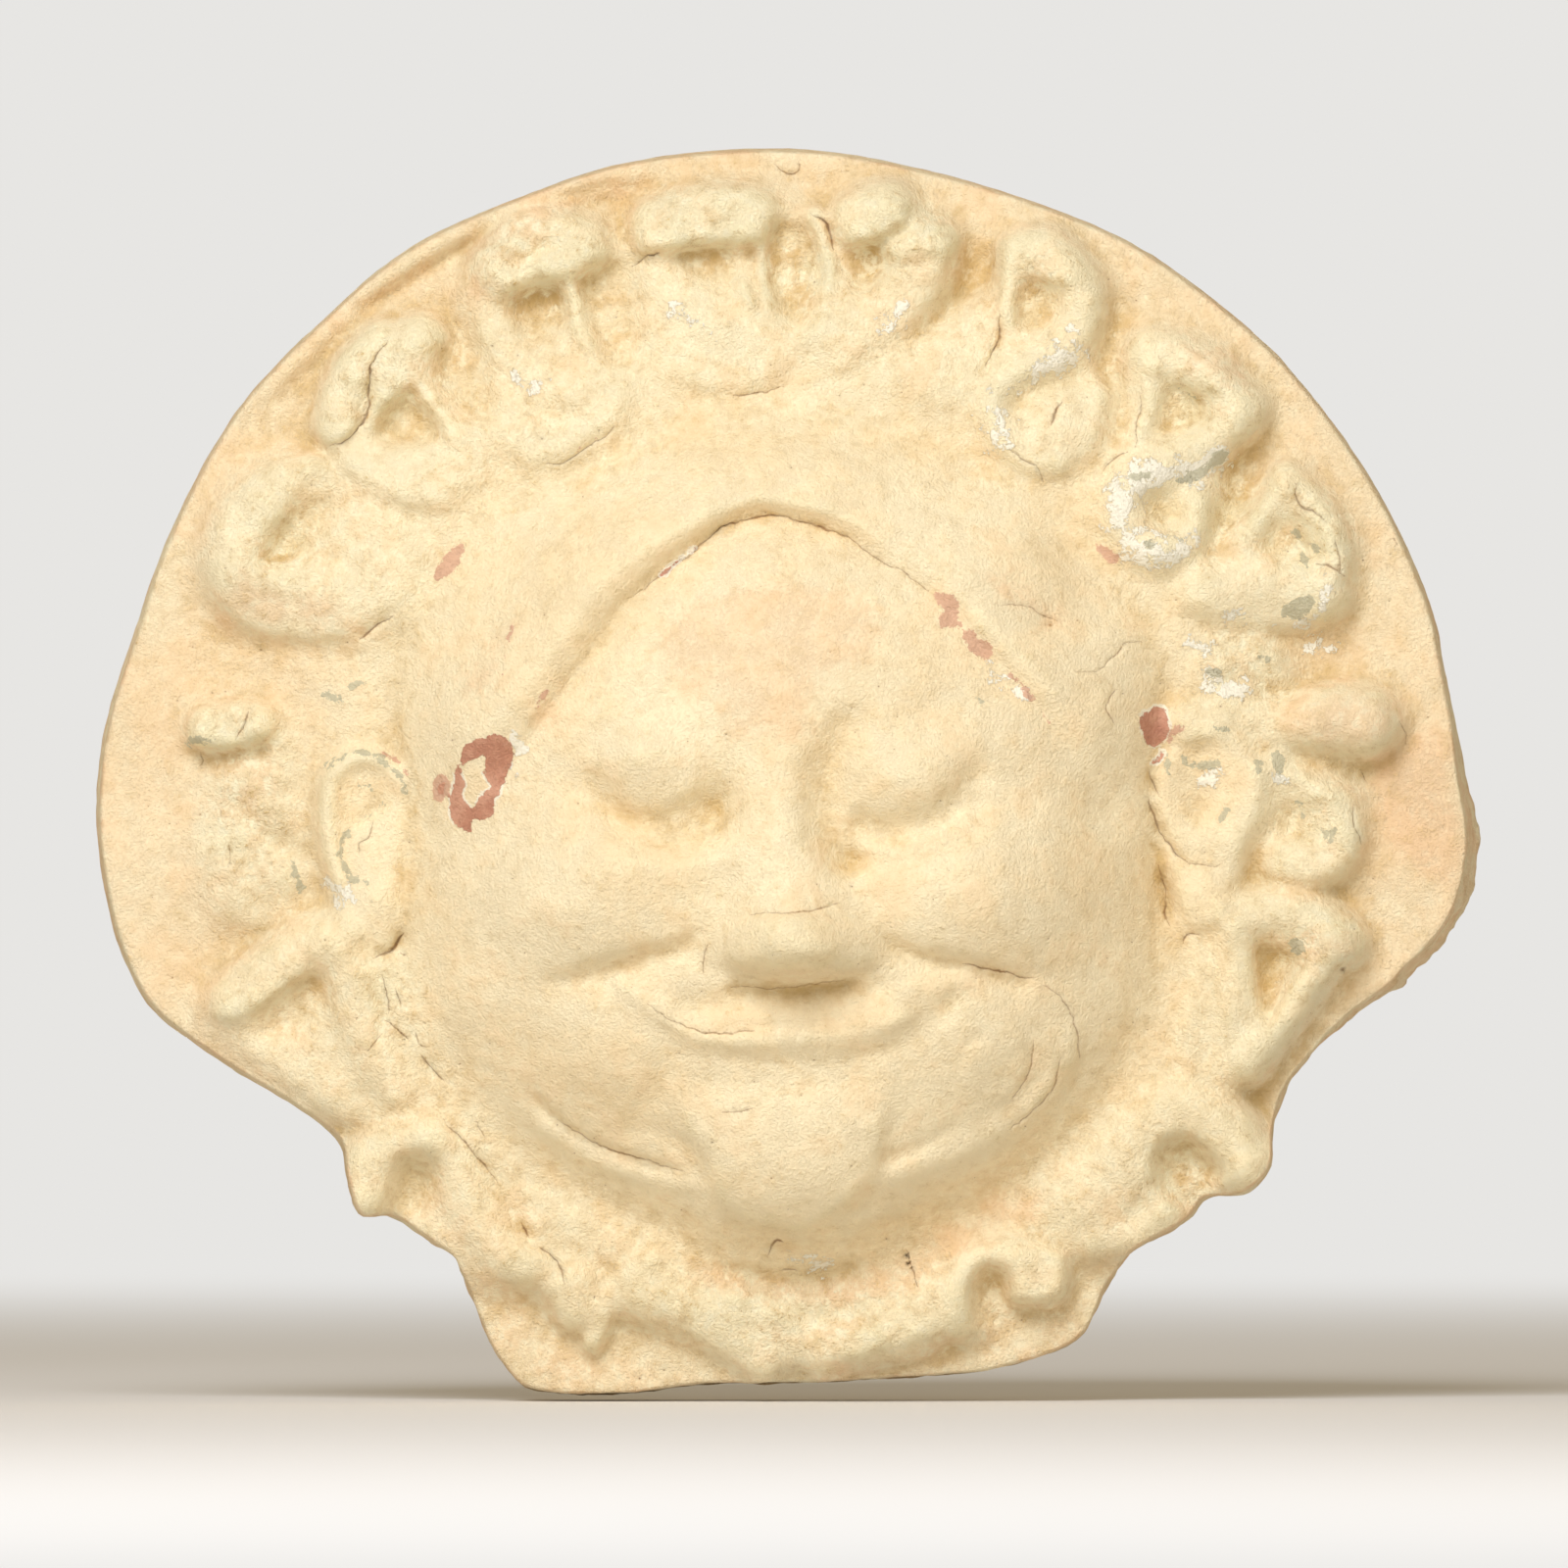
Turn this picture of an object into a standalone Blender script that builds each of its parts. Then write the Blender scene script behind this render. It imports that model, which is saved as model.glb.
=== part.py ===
"""A moulded clay antefix: a broad mask in a ring of curling locks, standing out from a thick rounded plate.

Metres, +Z up. The flat back lies in the plane Y = 0 and the mask looks along -Y. The origin is on the back,
in the middle of the width. The lower corners are broken away, so the outline steps in to a narrow foot.

The carving is drawn on a sheet 200 units across and 180 units up, with heights in the same units above the
plate, 39 of them at the tip of the nose. WIDTH, HEIGHT and RELIEF give those three their real sizes.
"""

import bpy
import numpy as np
from mathutils.geometry import delaunay_2d_cdt

WIDTH = 0.200           # across the widest part of the plate
HEIGHT = 0.180          # from the broken foot to the top of the arch
PLATE = 0.016           # thickness of the plate that carries the carving
RELIEF = 0.039          # from the plate's face to the tip of the nose
ARRIS = 0.0014          # rounding of the plate's front edge
DRAFT_TOP = 0.0006      # how far the front edge stands inside the back edge, along the arch,
DRAFT_SIDE = 0.0008     # at the two sides,
DRAFT_CHIP = 0.0026     # where the right side is chipped,
DRAFT_BREAK = 0.0007    # along the broken corners
DRAFT_FOOT = 0.0004     # and along the foot
WEAR = 0.0011           # how far the carving's edges are rubbed round

SHEET_ACROSS = 200.0    # units of the drawing over the width,
SHEET_UP = 180.0        # over the height
SHEET_OUT = 39.0        # and over the relief
SHEET_STEP = 0.8        # spacing of the sampled heights, in units
LATTICE = 6.5           # spacing of the first points of the face, in units
EDGE_CLEAR = 1.6        # nearest that a point of the face comes to the edge, in units
FACE_POINTS = 4150      # points of the face once the carving is followed
ROUNDS = 9              # passes in which points are added where the flat facets miss the carving

CLAY_COLOUR = (0.86, 0.70, 0.46, 1.0)
CLAY_ROUGHNESS = 0.92

# Outline of the back, anticlockwise from the left: side, broken corner, foot, broken corner, side and arch
LEFT_SIDE = [(-89.3, 35), (-94.7, 20), (-99, 5.7), (-100, -8), (-98, -21), (-94.7, -30), (-90.5, -35.6)]
LEFT_BREAK = [(-80.6, -42.7), (-71.4, -48.3), (-65.1, -53.3), (-64.1, -58.2), (-62.2, -63.9),
              (-57.3, -64.3),
              (-51.6, -68.1), (-48.1, -71), (-44.6, -79.4), (-41.7, -85.1)]
FOOT = [(-36.8, -89.3), (-24, -89.8), (-12.3, -88.4), (2.3, -88.2), (20, -87.2), (30, -86.2), (41.6, -82.1)]
RIGHT_BREAK = [(46, -74.4), (50, -69.2), (57.5, -65), (60.5, -61.6), (66, -60.8), (69.8, -57), (70.3, -51),
               (72.5, -45), (78, -38.5), (84, -34), (90, -30)]
RIGHT_SIDE = [(97, -22.5), (99.8, -15), (99.9, -8), (97.8, 0), (94.9, 14.2), (92.4, 25), (85.2, 40.6)]
ARCH = [(75, 55.2), (65, 65.4), (50, 76.2), (35, 82.6), (20, 87), (5, 89.8), (-10, 89.9), (-25, 87.8),
        (-40, 82.7), (-55, 75.7), (-67.5, 65.3), (-80, 52)]
OUTLINE = LEFT_SIDE + LEFT_BREAK + FOOT + RIGHT_BREAK + RIGHT_SIDE + ARCH
OUTLINE_CENTRE = (0.0, -6.0)
OUTLINE_STEPS = 3

# The mask's own edge, from the left temple down round the chin and up over the hair
HEAD = [(-58, 14), (-58, 4), (-57, -8), (-57.3, -24.3), (-56, -35.6), (-52, -42.6), (-44, -51.5),
        (-34.7, -58.3),
        (-20, -66), (-11, -71), (-0.7, -72.5), (10.6, -71.2), (20.5, -66.5), (31.8, -60), (42, -51.5),
        (50.5, -41.2), (54.2, -29.9), (54.5, -15.8), (54.5, 0), (55.9, 13.9), (53, 23.8), (46, 32.3),
        (38.9, 40.8), (20.5, 50.7), (0, 54.7), (-14.9, 52.1), (-29, 47.2), (-43.1, 40.8), (-51.6, 32.3),
        (-56, 24)]
HEAD_CENTRE = (-1.0, -12.0)
HEAD_RISE = 28.0

# The hairline over the brow, closed below through the cheeks
HAIRLINE = [(-44, -12), (-41, -2), (-35.5, 7.5), (-27.5, 18.5), (-23, 24.7), (-15, 31.3), (-6, 36.6),
            (2, 36),
            (9, 33.6), (20, 26), (27.5, 18), (34, 11), (38.5, 6), (44, -4), (50, -20), (40, -50), (0, -62),
            (-40, -50), (-50, -26)]

LOCK_RISE = 0.85        # the ring of locks, as a share of the heights drawn for it


def clear_scene():
    for thing in list(bpy.data.objects):
        bpy.data.objects.remove(thing, do_unlink=True)


def smooth(share):
    share = np.clip(share, 0.0, 1.0)
    return share * share * (3.0 - 2.0 * share)


def curve(points, steps=5, closed=False):
    """A smooth line through a few points."""
    given = np.asarray(points, float)
    if closed:
        held = np.vstack([given[-1:], given, given[:2]])
    else:
        held = np.vstack([2 * given[0] - given[1], given, 2 * given[-1] - given[-2]])
    t = np.linspace(0.0, 1.0, steps, endpoint=False)[:, None]
    rows = []
    for before, start, end, after in zip(held[:-3], held[1:-2], held[2:-1], held[3:]):
        bend = 2 * before - 5 * start + 4 * end - after
        twist = 3 * start - before - 3 * end + after
        rows.append(0.5 * (2 * start + (end - before) * t + bend * t ** 2 + twist * t ** 3))
    if not closed:
        rows.append(given[-1:])
    return np.vstack(rows)


def reach(x, z, line):
    """Distance to a line, the share of the way along it, and the side, + on the left of its run."""
    nearest = np.full(x.shape, np.inf)
    along = np.zeros(x.shape)
    side = np.zeros(x.shape)
    legs = np.diff(line, axis=0)
    length = np.maximum(np.hypot(legs[:, 0], legs[:, 1]), 1e-9)
    start = np.concatenate([[0.0], np.cumsum(length)])
    for leg, (dx, dz) in enumerate(legs):
        px = x - line[leg, 0]
        pz = z - line[leg, 1]
        t = np.clip((px * dx + pz * dz) / length[leg] ** 2, 0.0, 1.0)
        gap = np.hypot(px - t * dx, pz - t * dz)
        closer = gap < nearest
        nearest = np.where(closer, gap, nearest)
        along = np.where(closer, (start[leg] + t * length[leg]) / start[-1], along)
        side = np.where(closer, np.sign(dx * pz - dz * px), side)
    return nearest, along, side


def depth_inside(x, z, line):
    """Distance to a closed line, positive inside it."""
    loop = np.vstack([line, line[:1]])
    gap, _, _ = reach(x, z, loop)
    within = np.zeros(x.shape, bool)
    for (ax, az), (bx, bz) in zip(loop[:-1], loop[1:]):
        if az != bz:
            within ^= ((az > z) != (bz > z)) & (x < ax + (z - az) * (bx - ax) / (bz - az))
    return np.where(within, gap, -gap)


def outward(x, z, line, centre):
    """How far out each point lies as a share of a closed line's reach that way, and that reach."""
    ring = curve(line, 10, closed=True) - centre
    angle = np.arctan2(ring[:, 1], ring[:, 0])
    order = np.argsort(angle)
    turn = np.arctan2(z - centre[1], x - centre[0])
    edge = np.interp(turn, angle[order], np.hypot(ring[:, 0], ring[:, 1])[order], period=2 * np.pi)
    return np.hypot(x - centre[0], z - centre[1]) / edge, edge


def join(first, second, power=4.0):
    """The higher of two mounds, run softly into each other."""
    return (np.clip(first, 0, None) ** power + np.clip(second, 0, None) ** power) ** (1.0 / power)


def both(value):
    return value if isinstance(value, tuple) else (value, value)


class Clay:
    """Mounds and hollows over a set of points of the sheet."""

    def __init__(self, x, z):
        self.x = x
        self.z = z
        self.mound = np.zeros(x.shape)
        self.hollow = np.zeros(x.shape)

    def near(self, line, margin):
        low = line.min(axis=0) - margin
        high = line.max(axis=0) + margin
        across = (self.x > low[0]) & (self.x < high[0])
        return np.nonzero(across & (self.z > low[1]) & (self.z < high[1]))[0]

    def mass(self, points, top, run):
        """A raised patch inside a closed line, its side spread over the run."""
        line = curve(points, closed=True)
        i = self.near(line, run)
        deep = depth_inside(self.x[i], self.z[i], line)
        self.mound[i] = join(self.mound[i], top * smooth(0.5 + deep / run), 6.0)

    def sink(self, points, depth, run=2.5):
        """A hollow inside a closed line."""
        line = curve(points, closed=True)
        i = self.near(line, run)
        deep = depth_inside(self.x[i], self.z[i], line)
        self.hollow[i] += depth * smooth(0.5 + deep / run)

    def cord(self, points, width, top):
        """A rounded strand along a line. Width and top may be given for its two ends."""
        line = curve(points)
        foot = 0.85 * np.array(both(width))
        i = self.near(line, foot.max() + 1.0)
        gap, along, _ = reach(self.x[i], self.z[i], line)
        half = foot[0] + (foot[1] - foot[0]) * along
        crest = both(top)[0] + (both(top)[1] - both(top)[0]) * along
        self.mound[i] = join(self.mound[i], crest * (1.0 - smooth(gap / half)) ** 0.9)

    def swell(self, points, width, rise):
        """A soft ridge added to what is there, or a soft furrow where the rise is negative."""
        line = curve(points)
        i = self.near(line, max(both(width)))
        gap, along, _ = reach(self.x[i], self.z[i], line)
        half = both(width)[0] + (both(width)[1] - both(width)[0]) * along
        change = (both(rise)[0] + (both(rise)[1] - both(rise)[0]) * along) * (1.0 - smooth(gap / half))
        self.mound[i] += np.clip(change, 0, None)
        self.hollow[i] += np.clip(-change, 0, None)

    def dome(self, centre, size, rise, turn=0.0):
        """A soft oval mound, or a dip where the rise is negative."""
        c = np.cos(np.radians(turn))
        s = np.sin(np.radians(turn))
        dx = self.x - centre[0]
        dz = self.z - centre[1]
        out = np.hypot((dx * c + dz * s) / size[0], (dz * c - dx * s) / size[1])
        change = rise * (1.0 - smooth(out))
        self.mound += np.clip(change, 0, None)
        self.hollow += np.clip(-change, 0, None)


def shape_head(clay):
    """The mask, a cushion full in the middle and steep at its edge, with a skirt out under the locks."""
    out, edge = outward(clay.x, clay.z, HEAD, HEAD_CENTRE)
    cushion = HEAD_RISE * (1.0 - np.clip(out, 0, 1) ** 2.4) ** 0.66
    past = np.clip((out - 1.0) * edge, 0, None)
    above = smooth((clay.z + 5.0) / 45.0)
    skirt = (3.0 + 5.0 * above) * (1.0 - smooth(past / (18.0 + 6.0 * above)))
    clay.mound += join(cushion, skirt, 3.0)


def shape_hair(clay):
    """The band of smooth hair, which stands up from the brow most on the left."""
    over = -depth_inside(clay.x, clay.z, curve(HAIRLINE, closed=True))
    ends = smooth((clay.z + 8.0) / 16.0)
    stand = ends * np.interp(clay.x, [-45, -30, -10, 5, 15, 45], [0.9, 1.0, 1.0, 0.85, 0.5, 0.4])
    run = np.interp(clay.x, [-40, -25, -8, 8, 30], [6.0, 6.0, 3.2, 3.0, 4.0])
    clay.mound += 3.6 * stand * smooth(over / run) * (1.0 - smooth((over - 5.0) / 14.0))
    foot = np.where(over > 0, 1.0 - smooth(over / 1.6), np.exp(np.clip(over, -60, 0) / 3.0))
    clay.mound -= 1.3 * stand * foot


def shape_brow(clay):
    clay.dome((0, 18), (32, 24), 2.0)


def shape_eyes(clay):
    """Two closed-looking bulges, each in a soft hollow that is deepest beside the nose."""
    clay.dome((-19.5, 2.0), (14, 11), 2.2)
    clay.swell([(-28, -3.5), (-24, -7.2), (-18.5, -9.2), (-13, -8.6)], (5.5, 6.5), (-0.9, -1.9))
    clay.dome((-10.5, -3.5), (6, 7), -0.9)
    clay.dome((18.5, -0.5), (14, 10.5), 2.4)
    clay.swell([(9.5, 6), (6.2, 1), (5.8, -5), (7.8, -11.5)], 4.8, (-1.0, -2.2))
    clay.swell([(12, -7.6), (21, -6.4), (27.5, 0.5)], 3.8, -1.2)
    clay.swell([(-34, 8), (-22, 12.5), (-10, 11)], 10, 0.8)
    clay.swell([(10, 9), (19, 11.5), (31, 7)], 10, 0.8)


def shape_cheeks(clay):
    """Two full cheeks, each cut off below by the fold that runs down from the nostril."""
    fold = np.interp(np.abs(clay.x), [10, 17, 24, 30, 37, 46, 60],
                     [-20, -24.8, -26.6, -28.4, -31.0, -34.5, -37])
    for side in (-1, 1):
        out = np.hypot((side * clay.x - 29.0) / 22.0, (clay.z + 17.0) / 17.0)
        clay.mound += 4.6 * (1.0 - smooth(out)) * smooth((clay.z - fold + 0.8) / 5.0)
        clay.swell([(side * 12.7, -22.4), (side * 24, -27.2), (side * 36, -31.3)], 3.6, (-1.7, -1.1))


def shape_nose(clay):
    """A low bridge that rises to a broad tip, steep below."""
    clay.swell([(-1.5, 8), (-2, -2), (-1.2, -12), (-0.5, -19)], (9, 12), (1.0, 5.6))
    across = (np.abs(clay.x - 0.7) / 15.8) ** 3.2
    upper = (np.clip(clay.z + 24.5, 0, None) / 12.5) ** 1.7
    under = (np.clip(-24.5 - clay.z, 0, None) / 7.0) ** 3.2
    clay.mound += 7.8 * (1.0 - smooth((across + upper + under) ** 0.5))


def shape_mouth(clay):
    """Lips drawn wide, with the soft furrows that run from their corners round the jaw."""
    clay.swell([(-21, -32.5), (-15, -36.4), (1, -37.2), (16, -33), (25, -28.3)], 3.2, 0.7)
    clay.swell([(-17, -38.4), (-3, -40.7), (12, -38.8), (26, -31)], 2.9, -1.1)
    clay.dome((-28, -39.5), (12, 10), 1.2)
    clay.dome((29.5, -39.5), (12, 11), 1.5)
    clay.swell([(-16, -38), (-20.5, -47.5), (-23, -51)], 3.0, -0.5)
    clay.swell([(-39, -40), (-31, -50.6), (-16, -56)], 3.4, 0.45)
    clay.swell([(41, -36), (37.5, -47.5), (25, -54.3), (16, -57)], 3.8, 0.7)
    clay.swell([(36.5, -38), (33.5, -47.5), (21, -52.5), (14.5, -54.3)], 2.4, -0.5)


def shape_chin(clay):
    """The tongue hangs over the chin, a low tab with a clear edge."""
    clay.dome((1, -60), (24, 13), 2.6)
    tongue = curve([(-16, -45), (-15.3, -51), (-11.0, -60), (-7, -64.2), (0.5, -66.0), (6.5, -64.0),
                    (12.2, -58),
                    (13.8, -50), (14, -45)])
    i = clay.near(tongue, 16)
    gap, _, side = reach(clay.x[i], clay.z[i], tongue)
    clay.mound[i] += 2.2 * smooth((-42.0 - clay.z[i]) / 9.0) * smooth((gap * side + 1.8) / 4.6)
    clay.swell([(-12, -71), (-4, -72.2), (3, -72.2), (12, -70.5)], 3.0, -1.4)


def shape_ears(clay):
    clay.mass([(-67.8, -3), (-66, 2), (-61, 4), (-56, 2), (-53, -6), (-54, -16), (-58, -22.5), (-63.5, -21),
               (-66.5, -15)], 9.0, 5.0)
    clay.cord([(-56, 1), (-61, 2.6), (-65.2, 0.5), (-66, -5), (-65, -12)], 3.4, 9.8)
    clay.sink([(-64, -1), (-60, 0.8), (-56.5, -1.5), (-57, -6), (-61, -8.5), (-64.5, -6)], 1.5)
    clay.mass([(53, 3), (57.5, 6.8), (63, 5.5), (68.5, 1), (69, -5), (64, -17.5), (60, -22.3),
               (56.3, -22.5),
               (53, -15), (50, -6)], 9.0, 5.0)
    clay.cord([(55, 4), (59, 5.5), (64, 3.5), (67, -1), (66.5, -6), (64.5, -11)], 3.4, 9.8)
    clay.sink([(55.5, 1), (59, 2.5), (62.5, 1), (62.5, -4), (59, -7), (56, -4.5)], 1.8)


def first_lock(locks):
    """Lower left arch beside the chin, and the strand that runs under the jaw from it."""
    locks.mass([(-64, -60), (-63, -53), (-50, -48.5), (-42, -58), (-33, -71), (-36, -73.5), (-44, -73),
                (-55, -66.5)], 5.5, 3.5)
    locks.cord([(-61, -60.5), (-59.5, -55.5), (-55, -52), (-50, -52.5), (-47.5, -58), (-45.5, -64),
                (-41.5, -69), (-37, -70.5)], 7, 9)
    locks.sink([(-54, -55.3), (-51.6, -55.3), (-51.5, -58.5), (-54, -63), (-58.5, -64.5), (-56.5, -59)],
               5.0)
    locks.mass([(-42, -53), (-36, -57), (-28, -61.5), (-12, -69), (-14, -73), (-33, -70), (-39, -64)],
               5.0, 5.0)


def second_lock(locks):
    """Broad curl beside the left jaw, undercut above the break."""
    locks.mass([(-85, -34), (-73, -22.5), (-65, -21.5), (-60.5, -26), (-58, -36), (-53.5, -43), (-55, -48),
                (-62, -50.5), (-76, -43)], 4.2, 3.5)
    locks.cord([(-81, -32), (-75, -28.2), (-69, -24.8), (-65, -26.5), (-63.5, -32), (-62, -39),
                (-57.5, -45)],
               7.5, 8)
    locks.sink([(-83.5, -35.4), (-74, -32.5), (-70, -28.6), (-67.6, -28.8), (-69, -32.5), (-79, -37)],
               3.8, 2.2)
    locks.cord([(-82, -40), (-75, -41), (-67, -44), (-60, -47)], 8, 4.5)
    locks.swell([(-69, -48.5), (-62, -51.2), (-57, -49.8), (-53, -46.5)], 2.4, -1.8)
    locks.swell([(-59, -26.5), (-59, -32), (-60, -39)], 2.6, -2.2)


def third_lock(locks):
    """Lock beside the left ear, with a hard lip on top."""
    locks.mass([(-86.8, 5.5), (-85.5, 9.5), (-80, 12), (-74, 10.5), (-70.5, 5), (-69, -4), (-69.5, -15),
                (-73, -20), (-80, -21.5), (-84.5, -18)], 4.0, 3.5)
    locks.mass([(-86.8, 5.5), (-80.5, 10.8), (-74.5, 6), (-77, 4.4), (-82, 4.2)], 7.5, 2.6)
    locks.sink([(-87, 4.6), (-82, 4.7), (-76.5, 4.8), (-76.5, 2.6), (-82, 1.8), (-86.5, 2.2)], 1.8, 1.8)
    locks.cord([(-78, 2), (-80, -4), (-81, -11), (-77, -16), (-72, -14)], 6.5, 5.6)


def fourth_lock(locks):
    """Round coil at the left temple."""
    locks.mass([(-67, 45), (-74, 45), (-80.5, 40.5), (-83.5, 33), (-82.5, 25), (-76, 20.4), (-60, 19.6),
                (-56, 24), (-56, 32), (-60, 38)], 4.6, 5.0)
    locks.cord([(-70, 42.5), (-76.5, 39), (-79.5, 32)], 8, 6)
    locks.cord([(-76, 25), (-69, 25.5), (-60, 26)], 9, 5.5)
    locks.sink([(-68.5, 43), (-66.3, 42), (-66.5, 35), (-71, 31.5), (-76, 31), (-70, 38.5)], 3.2, 3.5)


def fifth_lock(locks):
    """Twist of two strands at the upper left."""
    locks.mass([(-66.5, 48), (-64, 59.5), (-53, 65), (-46, 55), (-42, 48), (-46, 41), (-54, 38.6),
                (-61, 40.5)],
               5.4, 5.0)
    locks.cord([(-58, 62), (-61.8, 58.5), (-64, 53.5), (-64.3, 49.5)], 6, 7)
    locks.cord([(-53, 63), (-55.5, 59), (-58.5, 54.5)], 6, 8)
    locks.sink([(-59.3, 50.5), (-55.5, 54.4), (-52, 52), (-50.3, 49.4), (-55, 48.2)], 3.4)
    locks.sink([(-50.5, 61), (-48.5, 62), (-44, 55), (-43, 51.5), (-47.5, 50.5), (-51.3, 55)], 3.6)
    locks.cord([(-53, 56), (-50, 51), (-46, 46.5)], 2.4, 6)
    locks.swell([(-66, 44.5), (-61, 40.3), (-55, 38.2), (-49, 38)], 3.0, -1.7)


def sixth_lock(locks):
    """Double curl left of the crown, open over a three-cornered hollow."""
    locks.mass([(-46, 66), (-46.5, 72), (-36, 81), (-25.5, 75.5), (-21.5, 61), (-29, 48), (-36, 44.6),
                (-47, 52), (-44, 58)], 5.4, 5.0)
    locks.cord([(-42, 74.5), (-37, 78), (-31.5, 78.5)], 5.5, 7)
    locks.cord([(-40, 71.3), (-35, 73.2), (-29, 74.3)], 4.2, 7.5)
    locks.sink([(-39.5, 68), (-35.5, 69.5), (-32, 69.5), (-32.5, 66), (-35, 63.5), (-38.5, 65)], 3.2)
    locks.sink([(-29.5, 72.5), (-25.5, 74), (-22.2, 62), (-24.5, 60), (-27, 65)], 3.0, 3.0)
    locks.cord([(-31.2, 71), (-30, 66), (-28, 61)], 2.8, 6.3)
    locks.cord([(-45, 61), (-38, 60), (-30, 58), (-26, 55)], 7, 6.8)
    locks.dome((-35.5, 53), (7, 3.4), -1.8, turn=-22)
    locks.cord([(-43, 49.5), (-35, 48), (-28, 51)], 6, 6.2)
    locks.swell([(-41, 45), (-31, 45), (-24.8, 50.5)], 2.4, -1.2)


def crown_lock(locks):
    """Large curl over the middle of the brow."""
    locks.mass([(-22.5, 74), (-21, 80.5), (-13, 84.8), (0.5, 82), (6.3, 70), (5.5, 64), (-3, 56),
                (-9, 53.5),
                (-16, 55), (-20.5, 59)], 6.0, 5.0)
    locks.cord([(-18.5, 79), (-12, 80.8), (-5, 80.2)], 9, 9)
    locks.sink([(-16, 75.2), (-6, 76.5), (-5.4, 73), (-9.5, 70.3), (-13, 71.3)], 2.6)
    locks.sink([(-4, 78.5), (0, 79.3), (3.4, 77), (4, 71), (3, 66), (0, 64.5), (-4.6, 73)], 3.6, 3.5)
    locks.dome((-0.5, 77), (4, 4), -1.8)
    locks.cord([(0.5, 80.3), (3.5, 78.6), (4.8, 75), (5.4, 70), (4.0, 63.5)], 2.6, (7.5, 5.5))


def eighth_lock(locks):
    """Lock right of the crown, its strand falling from the right back to the middle."""
    locks.mass([(5.5, 77), (7, 81), (11, 84), (15.5, 83.3), (22.5, 78.3), (25, 75), (20, 66), (10, 61),
                (6.5, 63)], 6.0, 5.0)
    locks.cord([(9, 79.4), (12, 80.6), (14, 79.8)], 8, 9)
    locks.cord([(16.5, 75.6), (19.5, 77), (22, 76.6)], 4.2, 7.5)
    locks.sink([(8.8, 75.6), (14, 75), (13.2, 72.5), (10.2, 69.8)], 3.6)
    locks.cord([(20.5, 73), (16, 68.5), (11, 65), (6, 62.5)], 10, 7.6)
    locks.mass([(12, 60), (20, 64), (29.5, 70), (30, 62), (28, 57), (23, 53.5), (17, 55)], 4.2, 5.0)
    locks.swell([(25.5, 73.5), (23.2, 69), (20.5, 66), (16, 63), (12, 60.5)], (4.8, 3.4), (-3.2, -1.0))


def ninth_lock(locks):
    """Tall curl at the upper right, hooked at the top and round below."""
    locks.mass([(30.6, 72), (31, 76), (36, 77), (44.3, 70), (42.5, 62), (41, 58.5), (45.3, 55),
                (45.3, 49.5),
                (37, 43.3), (31.5, 46), (28, 51), (31.2, 61)], 6.0, 5.0)
    locks.cord([(33.5, 74), (36, 74.5), (39, 72.5)], 6, 7.5)
    locks.sink([(32, 70), (35, 70), (40, 70.2), (38, 67.5), (34.5, 63.5), (32.5, 64)], 2.8)
    locks.cord([(41.8, 68), (41.5, 64), (38.5, 60.5), (33.5, 58.3), (29.8, 55.5), (29.2, 51), (31.5, 47)],
               5, 7.8)
    locks.swell([(31.8, 53), (35, 55.6), (39.5, 57.5), (43.5, 58.5)], (3.2, 2.4), -2.6)
    locks.dome((38.8, 50.5), (6.5, 7), 1.6)
    locks.swell([(45.8, 55), (45.2, 49.5), (42.5, 46), (36.5, 42.6)], 2.4, -1.6)
    locks.swell([(47.5, 67), (46.5, 63), (45.5, 59.5)], 4.5, -1.6)


def tenth_lock(locks):
    """Curl that closes into a ring, right of the brow."""
    locks.mass([(48.5, 58), (49.5, 62.5), (54, 63.5), (60, 61.5), (67.5, 52), (62.5, 44), (60.5, 34),
                (53, 29.6), (46, 36), (46, 43), (50, 53)], 5.5, 3.5)
    locks.cord([(52, 60.3), (57, 59.3), (61, 57)], 6.5, 8)
    locks.sink([(54.5, 54), (57.5, 53.5), (58.5, 50.8), (55, 49.6), (52, 49)], 2.0, 2.0)
    locks.cord([(65.5, 53), (64, 49.5), (59, 46.5), (52.5, 44.5), (48.8, 41), (48, 36.5), (50, 32.7),
                (54.5, 31.5), (58, 33.2), (58.4, 37)], 5.2, 7.8)
    locks.dome((53, 38), (4.8, 4.4), -3.4)
    locks.swell([(69.5, 50), (64, 42), (61.8, 34), (60.5, 31)], (4.4, 3.0), -2.4)


def eleventh_lock(locks):
    """Small curl at the right temple, with a knob under it."""
    locks.mass([(69, 43), (72.5, 43.5), (80.3, 34.5), (78.5, 24), (74, 20.8), (60, 22), (60, 27), (64, 31),
                (67.5, 36)], 5.2, 3.2)
    locks.cord([(71, 42), (71.8, 39), (75.5, 36.3), (77.8, 33), (78, 29)], 4.6, 8)
    locks.cord([(77, 27), (73, 25.6), (67, 26.3), (61, 27)], 6, 8)
    locks.sink([(67.5, 32.5), (71, 34.2), (72.6, 34), (73, 31.5), (69.5, 30.4)], 1.5, 2.0)
    locks.mass([(59, 12.5), (60, 17.5), (64, 20), (70, 19.6), (73.5, 16), (72, 12), (62, 10.3)], 5.5, 3.6)


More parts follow.
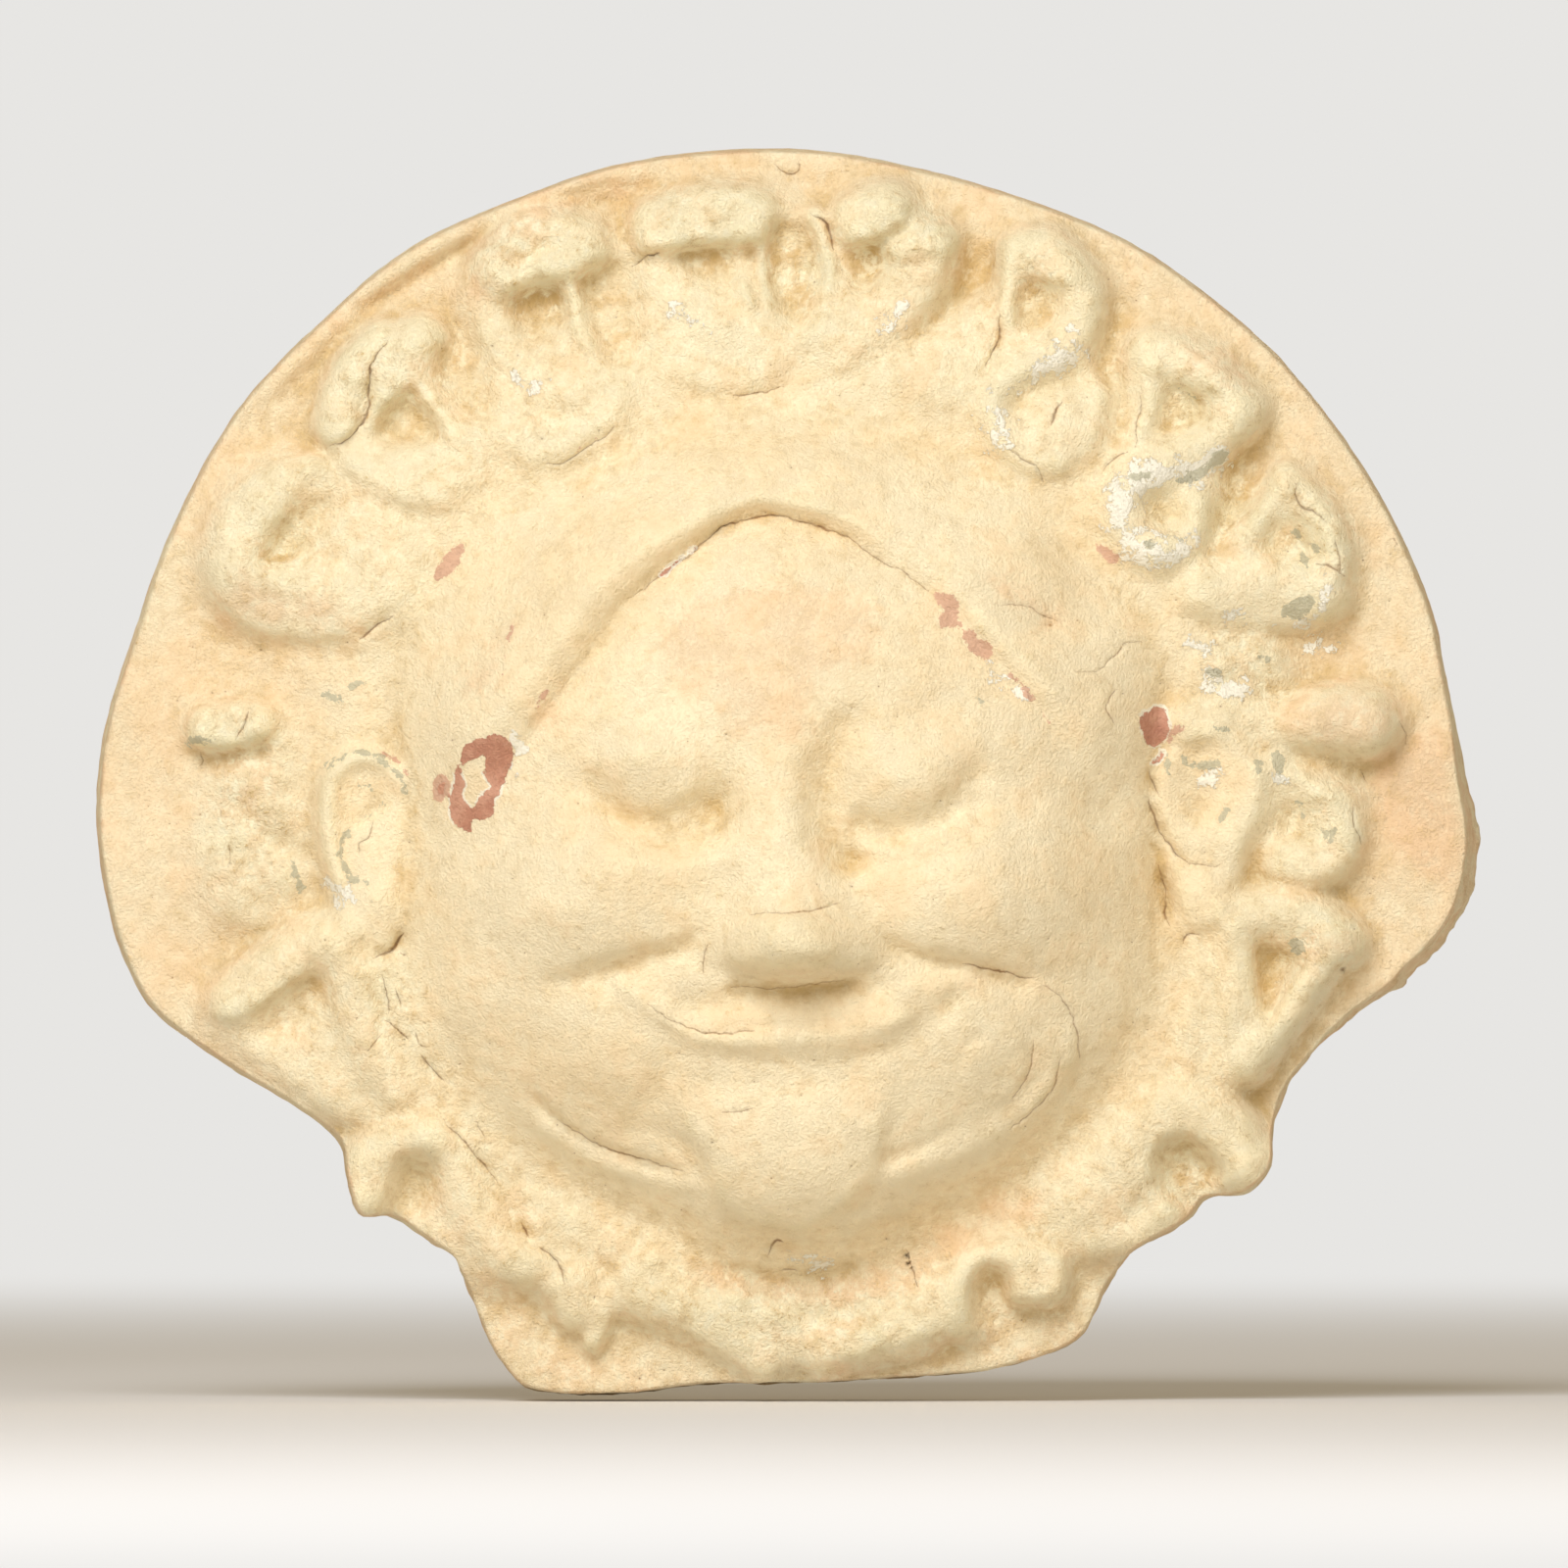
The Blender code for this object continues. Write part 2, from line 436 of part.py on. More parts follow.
def twelfth_lock(locks):
    """Smooth head beside the right ear, over a lock that turns in below it."""
    locks.mass([(70, 6), (73, 10.5), (79, 13.3), (85, 12.6), (88.6, 9.4), (88.4, 5.6), (84.5, 3.6),
                (74.5, 4.4)],
               8.5, 3.4)
    locks.sink([(74, 5.4), (84.5, 2.9), (88.8, 6.5), (89, 4), (85.5, 0.9), (75, 2.4)], 1.8, 2.2)
    locks.cord([(57, 7), (63, 7), (68, 5), (71, 5)], 6, 6)
    locks.mass([(69, 2.5), (75, 2.5), (80.5, -0.5), (81.8, -12), (77, -15.5), (70, -14.5), (67.5, -9)],
               4.5, 3.0)
    locks.cord([(72.5, 0.5), (77, -3), (79.5, -7.5), (78.5, -12), (73, -13), (70.5, -10)], 6.2, 7)


def thirteenth_lock(locks):
    """Forked lock under the right ear."""
    locks.mass([(61.5, -20.5), (66, -17.6), (73, -17.6), (81.5, -24.5), (74.5, -34), (70, -41), (64, -46),
                (57, -46), (55.5, -38), (59, -29)], 5.5, 3.4)
    locks.cord([(67, -20.5), (65, -25), (65.2, -31), (66.2, -38)], 6, 7.8)
    locks.cord([(69, -20.6), (74, -21), (78, -23.6)], 6.5, 8.6)
    locks.cord([(78.5, -25.6), (74.3, -31), (70.6, -37), (66, -41.5)], 5, 8)
    locks.sink([(69, -25), (72.5, -26), (72.6, -28.5), (69.2, -37), (68.4, -31)], 2.6, 1.8)
    locks.swell([(78, -30), (74.5, -35), (72, -40), (67, -45.5)], 3.4, -1.6)


def fourteenth_lock(locks):
    """Hooked lock at the lower right, above the break."""
    locks.mass([(38, -57), (45, -53), (50, -49), (53, -56), (53.5, -63), (50, -67.5), (38.5, -68),
                (36, -63)],
               6.5, 3.4)
    locks.cord([(41, -63), (47, -62), (51, -60), (51.5, -54.5), (54.5, -49.8), (59.5, -49.3),
                (63.5, -52.5)],
               (9, 7.5), (7, 9))
    locks.mass([(48, -50), (52, -46), (58, -44), (64, -47), (66.5, -52), (60, -55.5), (52, -54)], 6, 3.0)
    locks.sink([(54, -54), (55.8, -52), (61, -55.5), (59, -58), (56, -60.5), (54.2, -58.5)], 4.0, 2.2)


def foot_locks(locks):
    """What is left of the locks under the chin: a stub, a worn roll and a hook at its right end."""
    locks.mass([(-34.5, -73), (-30, -72), (-25.5, -73.5), (-26, -77.5), (-28.5, -79.6), (-34.6, -76)],
               8.0, 3.4)
    locks.mass([(-25, -71.5), (-12, -72), (0, -75), (12, -73.5), (22, -70), (23.5, -79.5), (9, -84.5),
                (-10, -84.5), (-25, -80)], 5.5, 5.0)
    locks.cord([(-22, -77), (-14, -79.5), (-5, -80.5), (3, -79.5), (11, -81), (19, -79.5), (22.5, -76)],
               8, 8)
    locks.mass([(22.5, -79.5), (22, -73), (25, -68), (31, -65.5), (37, -66.5), (39.5, -75.6), (33, -76.4),
                (27, -81.5)], 5.0, 3.0)
    locks.cord([(23.6, -79), (24, -73.5), (27, -69.5), (32, -68.5)], 5, 7.5)
    locks.sink([(25.6, -72.5), (29, -70), (30.6, -72), (31.5, -76), (30, -79), (26.5, -79)], 2.8)
    locks.mass([(31, -69.5), (36, -68.5), (39.6, -70), (39.4, -75.6), (33, -76.4), (31, -73)], 9.0, 2.6)


def rim_rise(x, z):
    """The raised lip that is left along the upper left edge."""
    out, edge = outward(x, z, OUTLINE, OUTLINE_CENTRE)
    turn = np.degrees(np.arctan2(z - OUTLINE_CENTRE[1], x - OUTLINE_CENTRE[0]))
    stretch = smooth((turn - 95.0) / 12.0) * smooth((150.0 - turn) / 12.0)
    return 1.4 * stretch * smooth((4.4 - (1.0 - out) * edge) / 2.2)


def carve(x, z):
    """Height of the carving above the plate at points of the sheet."""
    mask = Clay(x, z)
    for shape in (shape_head, shape_hair, shape_brow, shape_eyes, shape_cheeks, shape_nose, shape_mouth,
                  shape_chin, shape_ears):
        shape(mask)
    ring = Clay(x, z)
    for shape in (fifth_lock, sixth_lock, fourth_lock, crown_lock, eighth_lock, ninth_lock, tenth_lock,
                  eleventh_lock, twelfth_lock, thirteenth_lock, third_lock, second_lock, first_lock,
                  foot_locks,
                  fourteenth_lock):
        shape(ring)
    lifted = 0.35 * np.clip(mask.mound, 0, 6) * smooth(ring.mound / 3.0)
    height = join(mask.mound, LOCK_RISE * ring.mound + lifted) + rim_rise(x, z)
    height -= mask.hollow + LOCK_RISE * ring.hollow
    return np.where(height < 0, 0.4 * height, height)


def rub(height, radius):
    """Rounds every edge of the sampled heights by about the radius, in steps of the sheet."""
    side = int(3 * radius) + 1
    weight = np.exp(-0.5 * (np.arange(-side, side + 1) / radius) ** 2)
    weight /= weight.sum()

    def rubbed(row):
        return np.convolve(np.pad(row, side, mode="edge"), weight, mode="valid")

    for axis in (0, 1):
        height = np.apply_along_axis(rubbed, axis, height)
    return height


class Sheet:
    """The carving's heights, sampled once and read between the samples."""

    def __init__(self):
        self.low = np.array([-SHEET_ACROSS, -SHEET_UP]) * 0.51
        across = np.arange(self.low[0], -self.low[0], SHEET_STEP)
        up = np.arange(self.low[1], -self.low[1], SHEET_STEP)
        x, z = np.meshgrid(across, up)
        height = carve(x.ravel(), z.ravel()).reshape(x.shape)
        unit = WIDTH / SHEET_ACROSS
        self.height = rub(height, WEAR / unit / SHEET_STEP)

    def at(self, points):
        place = (points - self.low) / SHEET_STEP
        cell = np.floor(place).astype(int)
        share = place - cell
        column = np.clip(cell[:, 0], 0, self.height.shape[1] - 2)
        row = np.clip(cell[:, 1], 0, self.height.shape[0] - 2)
        below = self.height[row, column] * (1 - share[:, 0]) + self.height[row, column + 1] * share[:, 0]
        above = self.height[row + 1, column] * (1 - share[:, 0]) + self.height[row + 1,
                                                                               column + 1] * share[:, 0]
        return below * (1 - share[:, 1]) + above * share[:, 1]


def draft(outline):
    """How far the front edge stands inside the back edge at each point of the outline, in metres."""
    turn = np.degrees(np.arctan2(outline[:, 1] - OUTLINE_CENTRE[1], outline[:, 0] - OUTLINE_CENTRE[0]))
    at = [-152, -132, -112, -68, -46, -24, -14, -4, 8, 40, 140, 168]
    far = [DRAFT_SIDE, DRAFT_BREAK, DRAFT_FOOT, DRAFT_FOOT, DRAFT_BREAK, DRAFT_BREAK, DRAFT_CHIP,
           DRAFT_CHIP,
           DRAFT_SIDE, DRAFT_TOP, DRAFT_TOP, DRAFT_SIDE]
    return np.interp(turn, at, far, period=360)


def drawn_in(outline, distance):
    """The outline with each point moved towards the middle by its distance, in metres."""
    spoke = (outline - OUTLINE_CENTRE) * [WIDTH / SHEET_ACROSS, HEIGHT / SHEET_UP]
    kept = 1.0 - distance / np.hypot(spoke[:, 0], spoke[:, 1])
    return OUTLINE_CENTRE + (outline - OUTLINE_CENTRE) * kept[:, None]


def lattice_inside(edge):
    """A triangular lattice over the face, kept clear of its edge."""
    rows = np.arange(-SHEET_UP, SHEET_UP, LATTICE * np.sqrt(3.0))
    columns = np.arange(-SHEET_ACROSS, SHEET_ACROSS, LATTICE)
    x, z = np.meshgrid(columns, rows)
    even = np.column_stack([x.ravel(), z.ravel()])
    every = np.vstack([even, even + [LATTICE / 2, LATTICE * np.sqrt(0.75)]])
    return every[depth_inside(every[:, 0], every[:, 1], edge) > EDGE_CLEAR]


def facets(points, edge_count):
    """Triangles between the points, inside the ring that the first of them make."""
    ring = [(k, (k + 1) % edge_count) for k in range(edge_count)]
    placed, _, faces, origins, _, _ = delaunay_2d_cdt(points.tolist(), ring, [], 1, 1e-7)
    came_from = np.array([origin[0] for origin in origins])
    return came_from[np.array(faces)]


def follow(edge, sheet):
    """Points and triangles of the face: in each pass the facets that miss most take one more point."""
    points = np.vstack([edge, lattice_inside(edge)])
    tries = np.array([(1, 1, 1), (4, 1, 1), (1, 4, 1), (1, 1, 4)], float)
    tries /= tries.sum(axis=1)[:, None]
    growth = (FACE_POINTS / len(points)) ** (1.0 / ROUNDS)
    for _ in range(ROUNDS):
        faces = facets(points, len(edge))
        height = sheet.at(points)
        corners = points[faces]
        candidates = np.einsum("tc,fcd->ftd", tries, corners)
        flat = np.einsum("tc,fc->ft", tries, height[faces])
        miss = np.abs(sheet.at(candidates.reshape(-1, 2)).reshape(flat.shape) - flat)
        worst = miss.argmax(axis=1)
        sides = np.roll(corners, 1, axis=1) - corners
        shortest = np.hypot(sides[..., 0], sides[..., 1]).min(axis=1)
        score = miss.max(axis=1) * np.clip(shortest / EDGE_CLEAR - 0.35, 0.0, 1.0)
        wanted = int(len(points) * (growth - 1.0))
        chosen = np.argsort(-score, kind="stable")[:wanted]
        points = np.vstack([points, candidates[chosen, worst[chosen]]])
    return points, facets(points, len(edge))


def solid_of(points, y):
    """Points of the sheet at their real places, with the depth given."""
    return np.column_stack([points[:, 0] * WIDTH / SHEET_ACROSS, y, points[:, 1] * HEIGHT / SHEET_UP])


def antefix_mesh():
    """The carved face, a narrow rounded arris, the side wall and the flat back, as one closed skin."""
    sheet = Sheet()
    back = curve(OUTLINE, OUTLINE_STEPS, closed=True)
    inset = draft(back)
    front = drawn_in(back, inset + 0.6 * ARRIS)
    arris = drawn_in(back, inset)
    points, faces = follow(front, sheet)
    out = RELIEF / SHEET_OUT
    count = len(back)
    face = solid_of(points, -PLATE - out * sheet.at(points))
    turned = solid_of(arris, ARRIS - PLATE - out * sheet.at(front))
    rear = solid_of(back, np.zeros(count))
    rows = [np.arange(count), len(points) + np.arange(count), len(points) + count + np.arange(count)]
    skin = faces.tolist()
    for near, far in zip(rows[:-1], rows[1:]):
        for k in range(count):
            after = (k + 1) % count
            skin.append([near[k], far[k], far[after], near[after]])
    skin.append(rows[-1][::-1].tolist())
    mesh = bpy.data.meshes.new("antefix")
    mesh.from_pydata(np.vstack([face, turned, rear]).tolist(), [], skin)
    mesh.shade_smooth()
    mesh.set_sharp_from_angle(angle=np.radians(50))
    return mesh


def clay_material():
    material = bpy.data.materials.new("fired clay")
    material.use_nodes = True
    shader = material.node_tree.nodes["Principled BSDF"]
    shader.inputs["Base Color"].default_value = CLAY_COLOUR
    shader.inputs["Roughness"].default_value = CLAY_ROUGHNESS
    shader.inputs["Metallic"].default_value = 0.0
    return material


def main():
    clear_scene()
    antefix = bpy.data.objects.new("antefix", antefix_mesh())
    antefix.data.materials.append(clay_material())
    bpy.context.scene.collection.objects.link(antefix)


main()
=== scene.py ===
# %% [markdown]
# # A terracotta antefix
# An antefix closes the end of a row of cover tiles at the edge of a roof. This one was pressed in a mould:
# a broad mask with its tongue out, in a ring of curling locks, on a thick rounded plate. The lower corners
# are broken away. One piece of clay gives one mesh here, laid over the plain solid that the frame brings
# in.

# %% Load the frame
import math
import bpy
import numpy as np
from mathutils.geometry import delaunay_2d_cdt
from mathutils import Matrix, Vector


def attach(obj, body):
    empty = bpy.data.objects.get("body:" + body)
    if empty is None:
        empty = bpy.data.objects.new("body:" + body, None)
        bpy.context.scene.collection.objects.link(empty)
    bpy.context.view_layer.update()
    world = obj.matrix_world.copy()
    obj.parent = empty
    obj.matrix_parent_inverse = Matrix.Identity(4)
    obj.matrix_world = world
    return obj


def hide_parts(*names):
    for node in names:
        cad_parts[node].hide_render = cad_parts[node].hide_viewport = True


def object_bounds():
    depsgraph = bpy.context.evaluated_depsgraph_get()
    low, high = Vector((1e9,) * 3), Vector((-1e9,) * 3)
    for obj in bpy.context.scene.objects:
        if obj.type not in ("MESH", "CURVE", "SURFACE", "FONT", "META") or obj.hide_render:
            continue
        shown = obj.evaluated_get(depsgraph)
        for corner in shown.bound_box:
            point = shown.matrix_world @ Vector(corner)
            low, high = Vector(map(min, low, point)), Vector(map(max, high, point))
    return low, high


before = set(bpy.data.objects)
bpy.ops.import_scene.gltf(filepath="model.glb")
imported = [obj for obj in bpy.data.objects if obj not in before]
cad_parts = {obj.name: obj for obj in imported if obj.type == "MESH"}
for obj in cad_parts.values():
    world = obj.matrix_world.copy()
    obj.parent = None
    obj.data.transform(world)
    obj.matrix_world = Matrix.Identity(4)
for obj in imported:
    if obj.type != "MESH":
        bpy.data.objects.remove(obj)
cad_low, cad_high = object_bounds()
print("solid, mm:", [round(1000 * side, 1) for side in cad_high - cad_low])

# %% [markdown]
# The photograph looks straight at the mask through a long lens, so the camera stands far off and level. Its
# frame is 1600 pixels wide, with 7.07 of them to a millimetre of the plate, and that fixes the focal
# length.

# %% Camera
PHOTO_SIDE = 1600
PIXELS_PER_MM = 7.07
ORIGIN_PIXEL = (805.0, 788.5)
CAMERA_DISTANCE = 6.0
SENSOR = 36.0
VIEW_LIMIT = 50.0
MM = 0.001


def add_camera():
    """A level camera that looks from the photograph's place. Returns its focal length."""
    middle = PHOTO_SIDE / 2
    across = (middle - ORIGIN_PIXEL[0]) / PIXELS_PER_MM * MM
    up = (ORIGIN_PIXEL[1] - middle) / PIXELS_PER_MM * MM
    data = bpy.data.cameras.new("camera")
    data.sensor_width = SENSOR
    data.lens = SENSOR * CAMERA_DISTANCE / (PHOTO_SIDE / PIXELS_PER_MM * MM)
    data.clip_end = VIEW_LIMIT
    camera = bpy.data.objects.new("camera", data)
    camera.location = (across, -CAMERA_DISTANCE, up)
    camera.rotation_euler = (math.radians(90), 0, 0)
    bpy.context.scene.collection.objects.link(camera)
    bpy.context.scene.camera = camera
    return data.lens


print("lens, mm:", round(add_camera()))

# %% [markdown]
# ## Drawing on a sheet
# A relief is a height over a flat sheet, so the whole carving can be drawn as mounds and hollows on one.
# The sheet is 200 units across and 180 up, a unit is a millimetre at this size, and smooth curves through a
# few points stand for the modeller's strokes. Sculpting by hand would be quicker to look at, but could not
# be changed by a number afterwards.

# %% Curves and distances
def smooth(share):
    """A share held between 0 and 1, with both ends eased off."""
    share = np.clip(share, 0.0, 1.0)
    return share * share * (3.0 - 2.0 * share)


def curve(points, steps=5, closed=False):
    """A smooth line through a few points."""
    given = np.asarray(points, float)
    if closed:
        held = np.vstack([given[-1:], given, given[:2]])
    else:
        held = np.vstack([2 * given[0] - given[1], given, 2 * given[-1] - given[-2]])
    t = np.linspace(0.0, 1.0, steps, endpoint=False)[:, None]
    rows = []
    for before, start, end, after in zip(held[:-3], held[1:-2], held[2:-1], held[3:]):
        bend = 2 * before - 5 * start + 4 * end - after
        twist = 3 * start - before - 3 * end + after
        rows.append(0.5 * (2 * start + (end - before) * t + bend * t ** 2 + twist * t ** 3))
    if not closed:
        rows.append(given[-1:])
    return np.vstack(rows)


def reach(x, z, line):
    """Distance to a line, the share of the way along it, and the side, + on the left of its run."""
    nearest = np.full(x.shape, np.inf)
    along = np.zeros(x.shape)
    side = np.zeros(x.shape)
    legs = np.diff(line, axis=0)
    length = np.maximum(np.hypot(legs[:, 0], legs[:, 1]), 1e-9)
    start = np.concatenate([[0.0], np.cumsum(length)])
    for leg, (dx, dz) in enumerate(legs):
        px = x - line[leg, 0]
        pz = z - line[leg, 1]
        t = np.clip((px * dx + pz * dz) / length[leg] ** 2, 0.0, 1.0)
        gap = np.hypot(px - t * dx, pz - t * dz)
        closer = gap < nearest
        nearest = np.where(closer, gap, nearest)
        along = np.where(closer, (start[leg] + t * length[leg]) / start[-1], along)
        side = np.where(closer, np.sign(dx * pz - dz * px), side)
    return nearest, along, side


def depth_inside(x, z, line):
    """Distance to a closed line, positive inside it."""
    loop = np.vstack([line, line[:1]])
    gap, _, _ = reach(x, z, loop)
    within = np.zeros(x.shape, bool)
    for (ax, az), (bx, bz) in zip(loop[:-1], loop[1:]):
        if az != bz:
            within ^= ((az > z) != (bz > z)) & (x < ax + (z - az) * (bx - ax) / (bz - az))
    return np.where(within, gap, -gap)


def outward(x, z, line, centre):
    """How far out each point lies as a share of a closed line's reach that way, and that reach."""
    ring = curve(line, 10, closed=True) - centre
    angle = np.arctan2(ring[:, 1], ring[:, 0])
    order = np.argsort(angle)
    turn = np.arctan2(z - centre[1], x - centre[0])
    edge = np.interp(turn, angle[order], np.hypot(ring[:, 0], ring[:, 1])[order], period=2 * np.pi)
    return np.hypot(x - centre[0], z - centre[1]) / edge, edge


def join(first, second, power=4.0):
    """The higher of two mounds, run softly into each other."""
    return (np.clip(first, 0, None) ** power + np.clip(second, 0, None) ** power) ** (1.0 / power)


def near(x, z, line, margin):
    """Which points lie within the margin round a line."""
    low = line.min(axis=0) - margin
    high = line.max(axis=0) + margin
    return np.nonzero((x > low[0]) & (x < high[0]) & (z > low[1]) & (z < high[1]))[0]


def both(value):
    """The values at a line's two ends, from one number or a pair."""
    return value if isinstance(value, tuple) else (value, value)


def slide(value, along):
    """A value that runs evenly from one end of a line to the other."""
    first, last = both(value)
    return first + (last - first) * along


# %% [markdown]
# The modeller's moves: press on a mass, roll on a strand, swell or furrow what is there, hollow it out with
# a thumb, and score it with a point. Mounds run softly into one another, as wet clay does.

# %% Clay
MASS_JOIN = 6.0
STRAND_FOOT = 0.76
STRAND_ROUND = 0.62
SCORE_ROUND = 1.3


class Clay:
    """Mounds, hollows, grooves and rough patches over a set of points of the sheet."""

    def __init__(self, x, z):
        self.x = x
        self.z = z
        self.mound = np.zeros(x.shape)
        self.hollow = np.zeros(x.shape)
        self.groove = np.zeros(x.shape)
        self.rough = np.zeros(x.shape)

    def follow(self, points, margin):
        """The places near a line, with their gap from it, their share of the way along it and their side."""
        line = curve(points)
        i = near(self.x, self.z, line, margin)
        return i, *reach(self.x[i], self.z[i], line)

    def within(self, points, run):
        """The places in and near a closed line, and how far inside it each lies."""
        line = curve(points, closed=True)
        i = near(self.x, self.z, line, run)
        return i, depth_inside(self.x[i], self.z[i], line)

    def from_middle(self, centre, size, turn=0.0):
        """How far out each place lies in an oval, 1 at its rim."""
        c = np.cos(np.radians(turn))
        s = np.sin(np.radians(turn))
        dx = self.x - centre[0]
        dz = self.z - centre[1]
        return np.hypot((dx * c + dz * s) / size[0], (dz * c - dx * s) / size[1])

    def shift(self, i, change):
        """Adds what rises to the mounds and what dips to the hollows."""
        self.mound[i] += np.clip(change, 0, None)
        self.hollow[i] += np.clip(-change, 0, None)

    def mass(self, points, top, run):
        """A raised patch inside a closed line, its side spread over the run."""
        i, deep = self.within(points, run)
        self.mound[i] = join(self.mound[i], top * smooth(0.5 + deep / run), MASS_JOIN)

    def sink(self, points, depth, run=2.5):
        """A hollow inside a closed line."""
        i, deep = self.within(points, run)
        self.hollow[i] += depth * smooth(0.5 + deep / run)

    def cord(self, points, width, top):
        """A rounded strand along a line. Width and top may be given for its two ends."""
        foot = tuple(STRAND_FOOT * end for end in both(width))
        i, gap, along, _ = self.follow(points, max(foot) + 1.0)
        rounded = (1.0 - np.clip(gap / slide(foot, along), 0.0, 1.0) ** 2) ** STRAND_ROUND
        self.mound[i] = join(self.mound[i], slide(top, along) * rounded)

    def swell(self, points, width, rise):
        """A soft ridge added to what is there, or a soft furrow where the rise is negative."""
        i, gap, along, _ = self.follow(points, max(both(width)))
        self.shift(i, slide(rise, along) * (1.0 - smooth(gap / slide(width, along))))

    def dome(self, centre, size, rise, turn=0.0):
        """A soft oval mound, or a dip where the rise is negative."""
        self.shift(slice(None), rise * (1.0 - smooth(self.from_middle(centre, size, turn))))

    def lip(self, points, rise, fade, run=1.0, ends=0.15):
        """A step along a line: it rises steeply to the left of its run and dies away there over the fade."""
        i, gap, along, side = self.follow(points, fade)
        signed = gap * side
        whole = smooth(along / ends) * smooth((1.0 - along) / ends)
        step = smooth(0.5 + signed / run) * (1.0 - smooth(signed / fade))
        self.mound[i] += np.where(gap < fade, rise * whole * step, 0.0)

    def roughen(self, centre, size, amount):
        """Leaves an oval patch of the surface lumpier than the rest."""
        self.rough = np.maximum(self.rough, amount * (1.0 - smooth(self.from_middle(centre, size))))

    def score(self, points, width, depth, fade=0.15):
        """A narrow groove that dies away at both ends."""
        i, gap, along, _ = self.follow(points, width)
        ends = smooth(along / fade) * smooth((1.0 - along) / fade)
        groove = depth * ends * np.clip(1.0 - gap / width, 0.0, 1.0) ** SCORE_ROUND
        self.groove[i] = np.maximum(self.groove[i], groove)


# %% [markdown]
# ## The plate
# The arch was cut round the mould with a knife. The sides and the narrow foot are what is left after the
# lower corners broke off, so those stretches run unevenly. The outline is read from the left,
# anticlockwise.

# %% Outline of the plate
LEFT_SIDE = [(-89.3, 35), (-94.7, 20), (-99, 5.7), (-100, -8), (-98, -21), (-94.7, -30), (-90.5, -35.6)]
LEFT_BREAK = [(-80.6, -42.7), (-71.4, -48.3), (-65.1, -53.3), (-64.1, -58.2), (-62.2, -63.9), (-57.3, -64.3),
              (-51.6, -68.1), (-48.1, -71), (-44.6, -79.4), (-41.7, -85.1)]
FOOT = [(-36.8, -89.3), (-24, -89.8), (-12.3, -88.4), (2.3, -88.2), (20, -87.2), (30, -86.2), (41.6, -82.1)]
RIGHT_BREAK = [(46, -74.4), (50, -69.2), (57.5, -65), (60.5, -61.6), (66, -60.8), (69.8, -57), (70.3, -51),
               (72.5, -45), (78, -38.5), (84, -34), (90, -30)]
RIGHT_SIDE = [(97, -22.5), (99.8, -15), (99.9, -8), (97.8, 0), (94.9, 14.2), (92.4, 25), (85.2, 40.6)]
ARCH = [(75, 55.2), (65, 65.4), (50, 76.2), (35, 82.6), (20, 87), (5, 89.8), (-10, 89.9), (-25, 87.8),
        (-40, 82.7), (-55, 75.7), (-67.5, 65.3), (-80, 52)]
OUTLINE = LEFT_SIDE + LEFT_BREAK + FOOT + RIGHT_BREAK + RIGHT_SIDE + ARCH
OUTLINE_CENTRE = (0.0, -6.0)
print("outline:", len(OUTLINE), "points")

# %% [markdown]
# ## The mask
# The face is a full cushion with a steep edge, so it rises quickly from the plate and is nearly level over
# the cheeks. Over the brow lies a smooth band of hair, highest on the left where it throws a crease.

# %% Cushion and hair
HEAD = [(-58, 14), (-58, 4), (-57, -8), (-57.3, -24.3), (-56, -35.6), (-52, -42.6), (-44, -51.5),
        (-34.7, -58.3), (-20, -66), (-11, -71), (-0.7, -72.5), (10.6, -71.2), (20.5, -66.5), (31.8, -60),
        (42, -51.5), (50.5, -41.2), (54.2, -29.9), (54.5, -15.8), (54.5, 0), (55.9, 13.9), (53, 23.8),
        (46, 32.3), (38.9, 40.8), (20.5, 50.7), (0, 54.7), (-14.9, 52.1), (-29, 47.2), (-43.1, 40.8),
        (-51.6, 32.3), (-56, 24)]
HEAD_CENTRE = (-1.0, -12.0)
HEAD_RISE = 28.0
HEAD_LEVEL = 2.4
HEAD_STEEP = 0.66
SKIRT = 3.0
SKIRT_BESIDE = 1.8
SKIRT_ABOVE = 3.4
SKIRT_RUN = 18.0
SKIRT_RUN_BESIDE = 8.0
HAIR_RISE = 3.6
HAIR_CREASE = 1.4

HAIRLINE = [(-44, -12), (-41, -2), (-35.5, 7.5), (-27.5, 18.5), (-23, 24.7), (-15, 31.3), (-6, 36.6), (2, 36),
            (9, 33.6), (20, 26), (27.5, 18), (34, 11), (38.5, 6), (44, -4), (50, -20), (40, -50), (0, -62),
            (-40, -50), (-50, -26)]


def shape_head(clay):
    """The mask's cushion, full in the middle and steep at its edge, with a skirt that runs out round it."""
    out, edge = outward(clay.x, clay.z, HEAD, HEAD_CENTRE)
    cushion = HEAD_RISE * (1.0 - np.clip(out, 0, 1) ** HEAD_LEVEL) ** HEAD_STEEP
    past = np.clip((out - 1.0) * edge, 0, None)
    above = smooth((clay.z + 5.0) / 45.0)
    beside = smooth((clay.z + 62.0) / 30.0)
    skirt = SKIRT + SKIRT_BESIDE * beside + SKIRT_ABOVE * above
    skirt = skirt * (1.0 - smooth(past / (SKIRT_RUN + SKIRT_RUN_BESIDE * beside)))
    clay.mound += join(cushion, skirt, MASS_JOIN)


